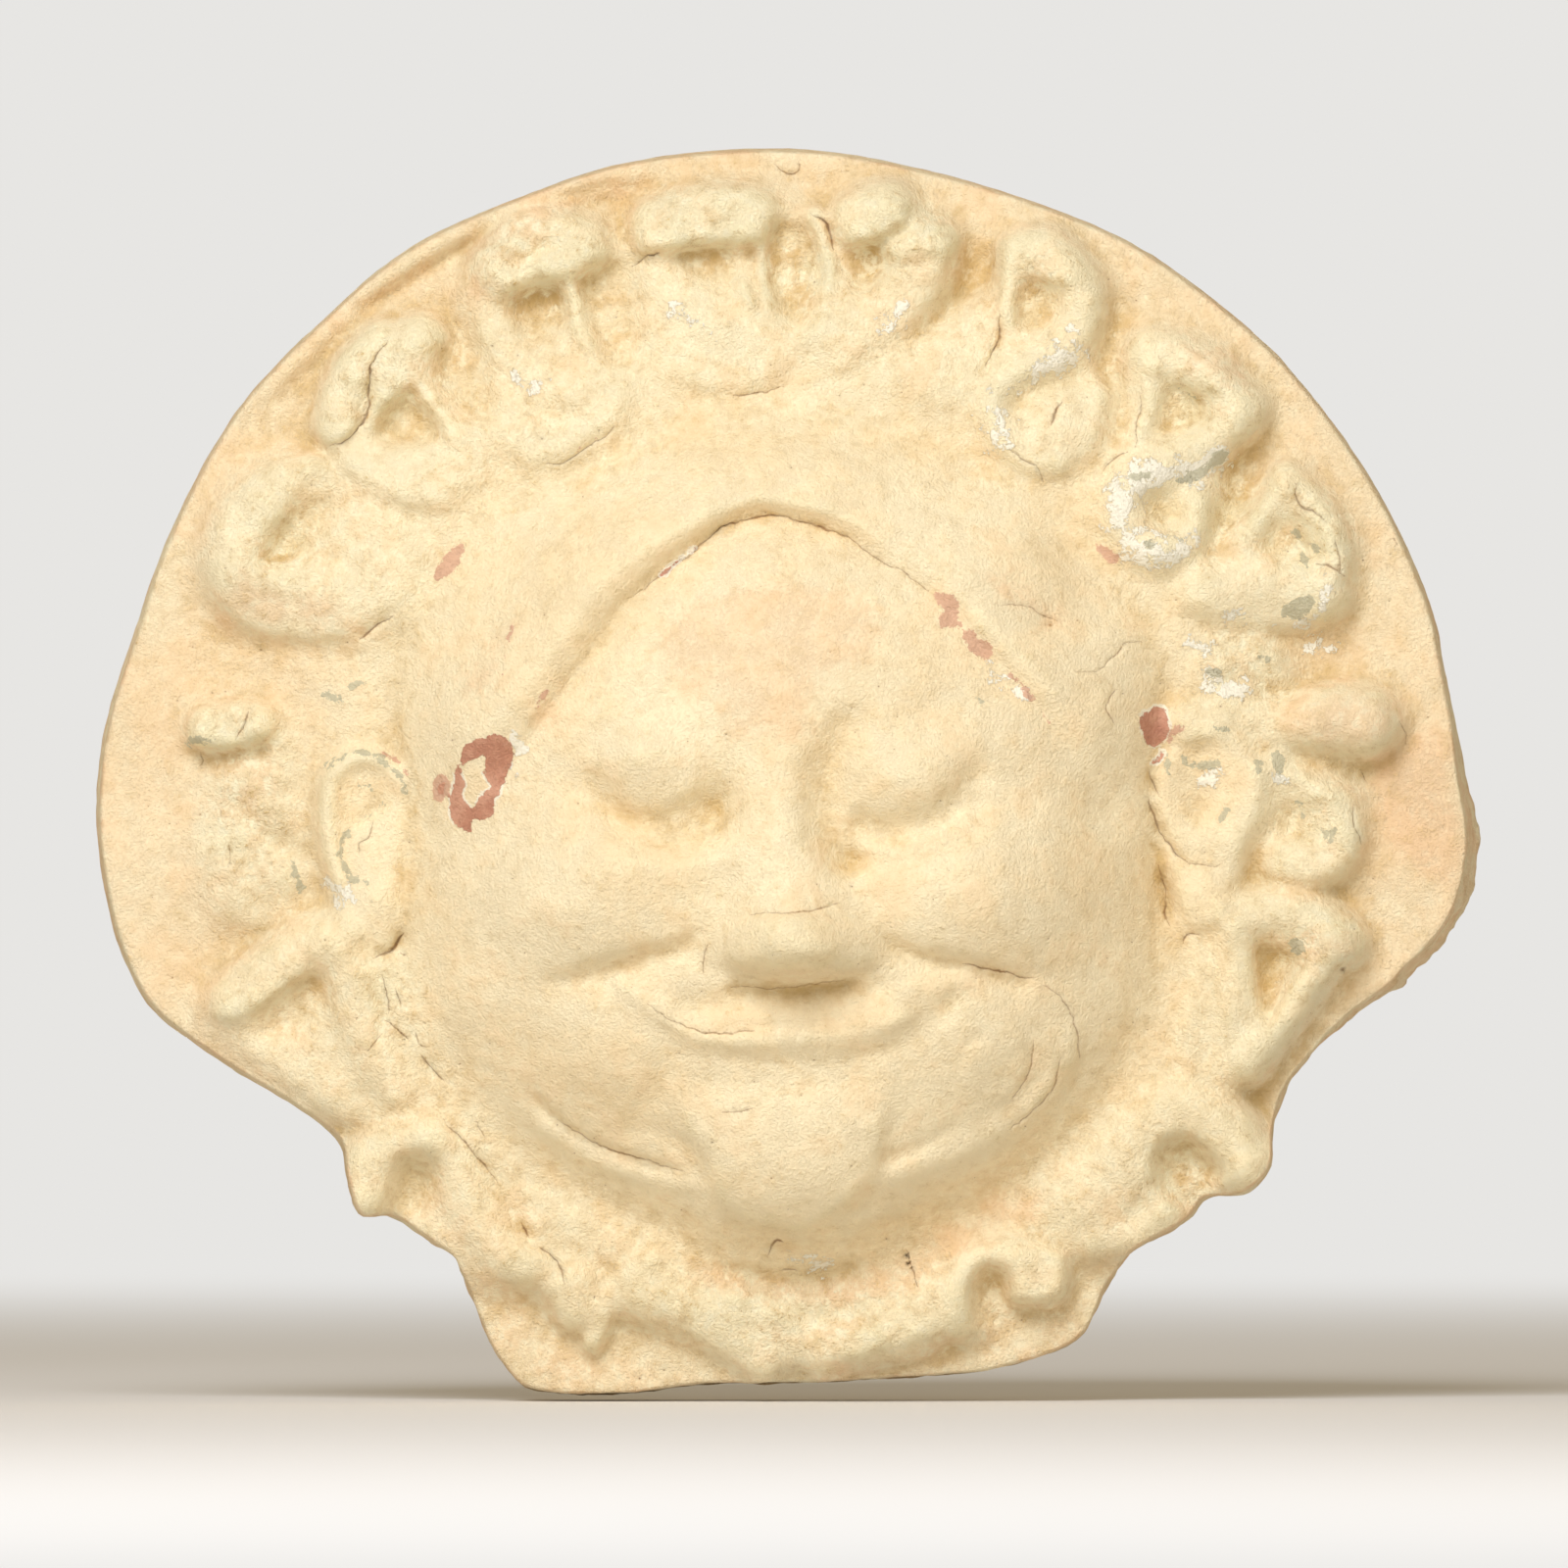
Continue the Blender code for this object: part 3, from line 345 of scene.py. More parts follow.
def shape_hair(clay):
    """The band of smooth hair, which stands up from the brow most on the left."""
    over = -depth_inside(clay.x, clay.z, curve(HAIRLINE, closed=True))
    ends = smooth((clay.z + 8.0) / 16.0)
    stand = ends * np.interp(clay.x, [-45, -30, -10, 5, 15, 45], [0.9, 1.05, 1.05, 0.9, 0.5, 0.4])
    run = np.interp(clay.x, [-40, -25, -14, -8, 8, 30], [5.5, 5.0, 3.6, 3.0, 3.0, 3.6])
    clay.mound += HAIR_RISE * stand * smooth(over / run) * (1.0 - smooth((over - 5.0) / 14.0))
    foot = np.where(over > 0, 1.0 - smooth(over / 1.4), np.exp(np.clip(over, -60, 0) / 3.0))
    clay.mound -= HAIR_CREASE * stand * foot
    clay.swell([(-7, 40), (3, 41), (10, 38), (15, 33)], 5.0, (-0.7, -0.5))
    clay.swell([(26, 29), (33, 31), (38, 27)], 5.0, 0.9)
    clay.swell([(28, 22), (33, 17), (38, 12)], 4.0, 0.8)
    clay.dome((37.3, 21.3), (3.2, 2.4), -0.9)
    clay.dome((44, 28), (8, 7), 0.9)
    clay.dome((31, 38), (9, 6), 0.7)
    clay.dome((18, 33), (4, 3), -0.5)
    clay.lip([(46.7, 6.5), (45.6, 9), (46.3, 12.4)], 0.6, 4.0, 0.8)
    clay.dome((47.5, 19.5), (6, 4), 0.9)


# %% [markdown]
# The brow swells a little. The eyes are worn to two soft bulges without lids, each in a hollow of its own.

# %% Brow and eyes
def shape_brow(clay):
    """The full middle of the forehead."""
    clay.dome((0, 18), (32, 24), 2.0)


def shape_eyes(clay):
    """Two closed-looking bulges, each in a soft hollow that is deepest beside the nose."""
    clay.dome((-20, 2.6), (14, 10.6), 2.5)
    clay.dome((-21, 2.0), (8.5, 6.5), 1.3)
    clay.swell([(-28.5, -2), (-25.5, -5.4), (-21, -7.6), (-16, -8.2), (-11, -6.6)], (3.8, 6.4), (-1.5, -3.6))
    clay.swell([(-26.5, -4.6), (-22.5, -6.6), (-18, -6.4), (-13.6, -4)], 1.8, -0.7)
    clay.dome((-9.8, -2.4), (5.4, 6.6), -1.9)
    clay.swell([(-27, -12.6), (-19, -13.8), (-10, -12.4)], 4.5, 0.8)
    clay.dome((18.5, 1.0), (14, 10.5), 2.6)
    clay.dome((18, -0.8), (8.8, 6.0), 1.5)
    clay.swell([(9, 7), (5.8, 2), (4.8, -3), (5.4, -8), (8.2, -12.4)], (4.4, 4.8), (-1.6, -3.4))
    clay.swell([(10.6, -7.6), (13.5, -8.6), (17, -8.5), (22, -6.6), (25.5, -3.1), (27, 0.6)], (3.6, 4.4),
               (-2.4, -1.0))
    clay.swell([(10.5, -10.6), (17, -11), (22, -9.6), (26, -6.4)], 1.4, 0.7)
    clay.swell([(10, -12.6), (17, -12.8), (24, -11.2), (28, -7.4)], 2.6, (-0.9, -0.3))
    clay.swell([(-34, 8), (-22, 12.5), (-10, 11)], 10, 0.8)
    clay.swell([(10, 9), (19, 11.5), (31, 7)], 10, 0.8)
    clay.dome((26.5, -0.5), (3, 2.4), -0.6)


# %% [markdown]
# The cheeks are round and cut off below by the folds of a wide grin. The nose is a low bridge that ends in
# a broad lump, with a shadow under it that shows from far off.

# %% Cheeks and nose
CHEEK_RISE = 5.2
NOSE_LEVEL = -25.0
NOSE_RISE = 5.4
TIP_LEVEL = -25.2
TIP_RISE = 3.0


def shape_cheeks(clay):
    """Two full cheeks, each cut off below by the fold that runs down from the nostril."""
    folds = {-1: ([11, 17, 22, 28, 33, 37, 46, 60], [-21.8, -24.8, -26.2, -27.9, -29.2, -30, -33.5, -37]),
             1: ([11, 16, 20, 24, 27, 31, 36, 46, 60],
                 [-21.4, -24.5, -26.2, -27.0, -27.8, -28.7, -30, -34, -37])}
    for side, (out_at, level) in folds.items():
        fold = np.interp(side * clay.x, out_at, level)
        run = np.interp(side * clay.x, [12, 32, 42], [2.6, 3.2, 9.0])
        out = np.hypot((side * clay.x - 29.0) / 22.0, (clay.z + 17.0) / 17.0)
        clay.mound += CHEEK_RISE * (1.0 - smooth(out)) * smooth((clay.z - fold + 0.3 * run) / run)
    clay.lip([(36.5, -29.9), (31, -28.7), (26.5, -27.5), (20.5, -26.2), (15.5, -24.4), (12, -21.8)], -1.1,
             4.5, 1.0)
    clay.lip([(-11.5, -21.6), (-16, -24.3), (-21, -25.9), (-27, -27.6), (-32, -29), (-37, -30)], -1.0, 5.5,
             1.4)
    clay.dome((45, -5.5), (6.5, 7), -1.3)
    clay.dome((-34, -20), (10, 5), 0.5)


def shape_nose(clay):
    """A low bridge that rises to a broad rounded lump, undercut below as if it were pressed on."""
    clay.swell([(-1.5, 8), (-2, -2), (-1.2, -12), (-0.5, -19)], (9, 12), (1.0, 5.0))
    across = (np.abs(clay.x - 0.6) / 15.4) ** 2.0
    upper = (np.clip(clay.z - NOSE_LEVEL, 0, None) / 11.0) ** 1.7
    under = (np.clip(NOSE_LEVEL - clay.z, 0, None) / (6.6 - 2.4 * np.clip(across, 0, 1))) ** 2.6
    clay.mound += NOSE_RISE * (1.0 - smooth((across + upper + under) ** 0.5))
    high = np.clip(clay.z - TIP_LEVEL, 0, None) / 5.6
    low = np.clip(TIP_LEVEL - clay.z, 0, None) / 4.9
    tip = (np.abs(clay.x - 1.6) / 12.2) ** 2.0 + high ** 2.0 + low ** 2.2
    clay.mound += TIP_RISE * (1.0 - np.clip(tip, 0, 1)) ** 0.7
    clay.dome((4.2, -26.0), (5, 3.0), 0.9)
    clay.dome((-6.5, -26.2), (4, 2.8), 0.4)
    clay.swell([(-8, -31.2), (-4, -31.4), (2, -31.2), (8.4, -30.2)], 1.8, -1.3)
    clay.swell([(-2.6, -28.9), (2, -28.4), (6, -27.6)], 1.3, -0.8)


# %% [markdown]
# The grin is a shallow step with a fine crease over it, and its corners run on in soft folds round the jaw.
# The tongue hangs over the chin as a low tab.

# %% Mouth and chin
TONGUE = [(-15.5, -50.4), (-14.2, -53), (-12.4, -55), (-11.4, -58.4), (-10.2, -61.8), (-7, -64), (-3, -65.3),
          (1, -66.4), (4.2, -65), (7.2, -62.8), (10.4, -60.6), (12.8, -56.4), (13.8, -50.6), (14, -46.5),
          (13.5, -42), (0, -40), (-15.5, -42)]
TONGUE_RISE = 1.9


def shape_mouth(clay):
    """The upper lip, the step under it, and the soft folds that run from its corners round the jaw."""
    clay.swell([(-23, -30.8), (-19, -33.8), (-14, -35.4), (-5, -35.2), (5, -34.4), (13, -32.8), (20, -30.6),
                (26, -28.9)], 3.0, 0.65)
    clay.swell([(-14, -33.6), (-6, -33.2), (4, -32.8), (13, -31.4)], 3.6, -1.1)
    clay.swell([(-15.5, -37.9), (-9, -38.5), (0, -38.6), (8, -37.9), (13, -36.6), (16.5, -35)], 2.2, 1.15)
    clay.swell([(15, -35.8), (18.5, -34), (21, -32.4)], 2.4, 0.4)
    clay.lip([(23, -33), (18, -37.1), (14, -39.2), (7, -40.8), (0, -41.1), (-6, -40.8), (-12, -40.1),
              (-16.5, -38.6)], -0.75, 3.2, 1.1, 0.3)
    clay.lip([(17, -32.8), (12, -34.6), (5, -36.2), (-3, -37.1), (-9, -37.5), (-13, -36.9), (-17, -35.2),
              (-21, -32.8)], 0.5, 2.4, 0.6)
    clay.swell([(-24.5, -30.4), (-22, -32.2), (-18, -35.4), (-15.3, -37)], 0.9, 0.5)
    clay.dome((-27, -40.5), (11.5, 11), 1.6)
    clay.dome((28.5, -39.5), (12, 11), 1.7)
    clay.dome((23, -33.5), (4.5, 2.6), -1.1, turn=35)
    clay.swell([(-16, -38.4), (-17.6, -43), (-19.6, -46.6), (-22.6, -52)], 3.2, -0.7)
    clay.lip([(-15.5, -57.4), (-19, -56.2), (-23, -54.9), (-27, -53.6), (-31, -51.4), (-35, -47.4),
              (-37.5, -43)], -0.9, 4.0, 0.7)
    clay.swell([(-13.6, -59.6), (-20, -58.2), (-28, -55.6), (-35, -51)], 2.3, 0.7)
    clay.swell([(13, -55.6), (18, -54.1), (24, -50.6)], 1.6, -0.6)
    clay.swell([(14, -58.6), (24, -54.8), (33, -50), (38.5, -44.5), (40.4, -38)], 3.0, 0.9)
    clay.lip([(41.4, -44), (42.2, -38.5), (40.6, -33.8), (38, -31), (34, -28.8)], 1.0, 5.0, 0.8)
    clay.lip([(33, -50.6), (37.4, -46.4), (38.8, -41), (37, -36)], 0.8, 4.0, 0.6)
    clay.lip([(29.6, -49), (33.6, -45), (34.6, -40.6), (33, -36.6), (29, -34)], 0.6, 4.0, 0.7)
    clay.swell([(24.4, -43), (25, -40), (27.6, -37.6)], 1.2, -0.5)
    clay.swell([(-10, -44), (0, -44.6), (10, -43.6)], 3.0, -0.5)
    clay.roughen((25, -33), (8, 6), 1.2)
    clay.roughen((33, -42), (9, 11), 0.8)
    clay.roughen((-22, -30), (9, 5), 1.0)


def shape_chin(clay):
    """The tongue, a low pointed tab with a clear edge, on a chin that turns under sharply."""
    clay.dome((1, -60), (24, 13), 2.4)
    i, deep = clay.within(TONGUE, 4)
    clay.mound[i] += TONGUE_RISE * smooth((-43.5 - clay.z[i]) / 8.0) * smooth(0.5 + deep / 2.6)
    clay.swell([(-19.5, -51.6), (-16, -53), (-13.5, -55), (-12, -58)], 2.6, -0.6)
    clay.swell([(-8, -67.4), (-2, -68.6), (5, -68.6), (11, -66.6)], 3.2, -0.9)
    clay.swell([(-9, -70.4), (-3, -70.9), (4, -70.4), (10, -69.2)], 1.8, 0.9)
    clay.lip([(11, -70.6), (6, -71.8), (0, -72.4), (-6, -72.2), (-11, -71.4)], -1.6, 3.4, 1.0)
    clay.swell([(-0.5, -70.6), (3, -70.0), (6, -70.1)], 1.0, 0.9)
    clay.swell([(-34, -56.4), (-27, -60), (-21, -62.8), (-15, -65.4)], 3.4, -1.0)
    clay.swell([(16, -65.6), (22, -62.2), (30, -59), (38, -54.4), (44, -49)], 4.0, -1.2)


# %% [markdown]
# The ears lie flat on the plate beside the mask, and the right one is the more worn.

# %% Ears
def shape_ears(clay):
    """Flat discs with a softly rolled rim, a hollow inside it and a smooth round lobe."""
    clay.mass([(-68.6, -4), (-67, 1), (-63, 4.2), (-58, 3.6), (-54.6, 0), (-53, -6), (-53.2, -14),
               (-54.2, -20.6), (-57, -24.8), (-61.4, -25.2), (-64.8, -22), (-66.6, -17), (-68.2, -10)], 7.6,
              4.6)
    clay.swell([(-55.6, -0.4), (-58, 2.0), (-61.6, 2.8), (-65.2, 0.8), (-66.6, -4), (-66.4, -10),
                (-64.8, -15)], 2.4, 1.1)
    clay.dome((-61, -5.6), (5.4, 9), -1.3)
    clay.sink([(-64.6, -1.6), (-61.5, 0.8), (-58, -0.6), (-57.2, -4.2), (-60, -6.2), (-64, -6.8)], 0.9, 2.4)
    clay.swell([(-58.4, -4.6), (-61, -7), (-63.4, -9), (-63.6, -13), (-62, -15.2)], 1.6, -0.6)
    clay.dome((-59.4, -18.4), (5.2, 6.4), 1.7)
    clay.swell([(-55.2, -4), (-55.3, -12), (-55.8, -18)], 1.3, -0.9)
    clay.mass([(53, 3), (57.5, 7.2), (63, 6.6), (68.4, 2), (69, -5), (67, -11), (65, -17), (62.4, -22),
               (58.6, -24), (55.6, -22.4), (53.4, -15), (51, -6)], 7.2, 5.4)
    clay.swell([(55.6, 5.6), (59, 6.6), (63.4, 4.8), (66, -0.5), (66, -6), (64, -10)], 3.4, 0.8)
    clay.dome((58.4, -2.6), (5.6, 8.6), -2.2)
    clay.dome((59.4, 3.4), (3.4, 2.2), -0.8)
    clay.dome((58.6, -5.6), (3, 2.6), -1.0)
    clay.dome((59.4, -17.4), (6, 6.4), 1.2)
    clay.lip([(52.6, -11.4), (57, -13.6), (61.8, -13.4)], -0.5, 3.0, 1.0)
    clay.swell([(53.4, -8), (54.2, -15), (55.2, -20)], 1.6, -0.8)
    clay.swell([(55.4, -25), (55, -31), (54, -38)], 2.4, -0.6)


# %% [markdown]
# ## The ring of locks
# Each lock is a rolled strand on a pressed mass, with a thumb hollow inside its curl. They differ too much
# to be copies of one, so each has its own few strokes, from the lower left up over the crown and down the
# right.

# %% Locks on the left
def first_lock(locks):
    """Lower left horseshoe beside the chin, and the strand that runs under the jaw from it."""
    locks.mass([(-65, -60), (-64, -53.5), (-58, -50), (-50, -47), (-43, -53), (-37, -62), (-32, -70),
                (-36, -74), (-45, -73.5), (-55, -67.5), (-62, -64)], 5.2, 6.0)
    locks.cord([(-60.8, -61), (-60, -56.4), (-56.4, -53), (-51.6, -52.4)], (7.4, 6), (8.4, 8.6))
    locks.cord([(-52.6, -52.8), (-48.6, -56), (-46.6, -61.5), (-42.6, -67.6), (-38, -70.6)], 6.0, (8.2, 7.4))
    locks.dome((-62.4, -61.6), (3.4, 3), 1.0)
    locks.sink([(-57, -59.5), (-55.4, -56), (-52.6, -55), (-50.6, -57.6), (-51.6, -61.6), (-55, -64.8),
                (-58, -64)], 3.2, 4.4)
    locks.mass([(-46, -50), (-40, -55.5), (-28, -62.5), (-13, -69), (-14, -73), (-30, -70.5), (-38, -65)],
               4.8, 6.0)
    locks.swell([(-46.5, -50.5), (-43, -56.5), (-40.6, -62), (-37.6, -67.6)], 1.6, -0.8)


def second_lock(locks):
    """Fat roll beside the left jaw, undercut above the break, that turns down into a second."""
    locks.mass([(-84.5, -35), (-79, -27.5), (-70, -20.5), (-63.5, -20.5), (-59, -26), (-56.5, -35),
                (-53, -42), (-53.5, -48), (-62, -51), (-74, -45)], 4.8, 6.0)
    locks.cord([(-79.8, -32.8), (-75, -28.8), (-69.8, -25), (-65.6, -24.4)], (6.2, 7), (7.2, 8.6))
    locks.cord([(-65.6, -25), (-63.0, -30), (-61.4, -36), (-58.5, -42), (-56.4, -45)], (6.4, 6.8), (8.4, 7.4))
    locks.lip([(-83.4, -35.9), (-78.6, -35.1), (-74, -32.3), (-70.4, -29.6), (-67.6, -28.8)], 1.5, 4.5, 0.7)
    locks.sink([(-76.4, -37), (-73, -33), (-70, -30.2), (-67.4, -29.6), (-66.6, -33), (-69.5, -37),
                (-73, -38.6)], 1.9, 3.6)
    locks.dome((-66, -44), (9, 6), 0.9)
    locks.lip([(-71, -47.4), (-64, -50.6), (-58, -50), (-53.4, -46.6)], 1.2, 5.0, 1.2)
    locks.sink([(-58.6, -26.5), (-55.4, -25.4), (-54.6, -31), (-53.6, -37), (-53.4, -40.6), (-56, -39.6),
                (-58.4, -35.5), (-58.8, -31)], 0.6, 2.4)
    locks.mass([(-60, -26), (-55, -27), (-50, -40), (-44, -50), (-38, -57), (-46, -56), (-56, -46)], 6.2, 7.0)
    locks.roughen((-57, -32), (4, 10), 1.6)


def third_lock(locks):
    """Lock beside the left ear: a hard-lipped knob on top, a worn lumpy curl under it."""
    locks.mass([(-86, 5), (-84, 9.5), (-79, 11.5), (-73.5, 9.5), (-70, 4), (-68.8, -5), (-68.8, -15),
                (-72.5, -20.6), (-79, -22), (-84, -18.5), (-85, -8), (-83, 1)], 3.2, 7.0)
    locks.cord([(-83.4, 6.4), (-80.5, 7), (-77, 7)], 5.4, (5.8, 7))
    locks.dome((-74, 7.4), (4, 4), 1.5)
    locks.lip([(-87.2, 4.4), (-84, 3.8), (-81, 3.3), (-78, 4.2), (-74.6, 5.6)], 2.2, 4.5, 0.8)
    locks.sink([(-86, 3.4), (-81, 2.8), (-76, 4), (-76, 2), (-81, 0.6), (-86, 1.6)], 1.1, 2.2)
    locks.swell([(-77.4, 0.6), (-76.8, -4), (-78.6, -8.6), (-80.4, -13)], (2.6, 3.6), 0.9)
    locks.swell([(-78.6, -4.4), (-76.6, -8), (-73, -10.6), (-70.6, -11)], 2.4, -1.2)
    locks.dome((-73.6, -15), (4.6, 4.4), 1.5)
    locks.dome((-79.4, -17), (4.6, 4), 1.1)
    locks.swell([(-80.6, -20.6), (-76, -21.6), (-71.4, -20)], 2.2, 0.7)
    locks.swell([(-82, 8.6), (-79.4, 6.4), (-78.8, 4.4)], 1.6, -0.9)
    locks.dome((-84, 8.4), (2.4, 1.8), 0.7)
    locks.roughen((-78, -6), (10, 17), 1.2)
    locks.roughen((-80, 6), (9, 5), 1.6)


def fourth_lock(locks):
    """Round coil at the left temple."""
    locks.mass([(-66, 45.5), (-74, 46), (-81, 41.5), (-84.5, 34), (-83.8, 25.5), (-77, 19.6), (-60, 18.4),
                (-52, 23), (-51.5, 32), (-58, 39.5)], 4.6, 5.6)
    locks.cord([(-69, 42), (-73.6, 40), (-77.6, 35.6), (-78.8, 30)], (6.6, 8.6), (7.6, 7.2))
    locks.cord([(-78.6, 28.4), (-73, 27.2), (-66, 26), (-58.6, 26.6)], (8.4, 9.4), (7.2, 7.0))
    locks.sink([(-68.6, 42.8), (-66.2, 40.6), (-66.4, 36.6), (-68.6, 33.4), (-70, 30.8), (-74.4, 29.6),
                (-76, 31.4), (-72.6, 36)], 2.2, 3.4)
    locks.dome((-74, 31), (3.2, 2.2), -1.0, turn=20)
    locks.swell([(-70, 33.2), (-66, 31.2), (-62, 28.6)], 2.2, -0.8)
    locks.lip([(-82.6, 26), (-80, 21.8), (-75, 19.9), (-69, 18.9), (-64, 19.6), (-61, 19.4)], 1.5, 6.0, 1.2)
    locks.roughen((-73, 33), (8, 9), 1.4)


def fifth_lock(locks):
    """Twist of two strands at the upper left, with two hollows inside it."""
    locks.mass([(-67, 47), (-66.5, 54), (-62, 61.5), (-56, 64.5), (-50, 63.5), (-44, 57.5), (-41, 50),
                (-44, 41.4), (-52, 37.6), (-60, 39.6), (-65.4, 44)], 5.0, 5.5)
    locks.cord([(-58.5, 61.6), (-62.2, 58.2), (-64.2, 53.5), (-64.8, 49.8)], 5.6, 7.6)
    locks.cord([(-53, 61.8), (-55.6, 58.6), (-58.2, 54.8), (-60, 51)], (6.4, 4.2), (8.6, 6.9))
    locks.lip([(-67.4, 46.8), (-63.6, 48), (-61.2, 50.6)], 1.6, 4.0, 0.8)
    locks.sink([(-59.4, 50.4), (-55.6, 54.4), (-53.4, 53.4), (-50.4, 49.4), (-52, 47.4), (-58, 47.6)], 3.4,
               2.6)
    locks.sink([(-50.5, 60.5), (-48, 61), (-43.5, 56), (-42.4, 52), (-45.5, 51), (-49.6, 55)], 2.9, 3.4)
    locks.cord([(-53.4, 56.8), (-50.6, 52), (-47.4, 47.5)], 2.6, 6.3)
    locks.lip([(-66.4, 46), (-64, 42.6), (-60, 39.6), (-56, 38.2), (-50, 37.4), (-46, 37.6)], 2.4, 7.0, 1.4)
    locks.swell([(-63, 45.4), (-56, 42.6), (-49, 41.6)], 4.0, 0.8)
    locks.roughen((-58, 57), (9, 9), 1.3)


def sixth_lock(locks):
    """Double curl left of the crown, open over a deep and a shallow hollow."""
    locks.mass([(-47, 66), (-46, 72), (-38, 80), (-28, 80), (-22.6, 74), (-21.6, 61), (-23, 51), (-30, 45.4),
                (-38, 43.5), (-45, 50), (-44.6, 58)], 4.8, 6.0)
    locks.cord([(-42.4, 73), (-38.5, 76.8), (-33, 78), (-29.4, 76.6)], 5.6, 7.0)
    locks.cord([(-41.4, 70.2), (-37, 72.2), (-33, 73.6), (-29, 74.4)], 5.0, (6.8, 8.4))
    locks.lip([(-41.4, 68.6), (-37, 70), (-33, 70.6), (-27.6, 72)], 1.6, 4.5, 1.0)
    locks.sink([(-40.5, 68), (-37, 69.6), (-32.6, 70), (-31.6, 66.5), (-34, 63), (-37.5, 62.5)], 3.0, 3.2)
    locks.sink([(-30, 71.5), (-26, 73.5), (-23.4, 72.4), (-22.6, 66), (-22.4, 60), (-24.4, 57.4), (-27, 61),
                (-29.2, 66)], 2.8, 3.6)
    locks.cord([(-31.8, 70), (-30.6, 66), (-28.6, 61.5)], 3.0, 6.4)
    locks.lip([(-22.6, 74), (-22.3, 66), (-21.3, 60), (-19.6, 56.6)], 1.3, 6.0, 1.2)
    locks.lip([(-46.4, 65.5), (-44, 61), (-40, 57.5), (-35, 54.5), (-28, 51.4)], 1.2, 8.0, 1.8)
    locks.dome((-34.5, 51.6), (7, 3), -1.0, turn=-22)
    locks.swell([(-41, 48.5), (-34, 47), (-28, 49.5), (-24.5, 53.5)], 4.0, 1.2)
    locks.lip([(-41, 44.6), (-35, 44.2), (-31, 45.6), (-27.5, 48.2), (-24, 51.4)], 1.0, 5.0, 1.0)
    locks.roughen((-36, 73), (12, 8), 2.2)


# %% [markdown]
# The locks over the brow stand highest. The middle one is a fat roll on two struts. Each strut and each
# hollow between them is drawn by itself, since they carry most of the shadow there.

# %% Locks over the crown
def crown_lock(locks):
    """Large curl over the middle of the brow: a fat roll on top, two struts and two hollows under it."""
    locks.mass([(-23, 73), (-21.5, 80.5), (-15, 84.6), (-6, 84.6), (1, 82.4), (6, 76), (6.6, 68), (4, 61),
                (-1, 56.5), (-8, 54), (-15.5, 55), (-20.6, 59)], 5.0, 6.0)
    locks.cord([(-18.5, 78.2), (-12, 80), (-6, 79.8)], 7.2, (8.6, 9.4))
    locks.lip([(-23, 73.6), (-20, 74.6), (-16, 75.2), (-10, 75.6), (-5, 76.4), (-2.2, 78.6)], 2.1, 5.0, 0.9)
    locks.sink([(-15.5, 75), (-6.5, 76), (-6.2, 72), (-9, 69.6), (-13, 71)], 2.2, 3.0)
    locks.cord([(-7.4, 75.5), (-7, 71), (-5.5, 67.5)], 1.8, 6.5)
    locks.sink([(-5.8, 76), (-4.6, 76), (-4.2, 70), (-5.2, 69)], 1.3, 1.2)
    locks.cord([(-3.6, 77.5), (-3.8, 72), (-2.4, 67.5)], 2.1, 6.2)
    locks.sink([(-2.8, 78), (0, 79.4), (3, 78.4), (4, 74), (3.8, 69), (1.5, 65), (-1, 65.5), (-3, 70)], 3.4,
               3.6)
    locks.cord([(3.8, 80), (5.4, 75.5), (5.8, 70), (4.6, 65), (2, 62)], 2.5, (6.6, 5.2))
    locks.dome((-13, 65.5), (10, 9), 1.6)
    locks.lip([(-22.5, 71), (-18, 67), (-12, 63), (-6, 60.5), (-1, 60.4)], 1.1, 9.0, 2.4)
    locks.lip([(-16.5, 56), (-10, 54.4), (-5, 54.6), (-1, 56), (2, 59.2)], 1.1, 4.0, 1.0)
    locks.roughen((-12, 79.5), (13, 6), 1.7)
    locks.roughen((2, 72), (8, 9), 1.2)


def eighth_lock(locks):
    """Lock right of the crown, its strand falling from the right back to the middle."""
    locks.mass([(6, 77), (7.5, 82), (13, 84.6), (18, 83), (23.5, 78.4), (25.5, 74), (22, 67), (14, 60.5),
                (7, 60)], 5.0, 6.0)
    locks.cord([(10, 79.2), (12, 80.2), (14.2, 80.8)], 6.8, (8.6, 9))
    locks.lip([(8.6, 76.2), (13, 76.4), (16.4, 78.6), (17.6, 83)], 1.6, 4.0, 0.9)
    locks.cord([(16.4, 75), (19, 76.4), (21.6, 76.2)], 5.0, 8.0)
    locks.lip([(14.8, 73.2), (19, 75), (23.4, 74.4)], 0.7, 4.0, 1.2)
    locks.sink([(8.8, 75.5), (13.2, 75.6), (13.8, 73), (11, 69.5), (9.2, 71)], 3.0, 2.8)
    locks.cord([(20, 73.2), (17, 69.5), (12.6, 66), (7, 63)], (7.6, 8.4), (7.4, 6.4))
    locks.swell([(26, 73.4), (24.6, 69.5), (22, 65.6), (18.4, 62)], (5.0, 4.0), (-2.6, -0.8))
    locks.mass([(12, 60), (20, 64), (29, 69), (31, 61), (27.4, 54.4), (21, 52), (14, 54)], 4.2, 6.5)
    locks.lip([(20, 52.6), (23.4, 57), (24.8, 62.4)], 0.8, 6.0, 1.6)
    locks.roughen((16, 77), (11, 8), 1.5)


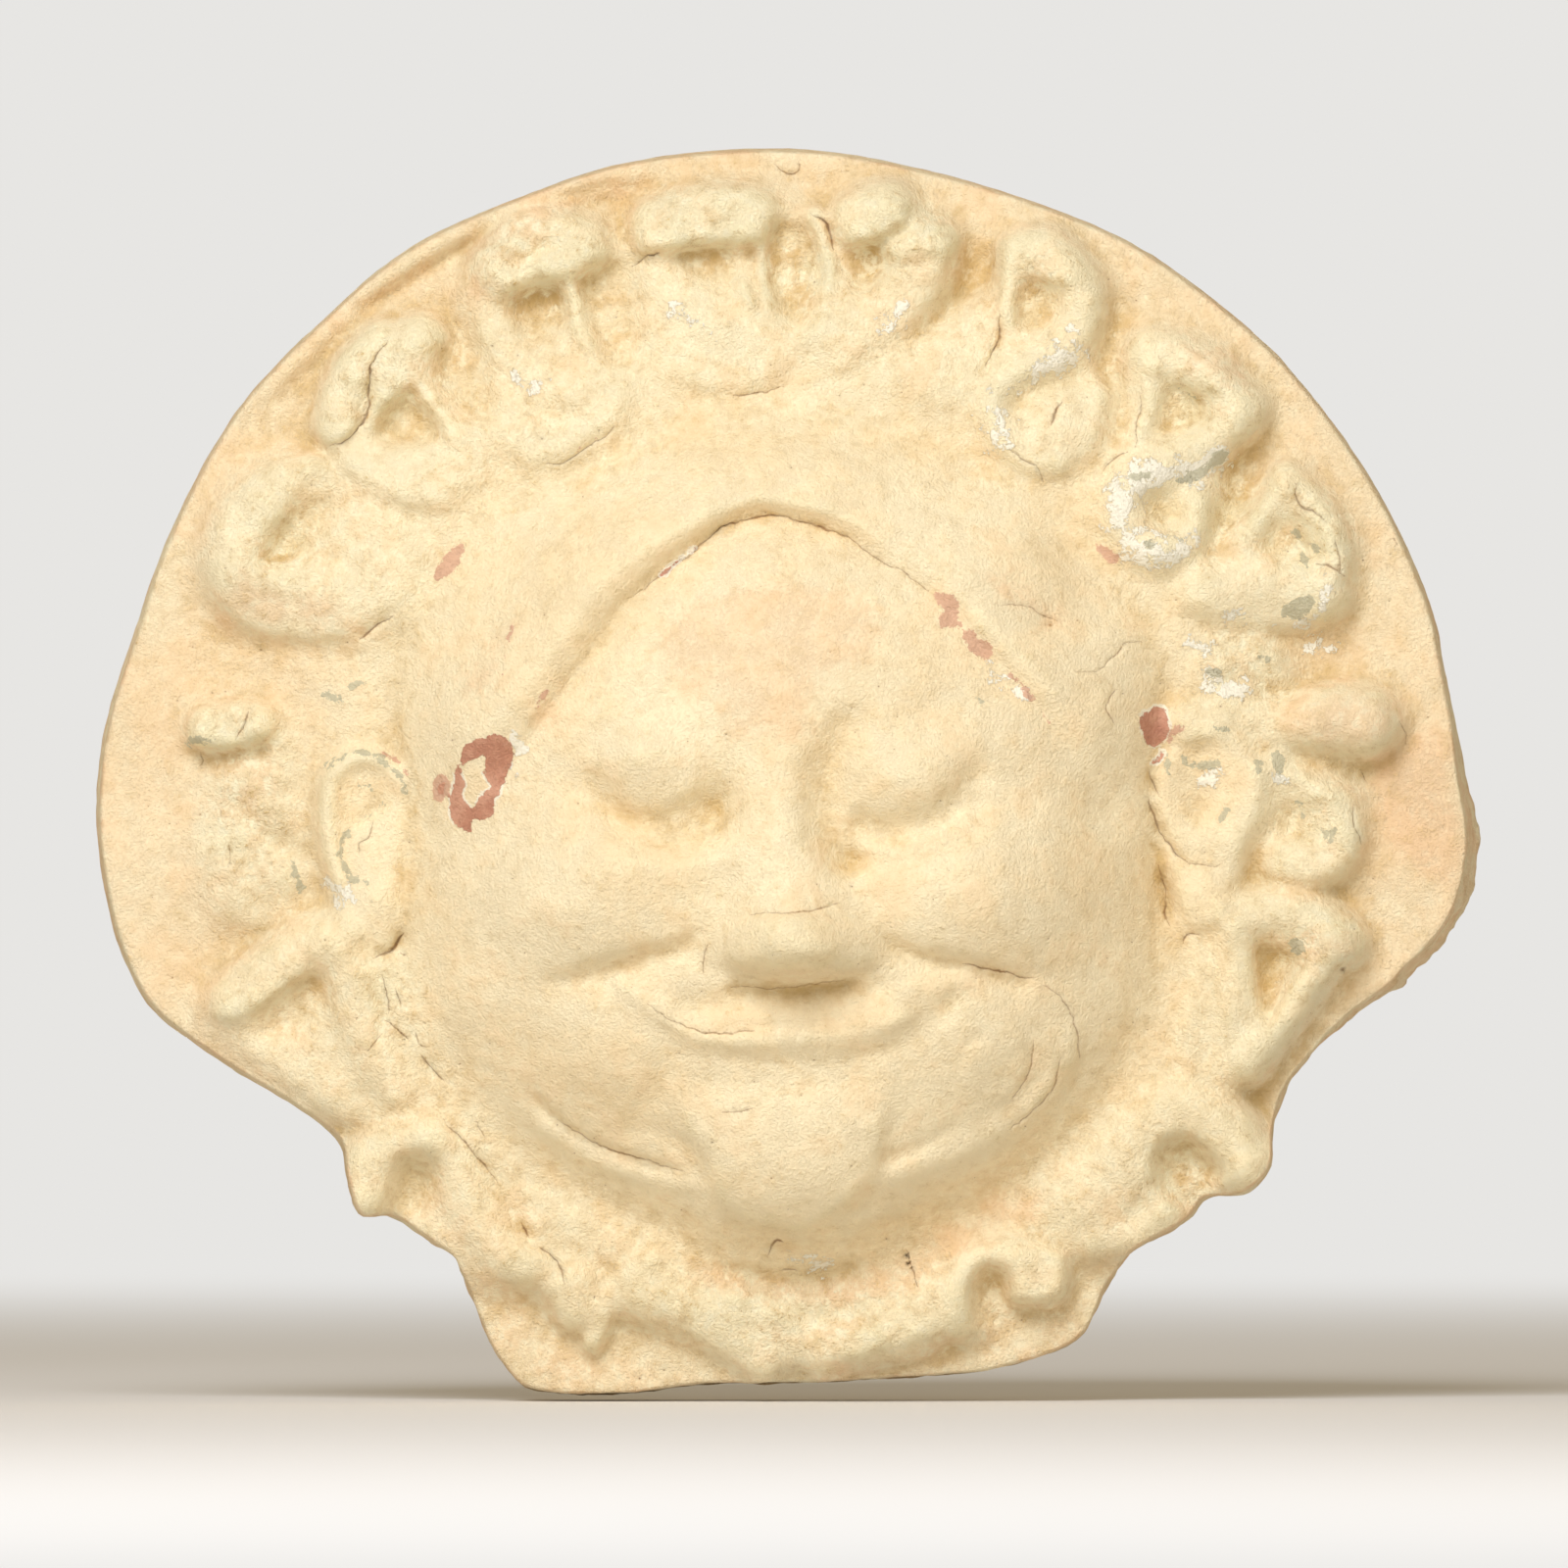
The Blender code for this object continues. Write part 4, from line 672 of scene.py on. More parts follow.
def ninth_lock(locks):
    """Tall curl at the upper right, hooked at the top and closed round a disc below."""
    locks.mass([(30, 71), (31.5, 76.5), (36, 78), (41.5, 75), (46, 69), (45.6, 62), (45, 58), (46.8, 54),
                (45.5, 47.5), (41, 43.5), (36.5, 42.8), (31, 45.6), (27.6, 50), (28.6, 60)], 5.2, 5.5)
    locks.cord([(34.4, 74.8), (37, 74.8), (39.6, 72.8)], 5.8, (7.4, 7.8))
    locks.lip([(32.6, 71.2), (36, 71), (40, 70)], 1.3, 4.0, 1.1)
    locks.cord([(31.8, 75.6), (31.8, 71), (31.2, 65)], 2.8, 6.6)
    locks.sink([(33, 69.6), (36, 70.2), (38.8, 69.2), (38.4, 66), (36, 64), (33.4, 64.8)], 2.3, 3.0)
    locks.cord([(41, 70.5), (42.2, 66.5), (41, 63.4), (38, 60.6), (34, 58.2), (30.6, 55.4), (29.6, 52),
                (30.8, 48.4), (34.4, 45.4), (38.4, 44.4)], (6.4, 3.6), (8.0, 6.8))
    locks.swell([(32.6, 53), (35.4, 54.8), (38.8, 56), (42, 56.8)], (3.6, 3.2), -2.0)
    locks.dome((39, 49.6), (7.4, 6.8), 2.6)
    locks.lip([(36.5, 42.6), (41.5, 44.4), (45, 48.5), (46.2, 53.5), (44.6, 58)], 1.0, 4.0, 1.4)
    locks.swell([(47.5, 66.5), (47, 62), (46.6, 58)], 5.0, -1.6)
    locks.roughen((36, 73), (6, 6), 1.2)


# %% [markdown]
# On the right the locks close into rings and hooks. Under the chin only worn stubs are left, because the
# plate broke off below them, so those are low and lumpy.

# %% Locks on the right and at the foot
def tenth_lock(locks):
    """Curl that closes into a ring, right of the brow."""
    locks.mass([(46, 59), (48.4, 63.5), (55, 64), (62, 60.5), (67, 54), (67.6, 50), (63, 44.5), (61.5, 36),
                (58, 30.2), (52, 29), (46, 32.6), (44.6, 38), (46, 44), (49, 52)], 5.2, 6.0)
    locks.cord([(52, 60), (56, 59.4), (60.4, 56.8)], 6.0, 7.6)
    locks.swell([(52.6, 58), (51.8, 53), (50.2, 48.5)], 2.6, 1.4)
    locks.cord([(61, 57), (63.6, 54), (64.8, 51)], 5.6, 7.4)
    locks.sink([(55, 54.8), (58, 53.8), (60.2, 51), (57.5, 49.2), (53, 48.8), (53.6, 51.5)], 2.0, 2.6)
    locks.cord([(65, 52), (62, 48.8), (57, 46), (52, 43.4), (48.8, 40.4), (48.2, 36.6), (50.2, 33.4),
                (54, 32)], (6.4, 5.6), (7.8, 7.4))
    locks.cord([(53, 32), (56.6, 33), (58.4, 36), (58.6, 39)], (5.6, 3.8), (7.4, 6.2))
    locks.dome((54.2, 37.6), (4.8, 4.6), -2.6)
    locks.dome((52, 39.4), (2.6, 2.6), -0.8)
    locks.swell([(69, 49), (65, 42), (63.4, 36), (62.4, 31)], (5.0, 4.4), -1.6)
    locks.roughen((59, 54), (9, 8), 1.3)
    locks.roughen((64, 38), (5, 9), 1.4)


def eleventh_lock(locks):
    """Small curl at the right temple, with a low lumpy patch under it."""
    locks.mass([(68.5, 43), (72.5, 44), (77, 40), (81, 34.5), (81, 28), (78.5, 22.4), (74.5, 20.6), (66, 21),
                (58, 22.5), (56, 27), (61, 32.5), (66, 38.5)], 5.2, 5.6)
    locks.cord([(71.4, 42), (75, 38.6), (77.6, 34.6), (78.4, 30.5), (77, 26.5)], 4.4, (6.6, 7.6))
    locks.cord([(77, 25.6), (73, 26.6), (66, 27.2), (60, 26.5)], (6.2, 6.6), (7.9, 6.6))
    locks.swell([(70.6, 41), (68.4, 37.4), (64.4, 33.4)], 2.8, 1.2)
    locks.sink([(67.4, 32.4), (70.6, 35.4), (73, 36.4), (74.8, 33.4), (75.2, 31), (71.5, 30.6)], 2.0, 2.4)
    locks.lip([(60, 22), (67, 20.9), (72.5, 20.4), (77, 22), (80, 26.4)], 1.0, 4.0, 1.4)
    locks.mass([(58, 12.5), (59, 17.5), (64, 20), (70, 19.4), (73, 16), (72, 12), (62, 10)], 3.4, 6.0)
    locks.dome((63, 15.4), (3.4, 3), 1.2)
    locks.dome((69, 16.4), (3, 2.6), 1.0)
    locks.dome((66, 11.6), (3, 1.8), 0.9)
    locks.roughen((76, 32), (7, 12), 1.8)
    locks.roughen((65, 15), (9, 7), 1.8)


def twelfth_lock(locks):
    """Smooth rounded head beside the right ear, over a lock that turns in below it."""
    locks.mass([(68, 5), (71, 10), (78, 13), (84, 12.6), (88, 9.4), (88.6, 6.4), (86.4, 3.4), (82, 2.2),
                (76, 2.8), (71, 3)], 4.8, 3.6)
    locks.cord([(76.6, 7.6), (80, 7.6), (82.8, 7.2)], 7.6, 9.6)
    locks.swell([(73, 1.8), (79, -0.4), (84.5, 0.2), (89, 4.2)], 2.6, -1.6)
    locks.cord([(57, 7.6), (63, 8), (68, 6.8), (72, 6.6)], (5, 6.6), (5.6, 6.6))
    locks.mass([(68, 2.5), (75, 3), (80.5, 0.4), (82.8, -6), (82.4, -11.5), (77, -16.4), (70, -15.4),
                (67, -9)], 4.6, 5.0)
    locks.cord([(70.4, 0.6), (75, -1.6), (78.6, -6), (78.8, -10.6), (75.4, -13.4), (71.6, -13)], 5.8,
               (6.0, 7.0))
    locks.dome((72.4, -7.2), (3.8, 4.6), -1.6)
    locks.lip([(70, -15.4), (76, -16.4), (81.4, -12.6), (82.8, -6.6)], 0.8, 4.0, 1.4)
    locks.roughen((77, -6), (7, 8), 1.2)


def thirteenth_lock(locks):
    """Forked lock under the right ear."""
    locks.mass([(60, -20.5), (65, -17.2), (72, -16.8), (79, -19.8), (83, -25), (79, -31.6), (73.4, -38.6),
                (66, -45.4), (57, -46), (55, -38), (57.6, -28)], 5.0, 5.6)
    locks.cord([(64, -21.6), (68, -20.4), (74, -20.8), (78.6, -24.4)], (5.6, 7.0), (7.4, 9.2))
    locks.cord([(64.6, -23), (64.6, -29), (64.8, -36), (63.4, -42)], (5.2, 6.4), (7.6, 6.6))
    locks.cord([(78, -25), (74, -30), (70.2, -36), (66.4, -41.6)], (6.0, 5.2), (9.0, 7.6))
    locks.sink([(67.4, -25.4), (70.4, -25.6), (73.6, -27.4), (71.6, -31.2), (69, -36), (67.6, -31)], 3.4, 2.0)
    locks.lip([(60.6, -23), (60.8, -27), (61.8, -32), (63, -38)], 0.9, 3.0, 1.0)
    locks.dome((80.4, -28.4), (2.4, 2), -0.8)
    locks.swell([(80.8, -28.9), (76.6, -35), (72.6, -41.4), (68, -46.6)], 3.2, -1.3)
    locks.roughen((77, -24), (7, 5), 2.0)


def fourteenth_lock(locks):
    """Hooked lock at the lower right, above the break."""
    locks.mass([(34, -59), (40, -53), (48, -47.5), (56, -44.6), (63, -46.6), (68.5, -53), (69.5, -57.5),
                (66, -60.6), (60.5, -61.6), (55, -64.5), (49, -69), (40, -70.5), (34, -66)], 5.0, 6.5)
    locks.cord([(43, -62.5), (47.6, -57.5), (51.4, -52), (56.5, -49), (61.6, -50.8), (65.4, -55.6)],
               (9.0, 7.6), (7.0, 9.4))
    locks.sink([(52.6, -56), (53.4, -53.4), (55.6, -52.2), (58, -52.8), (62.4, -56.6), (60.6, -59.4),
                (57.6, -62.4), (53.4, -60)], 3.0, 2.0)
    locks.swell([(44.4, -57), (46.6, -60), (46, -63.4)], 2.0, -0.7)
    locks.cord([(44, -68), (50, -66.4), (54, -63.8)], 4.0, 5.8)
    locks.lip([(62.4, -58), (59.6, -59.4), (57, -61.8)], -0.8, 2.5, 0.6)
    locks.roughen((56, -58), (9, 6), 1.2)


def foot_locks(locks):
    """What is left of the locks under the chin: a stub, a worn roll and a hook at its right end."""
    locks.mass([(-36, -74), (-32, -71), (-25.5, -71.5), (-24.6, -76), (-28, -80), (-33, -78)], 4.6, 4.0)
    locks.cord([(-31.4, -73.4), (-30.6, -77)], (7.4, 5.6), (7.4, 6.2))
    locks.cord([(-19.6, -70.2), (-23.8, -72.6), (-26, -77), (-28.4, -82)], (3.6, 2.6), (6.2, 4.4))
    locks.mass([(-24, -71), (-12, -71), (0, -74), (12, -72.5), (22, -69), (23.5, -78.5), (9, -83.5),
                (-4, -84.5), (-14, -80.5), (-25, -77)], 4.4, 5.0)
    locks.cord([(-21, -74.8), (-14, -77.4), (-8.6, -80.6), (-4, -84)], (7.0, 5.4), (7.2, 6.0))
    locks.cord([(-8, -75.6), (-2.6, -79), (0.4, -83)], (5.6, 5.0), (6.4, 5.6))
    locks.cord([(5, -83.2), (11, -81.4), (18, -79.4), (22.4, -76)], (6.0, 7.4), (6.4, 8.0))
    locks.lip([(3, -85), (9, -84.4), (15, -82.8), (21, -80.8), (24.4, -77.6)], 1.0, 5.0, 0.8)
    locks.dome((12, -76.4), (7, 4), 0.9)
    locks.mass([(22.5, -79.5), (22, -73), (25, -68), (31, -65.5), (37, -66.5), (39.5, -75.6), (33, -76.4),
                (27, -81.5)], 4.6, 3.8)
    locks.cord([(23.8, -78.6), (24.6, -73.5), (27.6, -69.9), (32, -69)], 5.0, 7.8)
    locks.sink([(26.2, -73), (29, -70.8), (30.6, -72.4), (31.4, -76), (30, -79), (27, -79)], 2.8, 2.0)
    locks.mass([(31, -69), (36, -67.6), (40, -69.4), (39.6, -75.6), (32.6, -76.4), (31.6, -73)], 8.2, 2.6)
    locks.roughen((0, -78), (34, 9), 1.2)


# %% [markdown]
# The finer strokes are scored with a point or left by two pieces of clay that did not quite close: folds
# beside the curls, the parting of the lips, the ears' edges, and the knife's slips along the upper left
# rim.

# %% Scored lines
FACE_SCORES = [
    ([(8.5, -10), (14, -10.7), (21, -9.9), (26, -7), (29.5, -2.5)], 2.0, 0.4),
    ([(34.5, -30), (38.5, -33), (41, -37), (41.6, -42), (40, -47)], 1.7, 0.7),
    ([(-9.2, -22), (-5, -20.5), (0, -20.2), (4, -19.8), (8, -18.7)], 1.4, 0.5),
    ([(-12.3, -24), (-12.9, -26.5), (-12.6, -29)], 1.2, 0.5),
    ([(-15, -37.6), (-6, -36.6), (3, -35.7), (11, -34.4)], 0.8, 0.25),
    ([(-37, -46), (-33, -50.2), (-29, -52.8), (-25.6, -53.8)], 0.9, 0.8),
    ([(-27, -53.4), (-22, -55.6), (-18, -57), (-14.4, -57.8)], 0.9, 0.7),
    ([(39.4, -38), (38.8, -43), (36.3, -47.5), (32.0, -50.7)], 0.9, 0.3),
    ([(33.5, -36), (34.3, -41), (32.6, -46), (28, -49.2)], 1.2, 0.25),
    ([(-12, -71), (-4, -72.2), (3, -72.2), (12, -70.5)], 2.6, 1.0),
]
EAR_SCORES = [
    ([(51.6, 1), (53, -3)], 1.0, 0.8),
    ([(52, -4), (53.8, -8.5), (56, -11.8), (57.6, -13.4)], 1.2, 1.0),
    ([(57.4, -13.2), (60, -13.4), (62.5, -13.2)], 0.7, 0.4),
    ([(53.2, -13), (54, -18), (55, -21.8)], 1.0, 0.5),
    ([(-51.2, -6), (-51, -12), (-52, -20)], 0.8, 0.4),
    ([(-59.5, -26), (-56.5, -24.8), (-55.3, -22.5)], 1.2, 1.2),
    ([(-59, -28), (-58.5, -33), (-59, -37), (-60, -40)], 1.2, 0.6),
    ([(-53.5, -40.3), (-51.8, -42.4), (-50, -44.5)], 0.9, 0.5),
]
LOCK_SCORES = [
    ([(-22.5, 73.4), (-20.3, 74.4), (-18, 75.2)], 1.19, 1.2),
    ([(3, 80.3), (5, 79), (6, 77.5), (6.3, 75)], 1.02, 1.44),
    ([(-14, 54.6), (-8, 54.4), (-3, 55.2), (0, 57.4), (1.5, 60.5)], 1.87, 0.6),
    ([(17.2, 82), (17, 79), (14, 76.6), (9.6, 75.8)], 1.36, 0.84),
    ([(24.3, 62.5), (23.8, 58), (21.3, 53.8)], 1.7, 0.42),
    ([(30.2, 66), (30.4, 63), (29.6, 60.5), (28.2, 58), (27.8, 55.5)], 0.94, 0.96),
    ([(31.8, 76.3), (32.8, 73.5), (32.2, 70)], 0.77, 0.48),
    ([(37.8, 49.5), (38.4, 51.8), (39.4, 53.8)], 0.77, 0.48),
    ([(-41, 74), (-38.5, 74), (-36, 75), (-33, 76.3)], 1.1, 0.96),
    ([(-66, 47), (-62.5, 48.7), (-60.2, 55), (-59.5, 58.5), (-56, 63.3)], 1.36, 1.32),
    ([(-62.5, 19.4), (-60, 21), (-56.5, 23.5)], 1.1, 1.08),
    ([(-79.5, 5), (-78.2, 7), (-77.5, 9.8)], 0.85, 0.72),
    ([(-46, -54), (-42, -59), (-38, -66), (-33, -71.5), (-33, -75)], 1.27, 0.5),
    ([(55, 55.4), (57, 54.6), (59, 53.4), (61, 55.2)], 1.1, 1.2),
    ([(73, 41), (73.2, 39.5), (75, 38), (77.4, 36.4), (78.6, 33.5)], 0.94, 0.78),
    ([(72.5, 35), (73.5, 33.5), (74.3, 30.5)], 0.85, 0.78),
    ([(56.5, 23.3), (60, 21), (62, 18.5), (63.7, 17.7)], 1.02, 0.6),
]
RIM_SCORES = [
    ([(-64, 65.5), (-60, 68), (-57, 69.3), (-53, 71.8), (-49, 74.5), (-43, 77.8)], 1.8, 1.1),
    ([(-47, 76.4), (-42, 79), (-37, 81), (-32.8, 82.6), (-28, 84.2), (-23, 85.4)], 1.4, 1.3),
    ([(-45, 74.6), (-39, 78.4), (-33, 80.8), (-27, 82), (-21, 83)], 1.2, 0.6),
    ([(-79, 48), (-77.4, 51), (-75.6, 54.3)], 1.2, 0.7),
    ([(-73, 55), (-66, 60), (-61, 65)], 0.9, 0.25),
    ([(13, 84), (19, 83), (22, 80.5), (27, 81)], 1.2, 0.4),
    ([(57, 61.5), (61, 59.5), (65, 57.5), (66.5, 55), (68.5, 51)], 1.0, 0.4),
]
SCORES = FACE_SCORES + EAR_SCORES + LOCK_SCORES + RIM_SCORES
print("scored lines:", len(SCORES))

# %% [markdown]
# ## Heights of the whole sheet
# A hand-beaten plate is never true and worn locks are never smooth. Soft random values stand for both, on
# grids that are turned another way for each seed, so that they never line up.

# %% Random swells
CLOUD_CELLS = 64


def cloud(x, z, size, seed):
    """Soft random values between -1 and 1, in patches of about the size, on a grid turned by the seed."""
    values = np.random.default_rng(seed).uniform(-1, 1, (CLOUD_CELLS, CLOUD_CELLS))
    turned_x = (x * math.cos(seed) + z * math.sin(seed)) / size
    turned_z = (z * math.cos(seed) - x * math.sin(seed)) / size
    column = np.floor(turned_x).astype(int)
    row = np.floor(turned_z).astype(int)
    across = smooth(turned_x - column)
    up = smooth(turned_z - row)

    def corner(dx, dz):
        return values[(row + dz) % CLOUD_CELLS, (column + dx) % CLOUD_CELLS]

    low = corner(0, 0) * (1 - across) + corner(1, 0) * across
    high = corner(0, 1) * (1 - across) + corner(1, 1) * across
    return low * (1 - up) + high * up


def clouds(x, z, layers):
    """Several clouds added up, each given by its size, its strength and its seed."""
    return sum(strength * cloud(x, z, size, seed) for size, strength, seed in layers)


# %% [markdown]
# The strokes are laid down in order on a fine square grid: the mask on one lot of clay, the ring on
# another, and the higher of the two shows. Locks that run over the mask's skirt are lifted by it.

# %% Lay down the strokes
PLATE = 16.0
SHEET_ACROSS = 200.0
SHEET_UP = 180.0
SHEET_STEP = 0.4
SHEET_MARGIN = 1.04
LOCK_RISE = 0.85
LOCK_SINK = 0.92
LOCK_EDGE = 3.0
LIFT_SHARE = 0.35
LIFT_MOST = 6.0
MEETING = 2.6
BELOW_PLATE = 0.4
RIM_RISE = 1.7
RIM_STRETCH = (95.0, 150.0)
RIM_RUN = 12.0
RIM_WIDTH = 4.2
RIM_SIDE = 1.8


def rim_rise(x, z):
    """The raised lip that is left along the upper left edge."""
    out, edge = outward(x, z, OUTLINE, OUTLINE_CENTRE)
    turn = np.degrees(np.arctan2(z - OUTLINE_CENTRE[1], x - OUTLINE_CENTRE[0]))
    stretch = smooth((turn - RIM_STRETCH[0]) / RIM_RUN) * smooth((RIM_STRETCH[1] - turn) / RIM_RUN)
    return RIM_RISE * stretch * smooth((RIM_WIDTH - (1.0 - out) * edge) / RIM_SIDE)


def carve(x, z):
    """Heights of the carving over the plate, the depth of the lines scored in it, and its roughness."""
    mask = Clay(x, z)
    for shape in (shape_head, shape_hair, shape_brow, shape_eyes, shape_cheeks, shape_nose, shape_mouth,
                  shape_chin, shape_ears):
        shape(mask)
    ring = Clay(x, z)
    for shape in (fifth_lock, sixth_lock, fourth_lock, crown_lock, eighth_lock, ninth_lock, tenth_lock,
                  eleventh_lock, twelfth_lock, thirteenth_lock, third_lock, second_lock, first_lock,
                  foot_locks, fourteenth_lock):
        shape(ring)
    for points, width, depth in SCORES:
        ring.score(points, width, depth)
    on_ring = smooth(ring.mound / LOCK_EDGE)
    lifted = LIFT_SHARE * np.clip(mask.mound, 0, LIFT_MOST) * on_ring
    height = join(mask.mound, LOCK_RISE * ring.mound + lifted, MEETING) + rim_rise(x, z)
    height -= mask.hollow + LOCK_SINK * ring.hollow
    height = np.where(height < 0, BELOW_PLATE * height, height)
    return height, ring.groove, on_ring + ring.rough + mask.rough


GRID_LOW = np.array([-SHEET_ACROSS, -SHEET_UP]) * 0.5 * SHEET_MARGIN
grid_x, grid_z = np.meshgrid(np.arange(GRID_LOW[0], -GRID_LOW[0], SHEET_STEP),
                             np.arange(GRID_LOW[1], -GRID_LOW[1], SHEET_STEP))
form, groove, roughness = (grid.reshape(grid_x.shape) for grid in carve(grid_x.ravel(), grid_z.ravel()))
print("strokes, units:", round(float(form.min()), 1), "to", round(float(form.max()), 1))

# %% [markdown]
# Handling and weather rounded every edge and filled the narrow corners. So the heights are rubbed soft by
# about half a millimetre, the corners of the ring are filled a little more, and the long corner between the
# jaw and the locks most of all. The random swells go on last: broad ones on the bare plate, lumps and
# pinched folds on the locks.

# %% Wear
WEAR = 0.45
SCORE_WEAR = 0.25
FILLET = 1.4
FILLED = 0.2
RING_SPREAD = 3.0
JAW_FILLET = 3.4
JAW_FILLED = 0.8
JAW_CORNER = 7.0
JAW_TOP = -12.0
JAW_RUN = 20.0
BARE_LEFT = 0.7
BARE_HEIGHT = 9.0
LUMPY_SPREAD = 2.0
FOOT_TOP = -68.0
FOOT_RUN = 6.0
SWELLS = [(26.0, 0.42, 3), (10.0, 0.22, 4)]
LUMPS = [(5.2, 0.17, 5), (2.7, 0.16, 6), (1.4, 0.13, 7)]
FOLDS = [(4.4, 0.5, 8), (2.3, 0.3, 9)]
FOLD_CREST = 0.35
PINCHED = 0.25
MOST_PINCHED = 1.5
FACE_LUMPS = 0.42


def rub(height, radius):
    """Rounds every edge of the sampled heights by about the radius, in units."""
    steps = radius / SHEET_STEP
    side = int(3 * steps) + 1
    weight = np.exp(-0.5 * (np.arange(-side, side + 1) / steps) ** 2)
    weight /= weight.sum()

    def rubbed(row):
        return np.convolve(np.pad(row, side, mode="edge"), weight, mode="valid")

    for axis in (0, 1):
        height = np.apply_along_axis(rubbed, axis, height)
    return height


def fill(height, radius, share):
    """Fills a share of what a rub of that radius would fill, and takes nothing off the crests."""
    return height + share * np.clip(rub(height, radius) - height, 0, None)


form = rub(form, WEAR)
form = fill(form, FILLET, FILLED * np.clip(2.0 * rub(roughness, RING_SPREAD), 0, 1))
out, edge = outward(grid_x, grid_z, HEAD, HEAD_CENTRE)
corner = np.exp(-((out - 1.0) * edge / JAW_CORNER) ** 2) * smooth((JAW_TOP - grid_z) / JAW_RUN)
form = fill(form, JAW_FILLET, JAW_FILLED * corner)
bare = 1.0 - BARE_LEFT * smooth(form / BARE_HEIGHT)
in_foot = smooth((FOOT_TOP - grid_z) / FOOT_RUN)
lumpy = np.maximum(FACE_LUMPS, np.maximum(rub(roughness, LUMPY_SPREAD), in_foot))
pinched = PINCHED * lumpy + np.clip(lumpy - 1.0, 0, MOST_PINCHED)
folds = sum(rise * (FOLD_CREST - np.abs(cloud(grid_x, grid_z, size, seed))) for size, rise, seed in FOLDS)
height_grid = (form - rub(groove, SCORE_WEAR) + bare * clouds(grid_x, grid_z, SWELLS)
               + lumpy * clouds(grid_x, grid_z, LUMPS) + pinched * folds)
print("worn carving, units:", round(float(height_grid.min()), 1), "to", round(float(height_grid.max()), 1))

# %% [markdown]
# ## Cracks and pits
# Drying opened hairline cracks along the folds, and grit that fell out left pits. They are finer than the
# mesh, so each crack gets its own row of points down its middle with a row on either lip, and each pit gets
# a ring round a sunk middle. The triangulation then follows them exactly.

